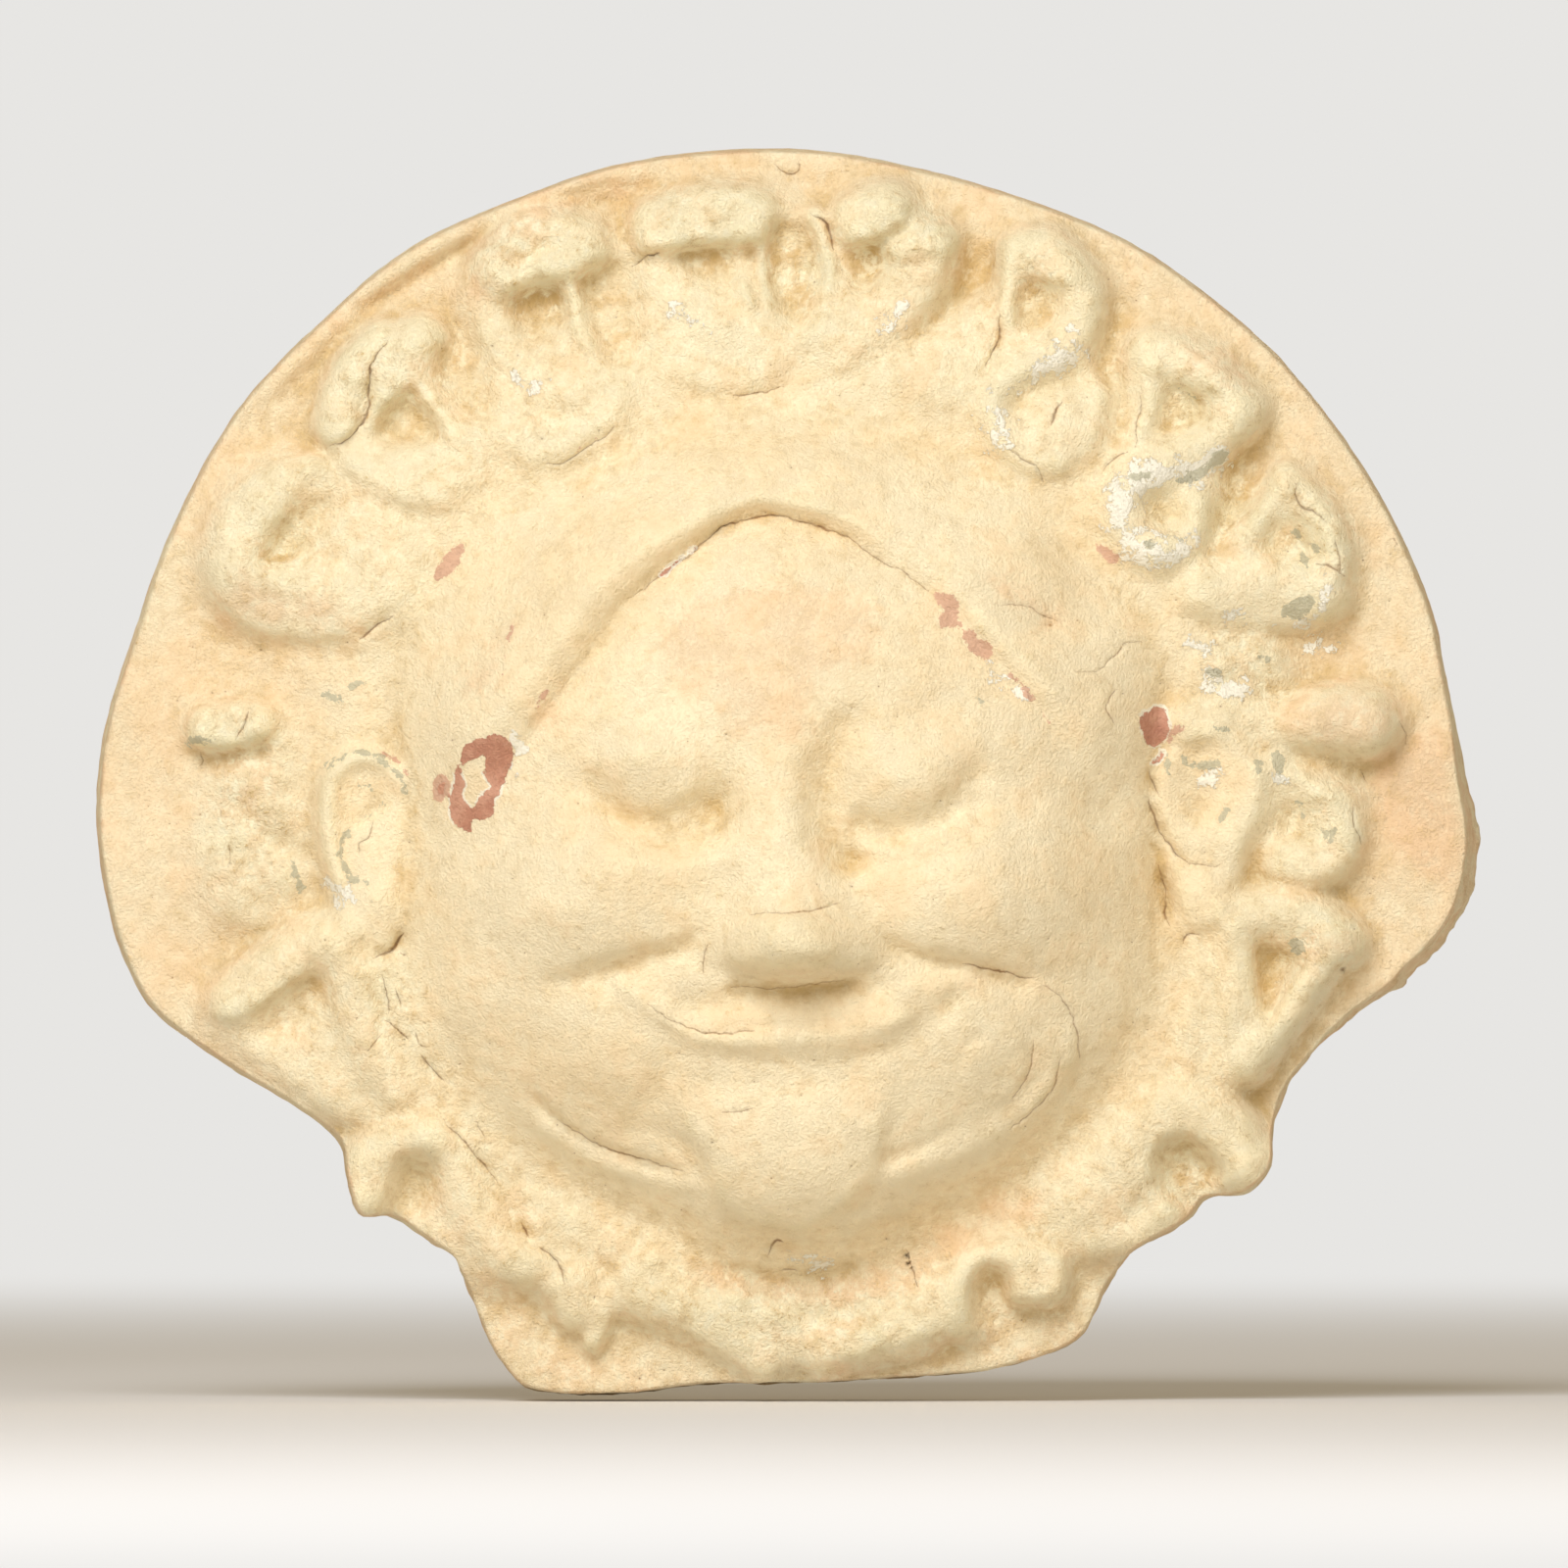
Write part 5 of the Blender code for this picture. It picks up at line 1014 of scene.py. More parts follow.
# %% Where the cracks run
CRACKS = [
    ([(-23, 25), (-20, 27), (-17, 29.5), (-14, 31.5), (-10, 35), (-6, 36.5), (-2, 37), (1, 36.2), (4, 35.3),
      (8, 34), (10, 32.5), (13, 30.5), (17, 28.5), (20, 26)], 0.31, 0.3),
    ([(-21, 26.2), (-18, 28.6), (-15, 30.8), (-13, 32.2)], 0.41, 0.35),
    ([(3, 80.5), (4.6, 79.6), (5.6, 78.4), (6.2, 77), (6.4, 75.2)], 0.34, 0.45),
    ([(-22.5, 73.2), (-20.6, 74.3), (-18.6, 74.8)], 0.31, 0.4),
    ([(-8, 54.3), (-4, 54.7), (-1, 55.4)], 0.2, 0.17),
    ([(-66, 47), (-63.6, 48), (-61, 51), (-60.4, 55), (-60, 59), (-57.6, 62)], 0.34, 0.45),
    ([(-35, 44.2), (-32, 44.6), (-30, 46), (-27, 48), (-25, 49.8)], 0.2, 0.17),
    ([(-61.8, 19.4), (-60.4, 20.2), (-58.8, 21.6), (-57, 22.6)], 0.34, 0.4),
    ([(-20.4, -33.2), (-17, -35.4), (-13.4, -37), (-9.4, -37.3), (-5, -37)], 0.22, 0.16),
    ([(-59.5, -26.5), (-57, -25.3), (-55.5, -23)], 0.48, 0.5),
    ([(-55.6, -26), (-55.1, -26.3)], 0.54, 0.35),
    ([(-58.5, -29), (-57.8, -32), (-57.5, -34.5)], 0.27, 0.25),
    ([(-56.5, -31), (-55.8, -33.5)], 0.24, 0.2),
    ([(-58, -35.5), (-55.5, -37.5), (-54.5, -38.5)], 0.27, 0.25),
    ([(-53.8, -37), (-53, -39), (-52.2, -39.2)], 0.24, 0.2),
    ([(-53, -40.5), (-51.5, -42.5), (-49.7, -44.3)], 0.34, 0.4),
    ([(-60.5, -40), (-58.5, -37.5)], 0.2, 0.15),
    ([(-45, -50), (-44, -52.5)], 0.2, 0.2),
    ([(-38.5, -65), (-37.5, -66.8)], 0.24, 0.25),
    ([(-35.8, -68.2), (-34, -69.8), (-33, -71), (-32.2, -73.5)], 0.37, 0.4),
    ([(-33.5, -50), (-30, -52), (-27, -53.7), (-23, -54.8), (-19, -56), (-15, -57.2)], 0.2, 0.17),
    ([(25, -27.2), (27, -27.8), (30, -28.4), (33, -29.3), (35, -29.4)], 0.24, 0.2),
    ([(36.6, -30.4), (39.4, -33), (41.3, -37), (41.6, -41)], 0.2, 0.14),
    ([(39.2, -41), (38, -45), (35, -48.6), (31.4, -51.4)], 0.2, 0.14),
    ([(35, -38), (34.6, -43), (32, -47)], 0.18, 0.1),
    ([(-5.5, -20.4), (0, -20), (3, -19.9), (7, -18.8)], 0.2, 0.12),
    ([(-11.7, -25), (-12.5, -27), (-12.3, -28.8)], 0.24, 0.2),
    ([(-8, -30.7), (-3, -30.9), (2, -30.3), (8, -29.8)], 0.2, 0.12),
    ([(-3, -69.3), (-2.4, -68), (-1.8, -67.2), (-0.8, -67.3)], 0.34, 0.3),
    ([(-9.5, -48.8), (-7.2, -48.7), (-5, -48.3)], 0.2, 0.12),
    ([(-1, -71.8), (0.2, -71.5), (1.5, -71.7)], 0.27, 0.2),
    ([(17, -68.6), (17.4, -70.4), (18, -72.4), (18.5, -74)], 0.27, 0.35),
    ([(51.7, 0.5), (52.3, -1.3), (53.2, -3.3)], 0.27, 0.3),
    ([(51.8, -3.8), (52, -5), (53, -7.5), (54.5, -10), (56, -12), (57.5, -13.3)], 0.44, 0.45),
    ([(57.5, -13.3), (59.6, -13.4), (62, -13.2)], 0.2, 0.15),
    ([(53.2, -13.5), (53.8, -16), (54.2, -19), (54.2, -20.5), (54.8, -22)], 0.31, 0.3),
    ([(56.8, -24.5), (57.3, -23.3), (59, -23.3)], 0.24, 0.2),
    ([(41, 14.6), (43, 14.6), (45, 15.1), (46.8, 16.8), (48.3, 18.6), (50.5, 18.7)], 0.2, 0.17),
    ([(30, 24.2), (34, 24), (36.5, 22.6), (38.5, 21.8)], 0.2, 0.15),
    ([(47, 12), (45.7, 9.5), (47, 7)], 0.2, 0.15),
    ([(28.3, 58.5), (29.3, 60.5), (30, 62), (30.5, 66)], 0.27, 0.35),
    ([(37.6, 50), (38.2, 51.6), (39.2, 53.3)], 0.27, 0.3),
    ([(31.5, 46.5), (34.5, 44.6), (36, 43.4), (36.5, 41.8)], 0.2, 0.2),
    ([(51, 55), (50.2, 50.4), (49.8, 47)], 0.2, 0.15),
    ([(48.5, 46), (46.5, 44.8), (45, 43)], 0.2, 0.15),
    ([(72.9, 41.3), (73, 39.5), (74, 38.3), (75.5, 37.4), (77.3, 36.2)], 0.34, 0.4),
    ([(78.5, 33.5), (79, 31), (79, 28.6)], 0.2, 0.2),
    ([(75.5, 30.4), (77.6, 29.6), (79.6, 28.4)], 0.27, 0.25),
    ([(87, 33.8), (87.8, 32.8)], 0.24, 0.2),
    ([(81.2, -4.5), (81.1, -7), (82.3, -10.3)], 0.27, 0.35),
    ([(82.5, 0.5), (83.2, -1.5)], 0.24, 0.25),
    ([(88, 7.5), (88.8, 5.6), (88.6, 4.2)], 0.2, 0.15),
    ([(-59.8, -6.9), (-60.3, -9), (-61.8, -10), (-62, -11.8)], 0.2, 0.15),
    ([(-84.9, 2.8), (-84.4, 1.7), (-85.1, 1)], 0.34, 0.3),
    ([(-79.6, 5), (-78.6, 6.6), (-77.6, 8.8)], 0.24, 0.3),
    ([(-80.6, -10), (-80.4, -12), (-80.8, -13.4)], 0.2, 0.15),
    ([(-49.5, -50), (-45, -55), (-42, -59)], 0.2, 0.2),
    ([(-2, 87.6), (-0.2, 86.3), (1.4, 86.6), (1.5, 88)], 0.24, 0.25),
]
print("cracks:", len(CRACKS))

# %% [markdown]
# A crack wanders from side to side, opens unevenly, and narrows and runs out at both ends. The larger pits
# have places of their own, the many small ones are strewn by chance.

# %% Rows and rings of points
PITS = [(17, -69.4, 0.7, 1.2), (17.2, -70.6, 0.6, 1.1), (79.7, -28.3, 1.0, 1.2), (-39, 60, 0.3, 0.4),
        (-35.5, 48, 0.35, 0.4), (-83, 11.5, 0.3, 0.4), (-76, 17.7, 0.35, 0.5), (-84.7, -17.8, 0.3, 0.4),
        (21.7, -4, 0.3, 0.3), (23.2, -4.5, 0.25, 0.3), (9, 9.3, 0.25, 0.3), (15.5, 8, 0.25, 0.3),
        (9.5, 5.8, 0.25, 0.3), (-8.5, -1.3, 0.3, 0.3), (4, -16, 0.3, 0.3), (9, -16.3, 0.3, 0.35),
        (-14.5, 4.5, 0.25, 0.3), (-9, 5.5, 0.25, 0.3), (-5, -44.3, 0.3, 0.3), (-11, -53, 0.3, 0.35),
        (-28, -52.5, 0.25, 0.3), (14, -67, 0.35, 0.4), (-21.5, -87.2, 0.4, 0.5), (-18, -86, 0.3, 0.4),
        (37.5, 21.2, 0.6, 0.5), (46, 71, 0.3, 0.3), (50, 68, 0.3, 0.3), (92, 8, 0.3, 0.4)]
LOOSE_PITS = 260
PIT_SEED = 11
PIT_SIDES = 6
LEAST_PIT = 0.14
PIT_SPREAD = 0.22
PIT_DEPTH = 0.9
PITTED_OUT_TO = 0.95
CRACK_STEP = 0.38
CRACK_SHAKE = [(0.7, 0.16, 21), (2.1, 0.22, 23)]
CRACK_UNEVEN = [(1.1, 0.55, 22)]


def crack_rows(points, width):
    """Points along the bottom of a crack, the steps to its lips, half its width and how deep it is there."""
    line = curve(points)
    legs = np.hypot(*np.diff(line, axis=0).T)
    start = np.concatenate([[0.0], np.cumsum(legs)])
    places = np.linspace(0.0, start[-1], max(4, int(start[-1] / CRACK_STEP)))
    middle = np.column_stack([np.interp(places, start, line[:, k]) for k in (0, 1)])
    shake = clouds(*middle.T, CRACK_SHAKE)
    run = np.gradient(middle, axis=0)
    across = np.column_stack([-run[:, 1], run[:, 0]]) / np.hypot(run[:, 0], run[:, 1])[:, None]
    middle = middle + across * shake[:, None]
    taper = np.sqrt(np.clip(np.sin(np.pi * places / start[-1]), 0.0, 1.0))
    uneven = 1.0 + clouds(*middle.T, CRACK_UNEVEN)
    open_by = width * 0.5 * (0.3 + 0.7 * taper) * uneven
    return middle, across * open_by[:, None], open_by, taper * uneven


def pit_ring(x, z, radius):
    """Points round the lip of a pit."""
    turn = np.linspace(0, 2 * np.pi, PIT_SIDES, endpoint=False) + x
    return np.column_stack([x + radius * np.cos(turn), z + 0.8 * radius * np.sin(turn)])


def loose_pits():
    """Small pits strewn over the whole front, each with a place, a radius and a depth."""
    rng = np.random.default_rng(PIT_SEED)
    found = []
    while len(found) < LOOSE_PITS:
        x, z = rng.uniform(-98, 98), rng.uniform(-86, 88)
        radius = LEAST_PIT + PIT_SPREAD * rng.random() ** 2
        out, _ = outward(np.array([x]), np.array([z]), OUTLINE, OUTLINE_CENTRE)
        if out[0] < PITTED_OUT_TO:
            found.append((x, z, radius, PIT_DEPTH * radius))
    return found


pits = PITS + loose_pits()
print("pits:", len(pits))

# %% [markdown]
# ## One skin of triangles
# The front is a triangular lattice joined to the edge, the cracks and the pits by one Delaunay
# triangulation. Behind it the side wall runs back in rows: round at the arris, straight where it was cut,
# ragged where it broke. The hidden back is flat, wiped smooth, and needs few faces.

# %% Lattice and facets
LATTICE = 0.66
EDGE_STEP = 0.85
CLEAR = 0.42
EDGE_CLEAR = 0.5
KEEP_INSIDE = 1
SAME_PLACE = 1e-7


def even_ring(line, step):
    """A closed line with its points set at even steps, and the way round to each of them."""
    loop = np.vstack([line, line[:1]])
    start = np.concatenate([[0.0], np.cumsum(np.hypot(*np.diff(loop, axis=0).T))])
    places = np.linspace(0.0, start[-1], int(start[-1] / step), endpoint=False)
    return np.column_stack([np.interp(places, start, loop[:, k]) for k in (0, 1)]), places


def drawn_in(outline, distance):
    """The outline with each point moved towards the middle by its distance."""
    spoke = outline - OUTLINE_CENTRE
    kept = 1.0 - distance / np.hypot(spoke[:, 0], spoke[:, 1])
    return OUTLINE_CENTRE + spoke * kept[:, None]


def lattice(step, edge, clear):
    """A triangular lattice over the plate, kept clear of its edge."""
    x, z = np.meshgrid(np.arange(-SHEET_ACROSS / 2, SHEET_ACROSS / 2, step),
                       np.arange(-SHEET_UP / 2, SHEET_UP / 2, step * math.sqrt(3.0)))
    even = np.column_stack([x.ravel(), z.ravel()])
    every = np.vstack([even, even + [step / 2, step * math.sqrt(0.75)]])
    out, reach_there = outward(every[:, 0], every[:, 1], edge, OUTLINE_CENTRE)
    return every[(1.0 - out) * reach_there > clear]


def clear_of(points, taken, clear):
    """The points that keep their distance from those already taken."""
    low = taken.min(axis=0) - 1.0
    key = np.floor((taken - low) / clear).astype(int)
    width = key[:, 0].max() + 3
    held = {}
    for name, place in zip(key[:, 0] + key[:, 1] * width, taken):
        held.setdefault(int(name), []).append(place)
    own = np.floor((points - low) / clear).astype(int)
    keep = np.ones(len(points), bool)
    for k, (column, row) in enumerate(own):
        for dx in (-1, 0, 1):
            for dz in (-1, 0, 1):
                for place in held.get(int(column + dx + (row + dz) * width), ()):
                    if math.hypot(points[k, 0] - place[0], points[k, 1] - place[1]) < clear:
                        keep[k] = False
    return points[keep]


def facets(points, edge_count):
    """Triangles between the points, inside the ring that the first of them make."""
    ring = [(k, (k + 1) % edge_count) for k in range(edge_count)]
    _, _, faces, origins, _, _ = delaunay_2d_cdt(points.tolist(), ring, [], KEEP_INSIDE, SAME_PLACE)
    came_from = np.array([origin[0] for origin in origins])
    return came_from[np.array(faces)]


def read(grid, points):
    """Values of a sampled grid at points of the sheet."""
    place = (points - GRID_LOW) / SHEET_STEP
    cell = np.floor(place).astype(int)
    share = place - cell
    column = np.clip(cell[:, 0], 0, grid.shape[1] - 2)
    row = np.clip(cell[:, 1], 0, grid.shape[0] - 2)
    low = grid[row, column] * (1 - share[:, 0]) + grid[row, column + 1] * share[:, 0]
    high = grid[row + 1, column] * (1 - share[:, 0]) + grid[row + 1, column + 1] * share[:, 0]
    return low * (1 - share[:, 1]) + high * share[:, 1]


# %% [markdown]
# The front starts with its edge. The plate's side leans in a little towards the front, most low on the
# right where it is chipped, so the front edge lies that much inside the outline.

# %% Points of the front
ARRIS = 1.5
ARRIS_LEAN = 0.45
DRAFT_TURNS = [-152, -132, -112, -68, -46, -24, -14, -4, 8, 40, 140, 168]
DRAFTS = [0.8, 0.7, 0.4, 0.4, 0.7, 0.7, 2.6, 2.6, 0.8, 0.6, 0.6, 0.8]

back_ring, ring_places = even_ring(curve(OUTLINE, 6, closed=True), EDGE_STEP)
ring_turn = np.degrees(np.arctan2(back_ring[:, 1] - OUTLINE_CENTRE[1], back_ring[:, 0] - OUTLINE_CENTRE[0]))
draft = np.interp(ring_turn, DRAFT_TURNS, DRAFTS, period=360)
edge = drawn_in(back_ring, draft + ARRIS_LEAN * ARRIS)
middles, lips, sunk = [], [], []
crack_lines = []
for points, width, depth in CRACKS:
    middle, step, open_by, taper = crack_rows(points, width)
    middles.append(middle)
    sunk.append(depth * taper)
    lips += [middle + step, middle - step]
    crack_lines.append((middle, open_by))
for x, z, radius, depth in pits:
    middles.append(np.array([[x, z]]))
    sunk.append(np.array([depth]))
    lips.append(pit_ring(x, z, radius))
middles = np.vstack(middles)
sunk = np.concatenate(sunk)
lips = np.vstack(lips)
features = np.vstack([middles, lips])
cells = clear_of(lattice(LATTICE, edge, EDGE_CLEAR), features, CLEAR)
front = np.vstack([edge, middles, lips, cells])
front_height = read(height_grid, front)
front_height[len(edge):len(edge) + len(middles)] -= sunk
front_faces = facets(front, len(edge))
print("front:", len(front), "points,", len(front_faces), "triangles")

# %% [markdown]
# The wall's rows start at the front edge. Each knows how far it has come round the arris or down the side.
# The bite taken out of the ragged stretches grows from nothing there to its full depth halfway down the
# side.

# %% Side wall and back
BACK_ARRIS = 0.7
BACK_EASE = 0.35
BACK_LATTICE = 4.0
BACK_CLEAR = 2.0
ARRIS_ROWS = 3
WALL_ROWS = 9
ARRIS_BITE = 0.35
WALL_BITE = 0.65
BACK_BITE = 0.8
BITES = [(3.2, 1.0, 31), (1.5, 0.6, 32)]
ROUGH_TURNS = [-170, -150, -140, -40, -26, -16, -4, 6]
ROUGHNESS = [0.15, 0.3, 0.6, 0.6, 0.8, 1.6, 1.2, 0.15]
WIPED = 0.10
WIPED_SIZE = 7.0
WIPED_ALONG = 0.4
WIPED_SEED = 41

ring_count = len(back_ring)
edge_depth = PLATE + front_height[:ring_count]
rough = np.interp(ring_turn, ROUGH_TURNS, ROUGHNESS, period=360)


def wall_row(inset, depth, bite):
    """One ring of points of the side wall, drawn in by its inset and bitten into where the edge is broken."""
    ragged = clouds(ring_places, depth * 1.2, BITES)
    place = drawn_in(back_ring, inset + bite * rough * (0.5 + 0.5 * ragged))
    return np.column_stack([place[:, 0], -depth, place[:, 1]])


def arris_row(share):
    """A row that far round the rounded front edge."""
    turn = 0.5 * math.pi * share
    inset = draft + ARRIS_LEAN * ARRIS * (1 - math.sin(turn))
    return wall_row(inset, edge_depth - ARRIS * (1 - math.cos(turn)), ARRIS_BITE * share)


def side_row(share):
    """A row that far down the straight side."""
    depth = (edge_depth - ARRIS) * (1 - share) + BACK_ARRIS * share
    return wall_row(draft * (1 - share), depth, ARRIS_BITE + WALL_BITE * math.sin(math.pi * min(share, 0.7)))


rows = [arris_row(k / ARRIS_ROWS) for k in range(1, ARRIS_ROWS + 1)]
rows += [side_row(k / WALL_ROWS) for k in range(1, WALL_ROWS + 1)]
eased = np.full(ring_count, BACK_ARRIS * BACK_EASE)
rows.append(wall_row(eased, eased, BACK_BITE))
rows.append(wall_row(np.full(ring_count, BACK_ARRIS), np.zeros(ring_count), BACK_BITE))
back_edge = rows[-1][:, [0, 2]]
back_points = np.vstack([back_edge, lattice(BACK_LATTICE, back_edge, BACK_CLEAR)])
back_faces = facets(back_points, ring_count)
wiped = WIPED * (1 + cloud(back_points[:, 0] * WIPED_ALONG, back_points[:, 1], WIPED_SIZE, WIPED_SEED))
wiped[:ring_count] = 0.0
print("wall rows:", len(rows), " back:", len(back_faces), "triangles")

# %% [markdown]
# All of it goes into one mesh, in metres. The sheet's units are scaled by the solid's own box, so that the
# skin lies on the solid whatever its size.

# %% One mesh
spread = np.ptp(back_ring, axis=0)
UNIT_ACROSS = (cad_high.x - cad_low.x) / spread[0]
UNIT_UP = (cad_high.z - cad_low.z) / spread[1]
UNIT_OUT = -cad_low.y / (PLATE + float(height_grid.max()))
FOOT_UP = cad_low.z - back_ring[:, 1].min() * UNIT_UP
SIDE_OVER = cad_low.x - back_ring[:, 0].min() * UNIT_ACROSS


def to_metres(points):
    """Places of the sheet as places of the frame."""
    return points * [UNIT_ACROSS, UNIT_OUT, UNIT_UP] + [SIDE_OVER, 0.0, FOOT_UP]


def skin_mesh():
    """Front, wall and back as one closed mesh, and the places where the wall and the back start."""
    face = np.column_stack([front[:, 0], -PLATE - front_height, front[:, 1]])
    middle = np.column_stack([back_points[:, 0], -wiped, back_points[:, 1]])[ring_count:]
    points = np.vstack([face] + rows + [middle])
    ring = np.arange(ring_count)
    starts = [0] + [len(face) + k * ring_count for k in range(len(rows))]
    faces = [front_faces]
    after = (ring + 1) % ring_count
    for this, behind in zip(starts[:-1], starts[1:]):
        faces.append(np.column_stack([this + ring, behind + ring, behind + after]))
        faces.append(np.column_stack([this + ring, behind + after, this + after]))
    inner = back_faces + len(points) - len(back_points)
    wiped_faces = np.where(back_faces < ring_count, back_faces + starts[-1], inner)
    faces.append(wiped_faces[:, ::-1])
    faces = np.vstack(faces)
    mesh = bpy.data.meshes.new("antefix skin")
    mesh.from_pydata(to_metres(points).tolist(), [], faces.tolist())
    return mesh, len(face), len(face) + len(rows) * ring_count


skin, wall_start, back_start = skin_mesh()
print("skin:", len(skin.vertices), "points,", len(skin.polygons), "triangles")

# %% [markdown]
# ## Where the paint, the dirt and the painted shade are
# Traces of paint are left: red on the hairline, blue grey round the ears and in the curls, and flakes of
# the white ground under it. Each patch is outlined here, and every point of the skin stores how far inside
# its patch it lies. The material cuts that distance off sharply, so an edge is crisper than the mesh is
# fine.

# %% Red paint
RED_AREAS = [
    [(-47, 2.2), (-46.5, 4), (-44.5, 4.8), (-42, 5.6), (-40.5, 4.8), (-39.3, 2.8), (-40, 1), (-40.8, -1.5),
     (-42, -3.5), (-42.2, -5.5), (-44, -6.8), (-45.3, -6.8), (-45.6, -8.6), (-47.3, -7.8), (-48.8, -5.8),
     (-48.6, -3.4), (-48.2, -1.5), (-47.6, 0.5)],
    [(-50.4, -1.9), (-49.4, -1.4), (-49.5, -3), (-50.3, -3.2)],
    [(50.5, 8.6), (51.5, 8.9), (53.2, 9.6), (54.4, 8.6), (54.6, 6.6), (54, 4.8), (52.5, 3.8), (51.2, 4.2),
     (50.8, 5.8)],
]
RED_HOLES = [
    [(-47, 1.2), (-44.5, 2), (-43.6, 2.3), (-43.8, -0.2), (-42.8, -2), (-44.2, -3.3), (-45.2, -4.8),
     (-47, -3.6), (-46.6, -1.8), (-47, 0)],
]
RED_STROKES = [
    ([(52.4, 1.4), (53.2, 2), (53.8, 2.9)], 0.6),
    ([(-18.4, 28.4), (-16.6, 29.8), (-14.9, 31.2), (-13.6, 32.2)], 0.45),
]
PINK_AREAS = [
    [(-51.2, 28), (-50, 30.4), (-48.4, 32.4), (-46.8, 32.8), (-46.8, 31), (-48, 29.2), (-49.4, 28.2)],
    [(-51.2, -0.8), (-48.8, -0.6), (-48.7, -3), (-50, -4.2), (-51, -3)],
    [(21, 25.6), (22.8, 25.9), (24.2, 24.3), (24.3, 22.6), (25.8, 20.9), (27.2, 19.4), (29.3, 18.5),
     (29.1, 17), (28.2, 16.4), (26.6, 17), (24.9, 18.9), (24.6, 20.4), (22, 20.8), (21.3, 22.1), (22, 23)],
]
PINK_STROKES = [
    ([(54.8, 4.5), (55.4, 5.9), (56.5, 6.3)], 0.8),
    ([(31.6, 14.2), (33.4, 12.6), (35, 10.6)], 0.7),
    ([(-58.5, 2.6), (-56.6, 2), (-55, 0)], 0.6),
    ([(36.4, 8.6), (37.4, 7.6)], 0.8),
    ([(-36, 10), (-34.4, 12)], 0.8),
    ([(44.6, 32.4), (46.6, 30.8)], 1.4),
    ([(-30.6, 46), (-27.6, 48.4)], 0.5),
    ([(-41.4, 14), (-40.6, 18), (-39.8, 21)], 0.5),
]
print("red and pink:", len(RED_AREAS + PINK_AREAS), "areas,", len(RED_STROKES + PINK_STROKES), "strokes")

# %% [markdown]
# The blue grey is duller and thinner than the red. It has worn down to thin lines in the folds and small
# patches, so most of it is drawn as strokes with a width.

# %% Blue-grey paint
SLATE_STROKES = [
    ([(-66.4, 0.8), (-65.2, 1.7)], 1.0),
    ([(-64.8, 1.9), (-62.5, 3), (-60, 2.6), (-57.8, 1.3), (-56, -0.4), (-55, -2.8)], 0.9),
    ([(-58, -3.9), (-59, -5.4), (-61.5, -6.8), (-63.6, -8.6), (-64.5, -11), (-64.2, -13), (-63, -15),
      (-61, -15.8)], 0.85),
    ([(-61.8, -2.2), (-60.4, -2)], 0.7),
    ([(-56.7, -8.6), (-56.2, -8.2)], 0.7),
    ([(-71.2, -12.8), (-70.8, -15), (-70.2, -16.8)], 1.2),
    ([(72.4, 34.7), (73.3, 33.5), (74, 31), (74.5, 29.5)], 0.8),
    ([(75.7, 32.6), (75.9, 32.2)], 0.7),
    ([(54.6, 2.8), (54.4, 0.8), (55.4, -0.9)], 0.7),
    ([(56.8, 2), (57.3, 1), (59, 0.9), (61.6, 1.4)], 0.9),
    ([(60.5, 7), (63.4, 5.9)], 0.4),
    ([(62.8, -5.6), (62.3, -7)], 0.5),
    ([(73.2, -4.1), (74, -6.2)], 0.7),
    ([(67.5, 1.5), (67.5, 0.1)], 1.0),
    ([(27.2, 10.2), (28, 10)], 0.6),
    ([(-86.4, 4.5), (-84.5, 4.6), (-82.5, 4.2)], 1.0),
    ([(56, 55.2), (58, 54.2)], 0.8),
]
SLATE_AREAS = [
    [(-67.7, 11), (-66.1, 12.4), (-64.1, 10.3)],
    [(-63.3, 11.9), (-63, 12.9), (-60.8, 13.4)],
    [(70.6, 22.8), (72.5, 24.8), (74.6, 26), (75.8, 24.4), (74.4, 22.6), (72.4, 22)],
    [(60.2, 14.8), (61.8, 15), (62.6, 14), (60.8, 13.6)],
    [(67.5, 16.6), (69.3, 16.8), (68.8, 15.8)],
    [(75.7, -8.5), (77, -8), (78.6, -8.2), (77.9, -10.2), (77, -9.8)],
    [(72, -24.4), (74.3, -23.4), (74, -25.6), (72.6, -25.8)],
    [(69, 2.8), (71, 2.8), (71.3, 0.6), (70, 0.2)],
    [(54.4, 42), (58.6, 43.6), (61.4, 46), (63, 45.8), (60.6, 42.8), (57, 41.4)],
    [(48.6, 42.6), (51.6, 43.2), (52.4, 42.2), (50, 41.8)],
    [(50.4, 32.4), (51.4, 34), (52.8, 33.2), (52, 31.4)],
    [(56.2, 33.4), (57.4, 35), (57.2, 32.8)],
]
print("blue grey:", len(SLATE_AREAS), "areas,", len(SLATE_STROKES), "strokes")
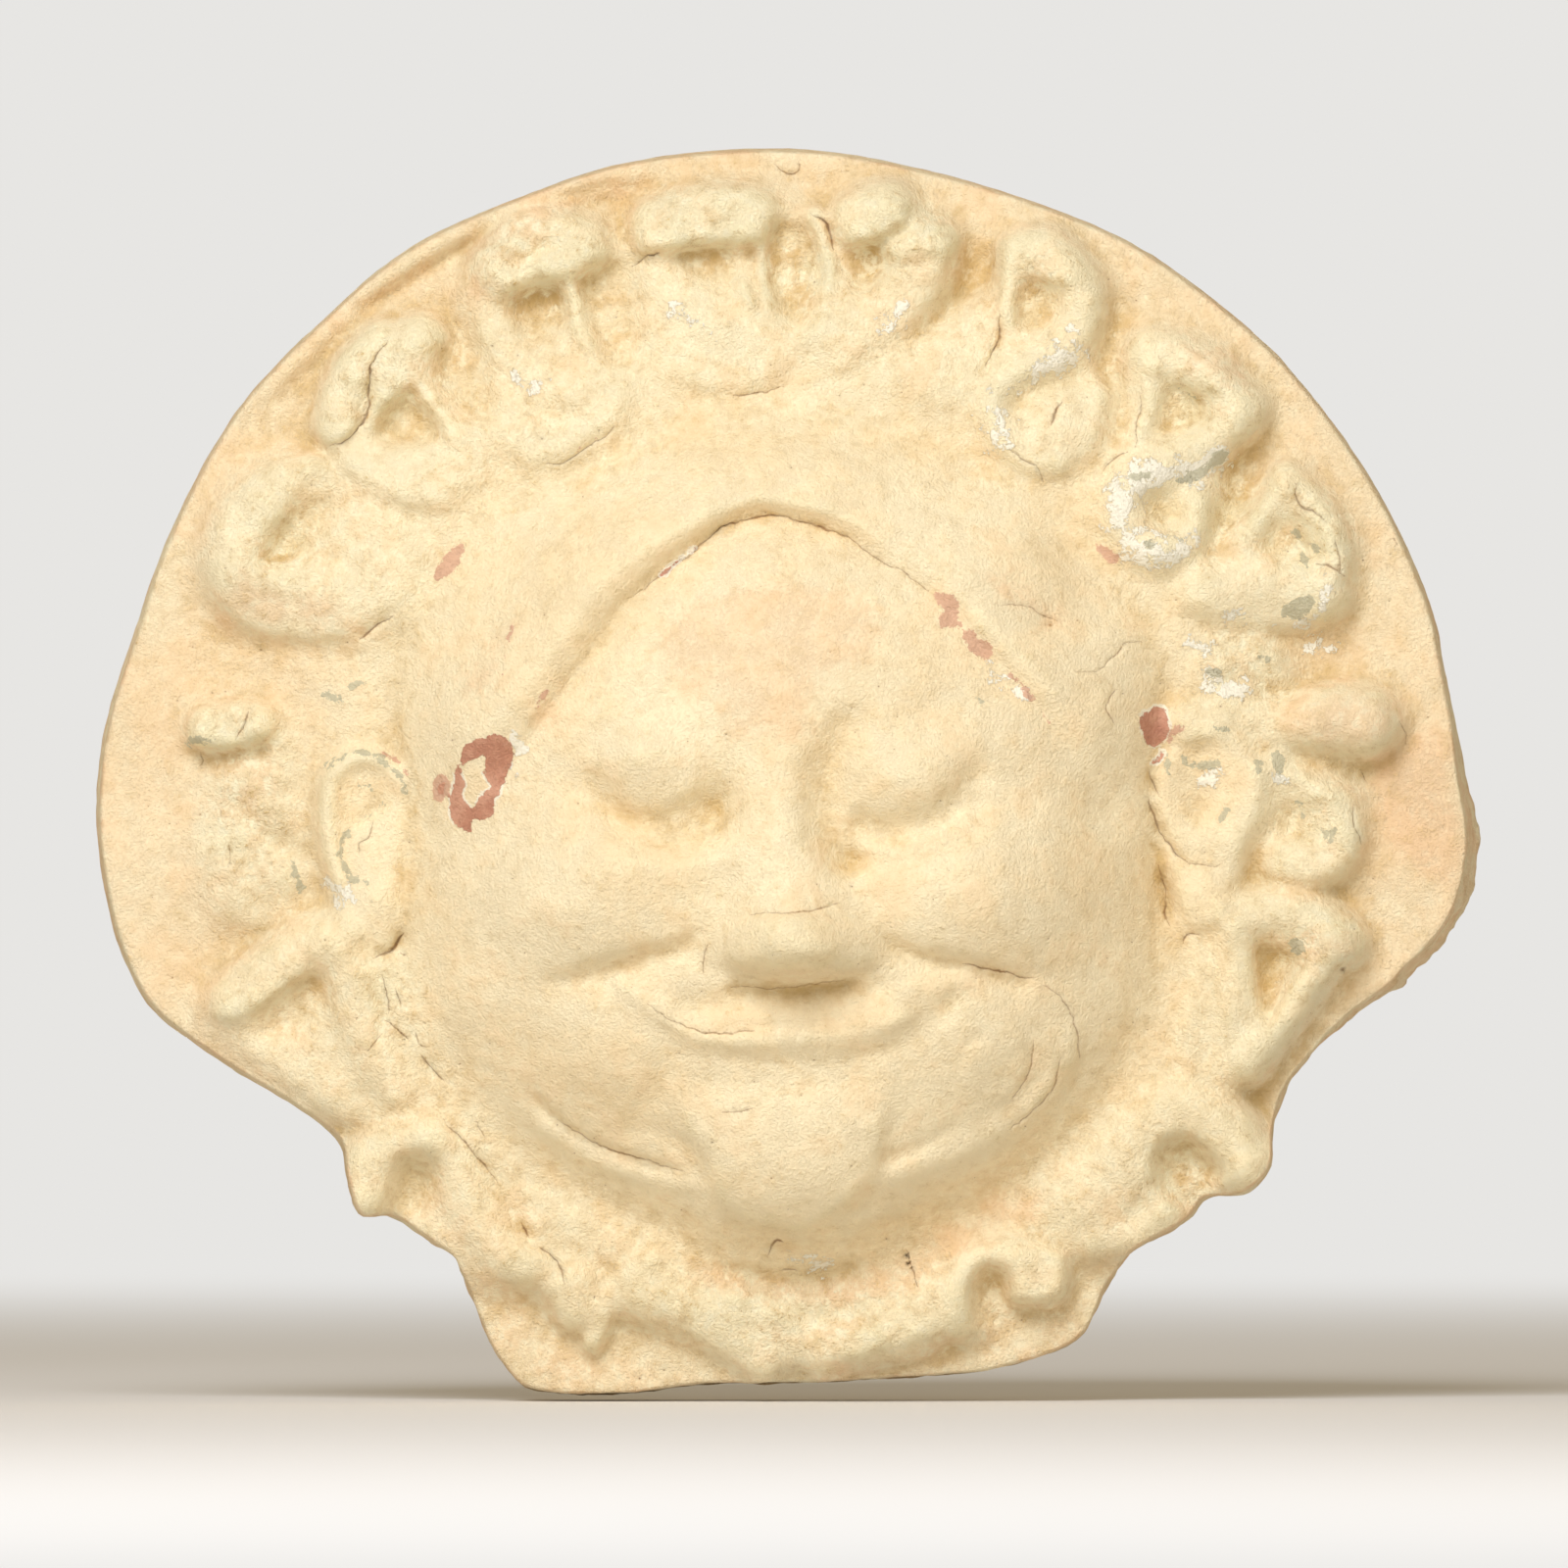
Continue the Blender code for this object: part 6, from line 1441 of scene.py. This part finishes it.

# %% [markdown]
# The white ground under the paint is left as chalky flakes, mostly in the curls on the right. Firing left
# some stretches of the clay pinker, and dirt stained others. The stain under the chin and jaw is partly
# painted shade on that underside.

# %% White flakes, stains and painted shade
CHALK_STROKES = [
    ([(-16.6, 66.2), (-14, 65), (-12, 63.6), (-10, 62)], 0.8),
    ([(14, 64.4), (15.2, 65.4), (16.2, 66.6)], 0.9),
    ([(-40, 57), (-36, 56)], 0.7),
    ([(41, 64), (41.5, 63.8)], 0.9),
    ([(31, 54.6), (33.5, 56.2), (36, 57.8)], 0.8),
    ([(57.6, -1.2), (59.5, -2), (61, -2.6)], 0.8),
    ([(60.7, -1), (61.2, -0.8)], 1.0),
    ([(69.4, -0.3), (70.6, -0.9)], 1.0),
    ([(77.4, 27), (76.8, 25.4), (76, 22.6), (73.4, 21.6), (70.4, 22.2)], 0.9),
    ([(63, 22.6), (65.6, 22.6)], 0.7),
    ([(74.8, 18.3), (76.4, 18.4)], 1.0),
    ([(29.4, 14.8), (31, 13.6), (33.4, 11.6)], 1.0),
    ([(0.4, -70.2), (5.6, -70.6)], 0.6),
    ([(-39.6, 6), (-38.8, 4), (-40, 1)], 0.9),
    ([(57.9, 18.6), (59.8, 17.4)], 0.8),
]
CHALK_AREAS = [
    [(59.6, 13.2), (61, 14.6), (64, 13), (66, 12), (65, 10.8), (62, 11)],
    [(-66.4, -16), (-63.6, -16.6), (-61.4, -18.8), (-64, -19)],
    [(28, 52.6), (28.4, 54.6), (30, 55), (31.6, 54.6), (30.6, 52.4), (31.4, 50), (31, 47.8), (29.4, 47.4),
     (29.2, 50.4)],
    [(34.6, 57.2), (36.8, 60), (39.8, 61.4), (41.8, 60.6), (41.2, 58.6), (38, 57.4)],
    [(48.4, 42.4), (50.4, 44.4), (54, 44.4), (58, 45.2), (60, 47.4), (62.6, 46.6), (62, 43.4), (58, 41.4),
     (53, 40.8), (50.4, 39.4), (49, 36), (50.4, 34.4), (53, 33.6), (56, 33.4), (58.4, 35), (58, 32),
     (54.6, 29.6), (50.4, 30), (47.8, 33), (46, 35), (45.6, 38.6), (46.4, 42)],
]
BLUSH_AREAS = [
    [(71, 6.5), (73, 10.4), (79, 12.5), (85, 12), (88, 9), (87.6, 5.5), (84, 3.5), (78, 3.5), (74, 5)],
    [(84, 2), (92, 6), (97, 0), (97, -16), (90, -14), (85, -6)],
    [(74, -22.6), (80, -22.4), (81.6, -26), (76, -28)],
    [(6, -84.4), (12, -84.2), (13, -87), (8, -87.4)],
    [(-45.6, 68.4), (-45, 70.6), (-42, 71), (-41, 69.4), (-43, 68)],
]
STAIN_AND_SHADE_AREAS = [
    [(-10.5, 10), (-9.6, 5.2), (-2, 5), (2.6, 5.4), (3.2, 8), (5, 12), (10, 14), (13, 18), (13, 23),
     (7, 27), (0, 27.5), (-8, 27), (-14, 25), (-19, 20), (-18, 14), (-14, 11)],
    [(-47, 11), (-42.6, 12.6), (-40.8, 17), (-39, 21.6), (-41.4, 21), (-43.4, 16), (-46.6, 14)],
    [(27, 29), (32, 27.6), (37, 25.4), (40, 22), (37.6, 20.4), (34, 22.4), (29, 25.4)],
    [(-34, 12), (-31, 15), (-33, 8), (-37, 4), (-37, 8)],
    [(-66, 66.5), (-58, 70.6), (-47, 77), (-48, 75), (-57, 69), (-65, 64.5)],
    [(-82, 26), (-79, 31), (-75, 28), (-66, 25), (-62, 21), (-72, 20), (-80, 22)],
    [(54, 62), (60, 61.4), (66, 57), (64, 56.4), (58, 60)],
    [(-50, 74.4), (-42, 79), (-33, 82.6), (-25, 84.8), (-18, 84.6), (-26, 82), (-36, 79), (-45, 74)],
    [(-82, 64), (-78, 58), (-73, 60), (-68, 65), (-72, 66)],
    # Under the chin and jaw: partly dirt, partly painted shade on the underside.
    [(-12, -70), (0, -72.6), (12, -70.6), (24, -65), (34, -60), (38, -62), (26, -69), (14, -74.6), (0, -77),
     (-12, -75)],
]
print("white:", len(CHALK_AREAS), "areas,", len(CHALK_STROKES), "strokes")

# %% [markdown]
# Besides the patches, each point stores how far it lies from a crack, whether it is the bottom of a crack
# or pit, how deep it lies in hollows of three sizes, how bare the plate is there, how worn the lock, and
# whether it is on the side wall.

# %% Store it all on the skin
PAINT_REACH = 4.0
HOLLOW_SIZES = {"small_hollow": 1.6, "broad_hollow": 5.0, "deep_hollow": 10.0}
WORN_MOST = 1.3
WALL_WORN = 0.8
PATCHES = {
    "red": (RED_AREAS, RED_STROKES, RED_HOLES),
    "pink": (PINK_AREAS, PINK_STROKES),
    "slate": (SLATE_AREAS, SLATE_STROKES),
    "chalk": (CHALK_AREAS, CHALK_STROKES),
    "blush": (BLUSH_AREAS,),
    "stain_and_shade": (STAIN_AND_SHADE_AREAS,),
}


def depth_in_paint(points, areas=(), strokes=(), holes=()):
    """How far inside the patches each point lies, in units, and less than nothing outside them."""
    x, z = points[:, 0], points[:, 1]
    inside = np.full(len(points), -PAINT_REACH)
    for outline in areas:
        line = curve(outline, 4, closed=True)
        i = near(x, z, line, PAINT_REACH)
        inside[i] = np.maximum(inside[i], depth_inside(x[i], z[i], line))
    for stroke, width in strokes:
        line = curve(stroke, 4)
        i = near(x, z, line, PAINT_REACH)
        inside[i] = np.maximum(inside[i], width * 0.5 - reach(x[i], z[i], line)[0])
    for outline in holes:
        line = curve(outline, 4, closed=True)
        i = near(x, z, line, PAINT_REACH)
        inside[i] = np.minimum(inside[i], -depth_inside(x[i], z[i], line))
    return np.maximum(inside, -PAINT_REACH)


def gap_from_cracks(points):
    """How far each point lies from the open part of the nearest crack, less than nothing inside one."""
    found = np.full(len(points), PAINT_REACH)
    for middle, open_by in crack_lines:
        i = near(points[:, 0], points[:, 1], middle, PAINT_REACH)
        gap, along, _ = reach(points[i, 0], points[i, 1], middle)
        found[i] = np.minimum(found[i], gap - np.interp(along, np.linspace(0, 1, len(open_by)), open_by))
    return found


def store(name, values, rest):
    """Writes one number for each point of the front, and the same one for all the rest of the skin."""
    full = np.full(len(skin.vertices), rest, np.float32)
    full[:wall_start] = values
    skin.attributes.new(name, "FLOAT", "POINT").data.foreach_set("value", full)


pit_gap = np.full(len(front), 1.0)
pit_gap[ring_count:ring_count + len(middles)] = 0.0
store("crack", gap_from_cracks(front), PAINT_REACH)
store("pit", pit_gap, 1.0)
# The hollow depths feed the ochre of the material, which is partly dirt and partly painted shade.
for name, size in HOLLOW_SIZES.items():
    store(name, read(rub(height_grid, size) - height_grid, front), 0.0)
store("bare", read(bare, front), 1.0)
store("worn", np.clip(read(lumpy, front) - FACE_LUMPS, 0, WORN_MOST), WALL_WORN)
for name, patches in PATCHES.items():
    store(name, depth_in_paint(front, *patches), -PAINT_REACH)
side = np.zeros(len(skin.vertices), np.float32)
side[wall_start:back_start] = 1.0
skin.attributes.new("side", "FLOAT", "POINT").data.foreach_set("value", side)
print("stored:", ", ".join(a.name for a in skin.attributes if a.data_type == "FLOAT"))

# %% [markdown]
# ## Sums with sockets
# Node trees are easier to read as sums. This class wraps one socket: adding or multiplying two of them
# makes the Math node and wires it, and one method makes every other kind of node. It serves shader and
# geometry trees.

# %% Wires
class Wire:
    """One socket of a node tree."""

    def __init__(self, tree, socket):
        self.tree = tree
        self.socket = socket

    def node(self, kind, settings=None, values=None, out=0):
        """A node of any kind: settings first, then inputs by name or number, and which output is wanted."""
        made = self.tree.nodes.new(kind)
        for name, value in (settings or {}).items():
            setattr(made, name, value)
        for name, value in (values or {}).items():
            if isinstance(value, Wire):
                self.tree.links.new(value.socket, made.inputs[name])
            else:
                made.inputs[name].default_value = value
        return Wire(self.tree, made.outputs[out])

    def maths(self, operation, first, second=0.0):
        """A Math node on two sockets or numbers."""
        return self.node("ShaderNodeMath", {"operation": operation}, {0: first, 1: second})

    def __add__(self, other):
        return self.maths("ADD", self, other)

    __radd__ = __add__

    def __sub__(self, other):
        return self.maths("SUBTRACT", self, other)

    def __rsub__(self, other):
        return self.maths("SUBTRACT", other, self)

    def __mul__(self, other):
        return self.maths("MULTIPLY", self, other)

    __rmul__ = __mul__

    def between(self, low, high):
        """0 below the low value, 1 above the high one, and a smooth rise from one to the other."""
        values = {"Value": self, "From Min": low, "From Max": high}
        return self.node("ShaderNodeMapRange", {"interpolation_type": "SMOOTHSTEP"}, values)

    def most(self, other):
        """The larger of two values."""
        return self.maths("MAXIMUM", self, other)

    def noise(self, scale, detail=3.0, rough=0.55):
        """Soft random values around a half, read at the place this socket gives."""
        values = {"Vector": self, "Scale": scale, "Detail": detail, "Roughness": rough}
        return self.node("ShaderNodeTexNoise", None, values)

    def tint(self, share, first, second):
        """A mix of two colours."""
        values = {0: share, 6: first, 7: second}
        return self.node("ShaderNodeMix", {"data_type": "RGBA", "clamp_factor": True}, values, 2)


# %% [markdown]
# ## Grain of the clay
# The surface was wiped with wet fingers and then worn, so it is softly rough, with faint drags across it.
# The same rule holds all over, so a Geometry Nodes tree does it: two noises push every point along its
# normal, one even, one drawn out along the drags. The result is taken as a plain mesh.

# %% Grain tree
GRAIN = {"Grain size": 0.0022, "Grain depth": 0.00010, "Drag length": 0.011, "Drag depth": 0.00010}
GRAIN_SEED = 7
DRAWN_OUT = 4.0
ACROSS = (1.0 / DRAWN_OUT, 1.0, 1.0)


def grain_tree(material):
    """A tree that pushes every point along its normal by two noises, one even and one drawn out sideways."""
    tree = bpy.data.node_groups.new("clay grain", "GeometryNodeTree")
    tree.interface.new_socket("Geometry", in_out="INPUT", socket_type="NodeSocketGeometry")
    for name in GRAIN:
        tree.interface.new_socket(name, in_out="INPUT", socket_type="NodeSocketFloat")
    tree.interface.new_socket("Seed", in_out="INPUT", socket_type="NodeSocketFloat")
    tree.interface.new_socket("Geometry", in_out="OUTPUT", socket_type="NodeSocketGeometry")
    given = tree.nodes.new("NodeGroupInput")
    wire = {socket.name: Wire(tree, socket) for socket in given.outputs if socket.name}
    start = wire["Geometry"]
    place = start.node("GeometryNodeInputPosition")
    normal = start.node("GeometryNodeInputNormal")
    fineness = start.maths("DIVIDE", 1.0, wire["Grain size"])
    even = {"Vector": place, "W": wire["Seed"], "Scale": fineness, "Detail": 3.0}
    grain = start.node("ShaderNodeTexNoise", {"noise_dimensions": "4D"}, even) - 0.5
    drawn = start.node("ShaderNodeVectorMath", {"operation": "MULTIPLY"}, {0: place, 1: ACROSS})
    closeness = start.maths("DIVIDE", DRAWN_OUT, wire["Drag length"])
    long = {"Vector": drawn, "W": wire["Seed"], "Scale": closeness, "Detail": 2.0}
    drag = start.node("ShaderNodeTexNoise", {"noise_dimensions": "4D"}, long) - 0.5
    lift = grain * wire["Grain depth"] * 2.0 + drag * wire["Drag depth"] * 2.0
    push = start.node("ShaderNodeVectorMath", {"operation": "SCALE"}, {0: normal, "Scale": lift})
    moved = start.node("GeometryNodeSetPosition", None, {"Geometry": start, "Offset": push})
    real = start.node("GeometryNodeRealizeInstances", None, {"Geometry": moved})
    done = start.node("GeometryNodeSetMaterial", None, {"Geometry": real, "Material": material})
    tree.links.new(done.socket, tree.nodes.new("NodeGroupOutput").inputs[0])
    return tree


def grained(mesh, material):
    """The mesh pushed about by the grain tree, as a plain mesh of its own."""
    holder = bpy.data.objects.new("rough skin", mesh)
    bpy.context.scene.collection.objects.link(holder)
    modifier = holder.modifiers.new("grain", "NODES")
    modifier.node_group = grain_tree(material)
    given = {**GRAIN, "Seed": float(GRAIN_SEED)}
    for socket in modifier.node_group.interface.items_tree:
        if socket.in_out == "INPUT" and socket.name in given:
            modifier[socket.identifier] = given[socket.name]
    graph = bpy.context.evaluated_depsgraph_get()
    evaluated = holder.evaluated_get(graph)
    plain = bpy.data.meshes.new_from_object(evaluated, preserve_all_data_layers=True, depsgraph=graph)
    bpy.data.objects.remove(holder, do_unlink=True)
    return plain


# %% [markdown]
# ## Fired clay and what clings to it
# The clay is a pale warm buff, matt, and mottled at every scale. Ochre gathers in the hollows, partly dirt
# and partly painted shade, and the dirt thins out in specks; crests are painted paler, partly as rubbing and
# partly as painted highlight. Over that come the stains, with painted shade under the chin, and the dark of
# cracks and pits, and last the white ground and the paints. Colour and roughness vary; the shine is the same
# all over, so it is set once.

# %% Colours
def linear(red, green, blue):
    """A colour as seen on a screen, 0 to 255, as a linear one."""

    def one(value):
        share = value / 255.0
        return share / 12.92 if share <= 0.04045 else ((share + 0.055) / 1.055) ** 2.4

    return (one(red), one(green), one(blue), 1.0)


PALE = linear(255, 245, 210)
WORN_AND_HIGHLIGHT = linear(255, 243, 202)
CREAM = linear(255, 238, 199)
BUFF = linear(246, 222, 177)
ROSE = linear(240, 210, 168)
OCHRE = linear(211, 180, 121)
UMBER = linear(146, 96, 50)
RAW = linear(238, 192, 148)
MADDER = linear(214, 158, 130)
MADDER_DEEP = linear(194, 132, 106)
FADED = linear(220, 176, 147)
SLATE = linear(196, 191, 162)
WHITE = linear(255, 249, 229)
print("clay, linear:", [round(channel, 2) for channel in CREAM[:3]])

# %% [markdown]
# The material lays one colour over another. Noise of four sizes mottles the clay and frays the edge of
# every stored patch.

# %% Clay material
BROAD = 45.0
PATCHY = 150.0
GRIT = 420.0
FINE = 2400.0
SHINE = 0.25
MATT = 0.92
BUMP_DEPTH = 0.0011


def clay_material():
    """Worn fired clay with its dirt, painted shade and highlight, cracks and traces of paint."""
    material = bpy.data.materials.new("worn fired clay")
    material.use_nodes = True
    tree = material.node_tree
    shader = tree.nodes["Principled BSDF"]
    place = Wire(tree, tree.nodes.new("ShaderNodeTexCoord").outputs["Object"])

    def stored(name):
        return place.node("ShaderNodeAttribute", {"attribute_name": name}, None, 2)

    broad = place.noise(BROAD)
    patchy = place.noise(PATCHY, 4.0, 0.6)
    grit = place.noise(GRIT, 5.0, 0.68)
    fine = place.noise(FINE, 3.0, 0.7)
    ragged = (grit - 0.5) * 2.6 + (fine - 0.5) * 0.8
    worn = stored("worn")
    colour = place.tint((broad * 0.6 + patchy * 0.4).between(0.42, 0.58) * 0.6, CREAM, BUFF)
    colour = place.tint((patchy * 0.8 + grit * 0.2).between(0.52, 0.64) * 0.3, colour, ROSE)
    colour = place.tint((stored("bare") - 0.4) * (patchy + broad * 0.4).between(0.3, 0.9), colour, ROSE)
    # Ochre in the hollows: partly dirt, partly painted shade; the deep hollows add painted shade only.
    hollow = stored("small_hollow") * 0.7 + stored("broad_hollow") * 0.2
    dirt_and_shade = hollow + stored("deep_hollow") * 0.04 + (patchy - 0.5) * (worn * 0.8 + 0.7)
    dirt_and_shade = dirt_and_shade + (grit - 0.5) * 1.8 + worn * 0.06
    colour = place.tint(dirt_and_shade.between(0.1, 2.2) * 0.9, colour, OCHRE)
    # Crests are painted paler: partly rubbing wear, partly painted highlight on the lit crests.
    crest = (stored("small_hollow") * -1.0 + (grit - 0.5) * 1.6).between(0.2, 0.9)
    dry = worn * (patchy * 0.6 + grit * 0.4).between(0.6, 0.44)
    colour = place.tint(crest * 0.45 + dry * 0.45, colour, WORN_AND_HIGHLIGHT)
    # Stains; the one under the chin and jaw is painted shade as well as dirt.
    stain_and_shade = (stored("stain_and_shade") * 0.3 + (patchy - 0.5) * 3.0 + (grit - 0.5) * 2.0).between(-0.4, 0.9)
    colour = place.tint(stain_and_shade * 0.32, colour, RAW)
    blush = (stored("blush") * 0.4 + (patchy - 0.5) * 3.0).between(-0.5, 1.2)
    colour = place.tint(blush * 0.4, colour, RAW)
    colour = place.tint(grit.between(0.50, 0.66) * (worn * 0.16 + 0.16), colour, OCHRE)
    colour = place.tint(grit.between(0.50, 0.36) * (worn * 0.5 + 0.2), colour, PALE)
    specks = (fine * 0.6 + grit * 0.4).between(0.57, 0.66)
    colour = place.tint(specks * (worn * 0.35 + 0.4), colour, OCHRE)
    side = stored("side")
    colour = place.tint(side * (broad + (patchy - 0.5)).between(0.3, 0.7) * 0.3, colour, RAW)
    crack = 1.0 - (stored("crack") + (fine - 0.5) * 0.3).between(-0.16, 0.12)
    crack = crack * (patchy * 0.6 + grit * 0.4).between(0.38, 0.6)
    pit = 1.0 - stored("pit").between(0.1, 0.7)
    colour = place.tint((crack * 0.75).most(pit * 0.6), colour, UMBER)
    chalk = stored("chalk") - 0.2 + (patchy - 0.5) * 4.0 + (grit - 0.5) * 12.0 + (fine - 0.5) * 3.0
    chalk = chalk.between(0.0, 0.2)
    colour = place.tint(chalk * 0.95, colour, WHITE)
    rim = (stored("red") + 0.35 + ragged * 0.8).between(0.0, 0.1)
    rim = rim * (patchy + (broad - 0.5)).between(0.46, 0.56)
    colour = place.tint(rim * 0.7, colour, WHITE)
    pink = (stored("pink") + ragged * 1.1).between(0.0, 0.15)
    colour = place.tint(pink * 0.92, colour, FADED)
    slate = (stored("slate") + (grit - 0.5) * 4.0).between(0.0, 0.2)
    colour = place.tint(slate * 0.8, colour, SLATE)
    red = (stored("red") + ragged * 0.7).between(0.0, 0.1)
    madder = place.tint((patchy * 0.5 + grit * 0.5).between(0.42, 0.6), MADDER_DEEP, MADDER)
    colour = place.tint(red * 0.95, colour, madder)
    tree.links.new(colour.socket, shader.inputs["Base Color"])
    coarse = MATT - red * 0.12 - slate * 0.08 + (grit - 0.5) * 0.08
    tree.links.new(coarse.socket, shader.inputs["Roughness"])
    shader.inputs["Specular IOR Level"].default_value = SHINE
    creases = place.maths("ABSOLUTE", patchy * 0.7 + grit * 0.3 - 0.5)
    gaps = (fine * 0.5 + patchy * 0.5).between(0.38, 0.52)
    height = (grit * 0.6 + fine * 0.35 + gaps * 0.06) * (worn * 0.15 + 0.8) + creases * (worn * 0.6 + 0.15)
    height = height + chalk * 0.12 + red * 0.05
    bump = place.node("ShaderNodeBump", None, {"Strength": 1.0, "Distance": BUMP_DEPTH, "Height": height})
    tree.links.new(bump.socket, shader.inputs["Normal"])
    return material


# %% [markdown]
# The grain tree also sets the material, so the plain mesh that comes out of it is finished. It rides on the
# one body of the frame and takes the place of the plain solid.

# %% Finished piece
clay = clay_material()
antefix = bpy.data.objects.new("antefix_clay", grained(skin, clay))
bpy.context.scene.collection.objects.link(antefix)
antefix.data.shade_smooth()
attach(antefix, "root")
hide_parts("antefix")
print("finished:", len(antefix.data.polygons), "triangles,", [m.name for m in antefix.data.materials])

# %% [markdown]
# ## Floor and light
# A pale floor lies just under the broken foot and fades into the same pale surroundings, so no edge shows
# from any side.

# %% Floor
SURROUND = (0.80, 0.79, 0.77, 1.0)
FLOOR_COLOUR = (0.78, 0.77, 0.75, 1.0)
FLOOR_MATT = 0.9
FADE = (0.35, 1.6)
FLOOR_RADIUS = 2.5
FLOOR_GAP = 0.0006
FLOOR_SIDES = 128


def floor_material():
    """A plain pale surface that turns into the colour of the surroundings farther out."""
    material = bpy.data.materials.new("pale floor")
    material.use_nodes = True
    tree = material.node_tree
    shader = tree.nodes["Principled BSDF"]
    shader.inputs["Base Color"].default_value = FLOOR_COLOUR
    shader.inputs["Roughness"].default_value = FLOOR_MATT
    place = Wire(tree, tree.nodes.new("ShaderNodeTexCoord").outputs["Object"])
    far = place.node("ShaderNodeVectorMath", {"operation": "LENGTH"}, {0: place}, 1).between(*FADE)
    glow = place.node("ShaderNodeEmission", None, {"Color": SURROUND, "Strength": 1.0})
    plain = Wire(tree, shader.outputs[0])
    mixed = place.node("ShaderNodeMixShader", None, {0: far, 1: plain, 2: glow})
    tree.links.new(mixed.socket, tree.nodes["Material Output"].inputs["Surface"])
    return material


def add_floor():
    """A round floor under the piece."""
    turns = np.linspace(0, 2 * np.pi, FLOOR_SIDES, endpoint=False)
    rim = [(FLOOR_RADIUS * math.cos(t), FLOOR_RADIUS * math.sin(t), 0.0) for t in turns]
    mesh = bpy.data.meshes.new("floor")
    mesh.from_pydata(rim, [], [tuple(range(FLOOR_SIDES))])
    floor = bpy.data.objects.new("floor", mesh)
    floor.location = (0, 0, cad_low.z - FLOOR_GAP)
    mesh.materials.append(floor_material())
    bpy.context.scene.collection.objects.link(floor)


add_floor()
print("floor, mm below the foot:", FLOOR_GAP * 1000)

# %% [markdown]
# One broad light stands high to the left in front, as in the photograph, a little cool. A weak warm one
# opposite and warm surroundings keep the shadows open and golden, as light thrown back by the clay itself
# would.

# %% Lights
LIGHTS = [("key", (-0.38, -1.60, 1.10), 1.1, 30.5, (1.0, 1.02, 1.08)),
          ("fill", (1.3, -1.6, 0.2), 1.4, 3.2, (1.0, 0.93, 0.84))]
FILL_STRENGTH = 0.5
FILL_COLOUR = (0.84, 0.71, 0.52, 1.0)


def add_light(name, place, size, power, colour):
    """A round lamp that points at the piece."""
    data = bpy.data.lights.new(name, "AREA")
    data.shape = "DISK"
    data.size = size
    data.energy = power
    data.color = colour
    lamp = bpy.data.objects.new(name, data)
    lamp.location = place
    lamp.rotation_euler = (-lamp.location).to_track_quat("-Z", "Y").to_euler()
    bpy.context.scene.collection.objects.link(lamp)


def add_surroundings():
    """Surroundings that the camera sees as pale, but that light the clay with a dimmer and warmer colour."""
    world = bpy.data.worlds.new("pale surroundings")
    world.use_nodes = True
    tree = world.node_tree
    tree.nodes["Background"].inputs["Color"].default_value = FILL_COLOUR
    tree.nodes["Background"].inputs["Strength"].default_value = FILL_STRENGTH
    dim = Wire(tree, tree.nodes["Background"].outputs[0])
    seen = dim.node("ShaderNodeBackground", None, {"Color": SURROUND, "Strength": 1.0})
    looked_at = dim.node("ShaderNodeLightPath", None, None, "Is Camera Ray")
    mixed = dim.node("ShaderNodeMixShader", None, {0: looked_at, 1: dim, 2: seen})
    tree.links.new(mixed.socket, tree.nodes["World Output"].inputs["Surface"])
    bpy.context.scene.world = world


for light in LIGHTS:
    add_light(*light)
add_surroundings()
bpy.context.scene.view_settings.view_transform = "Standard"
print("lights:", ", ".join(name for name, *_ in LIGHTS))
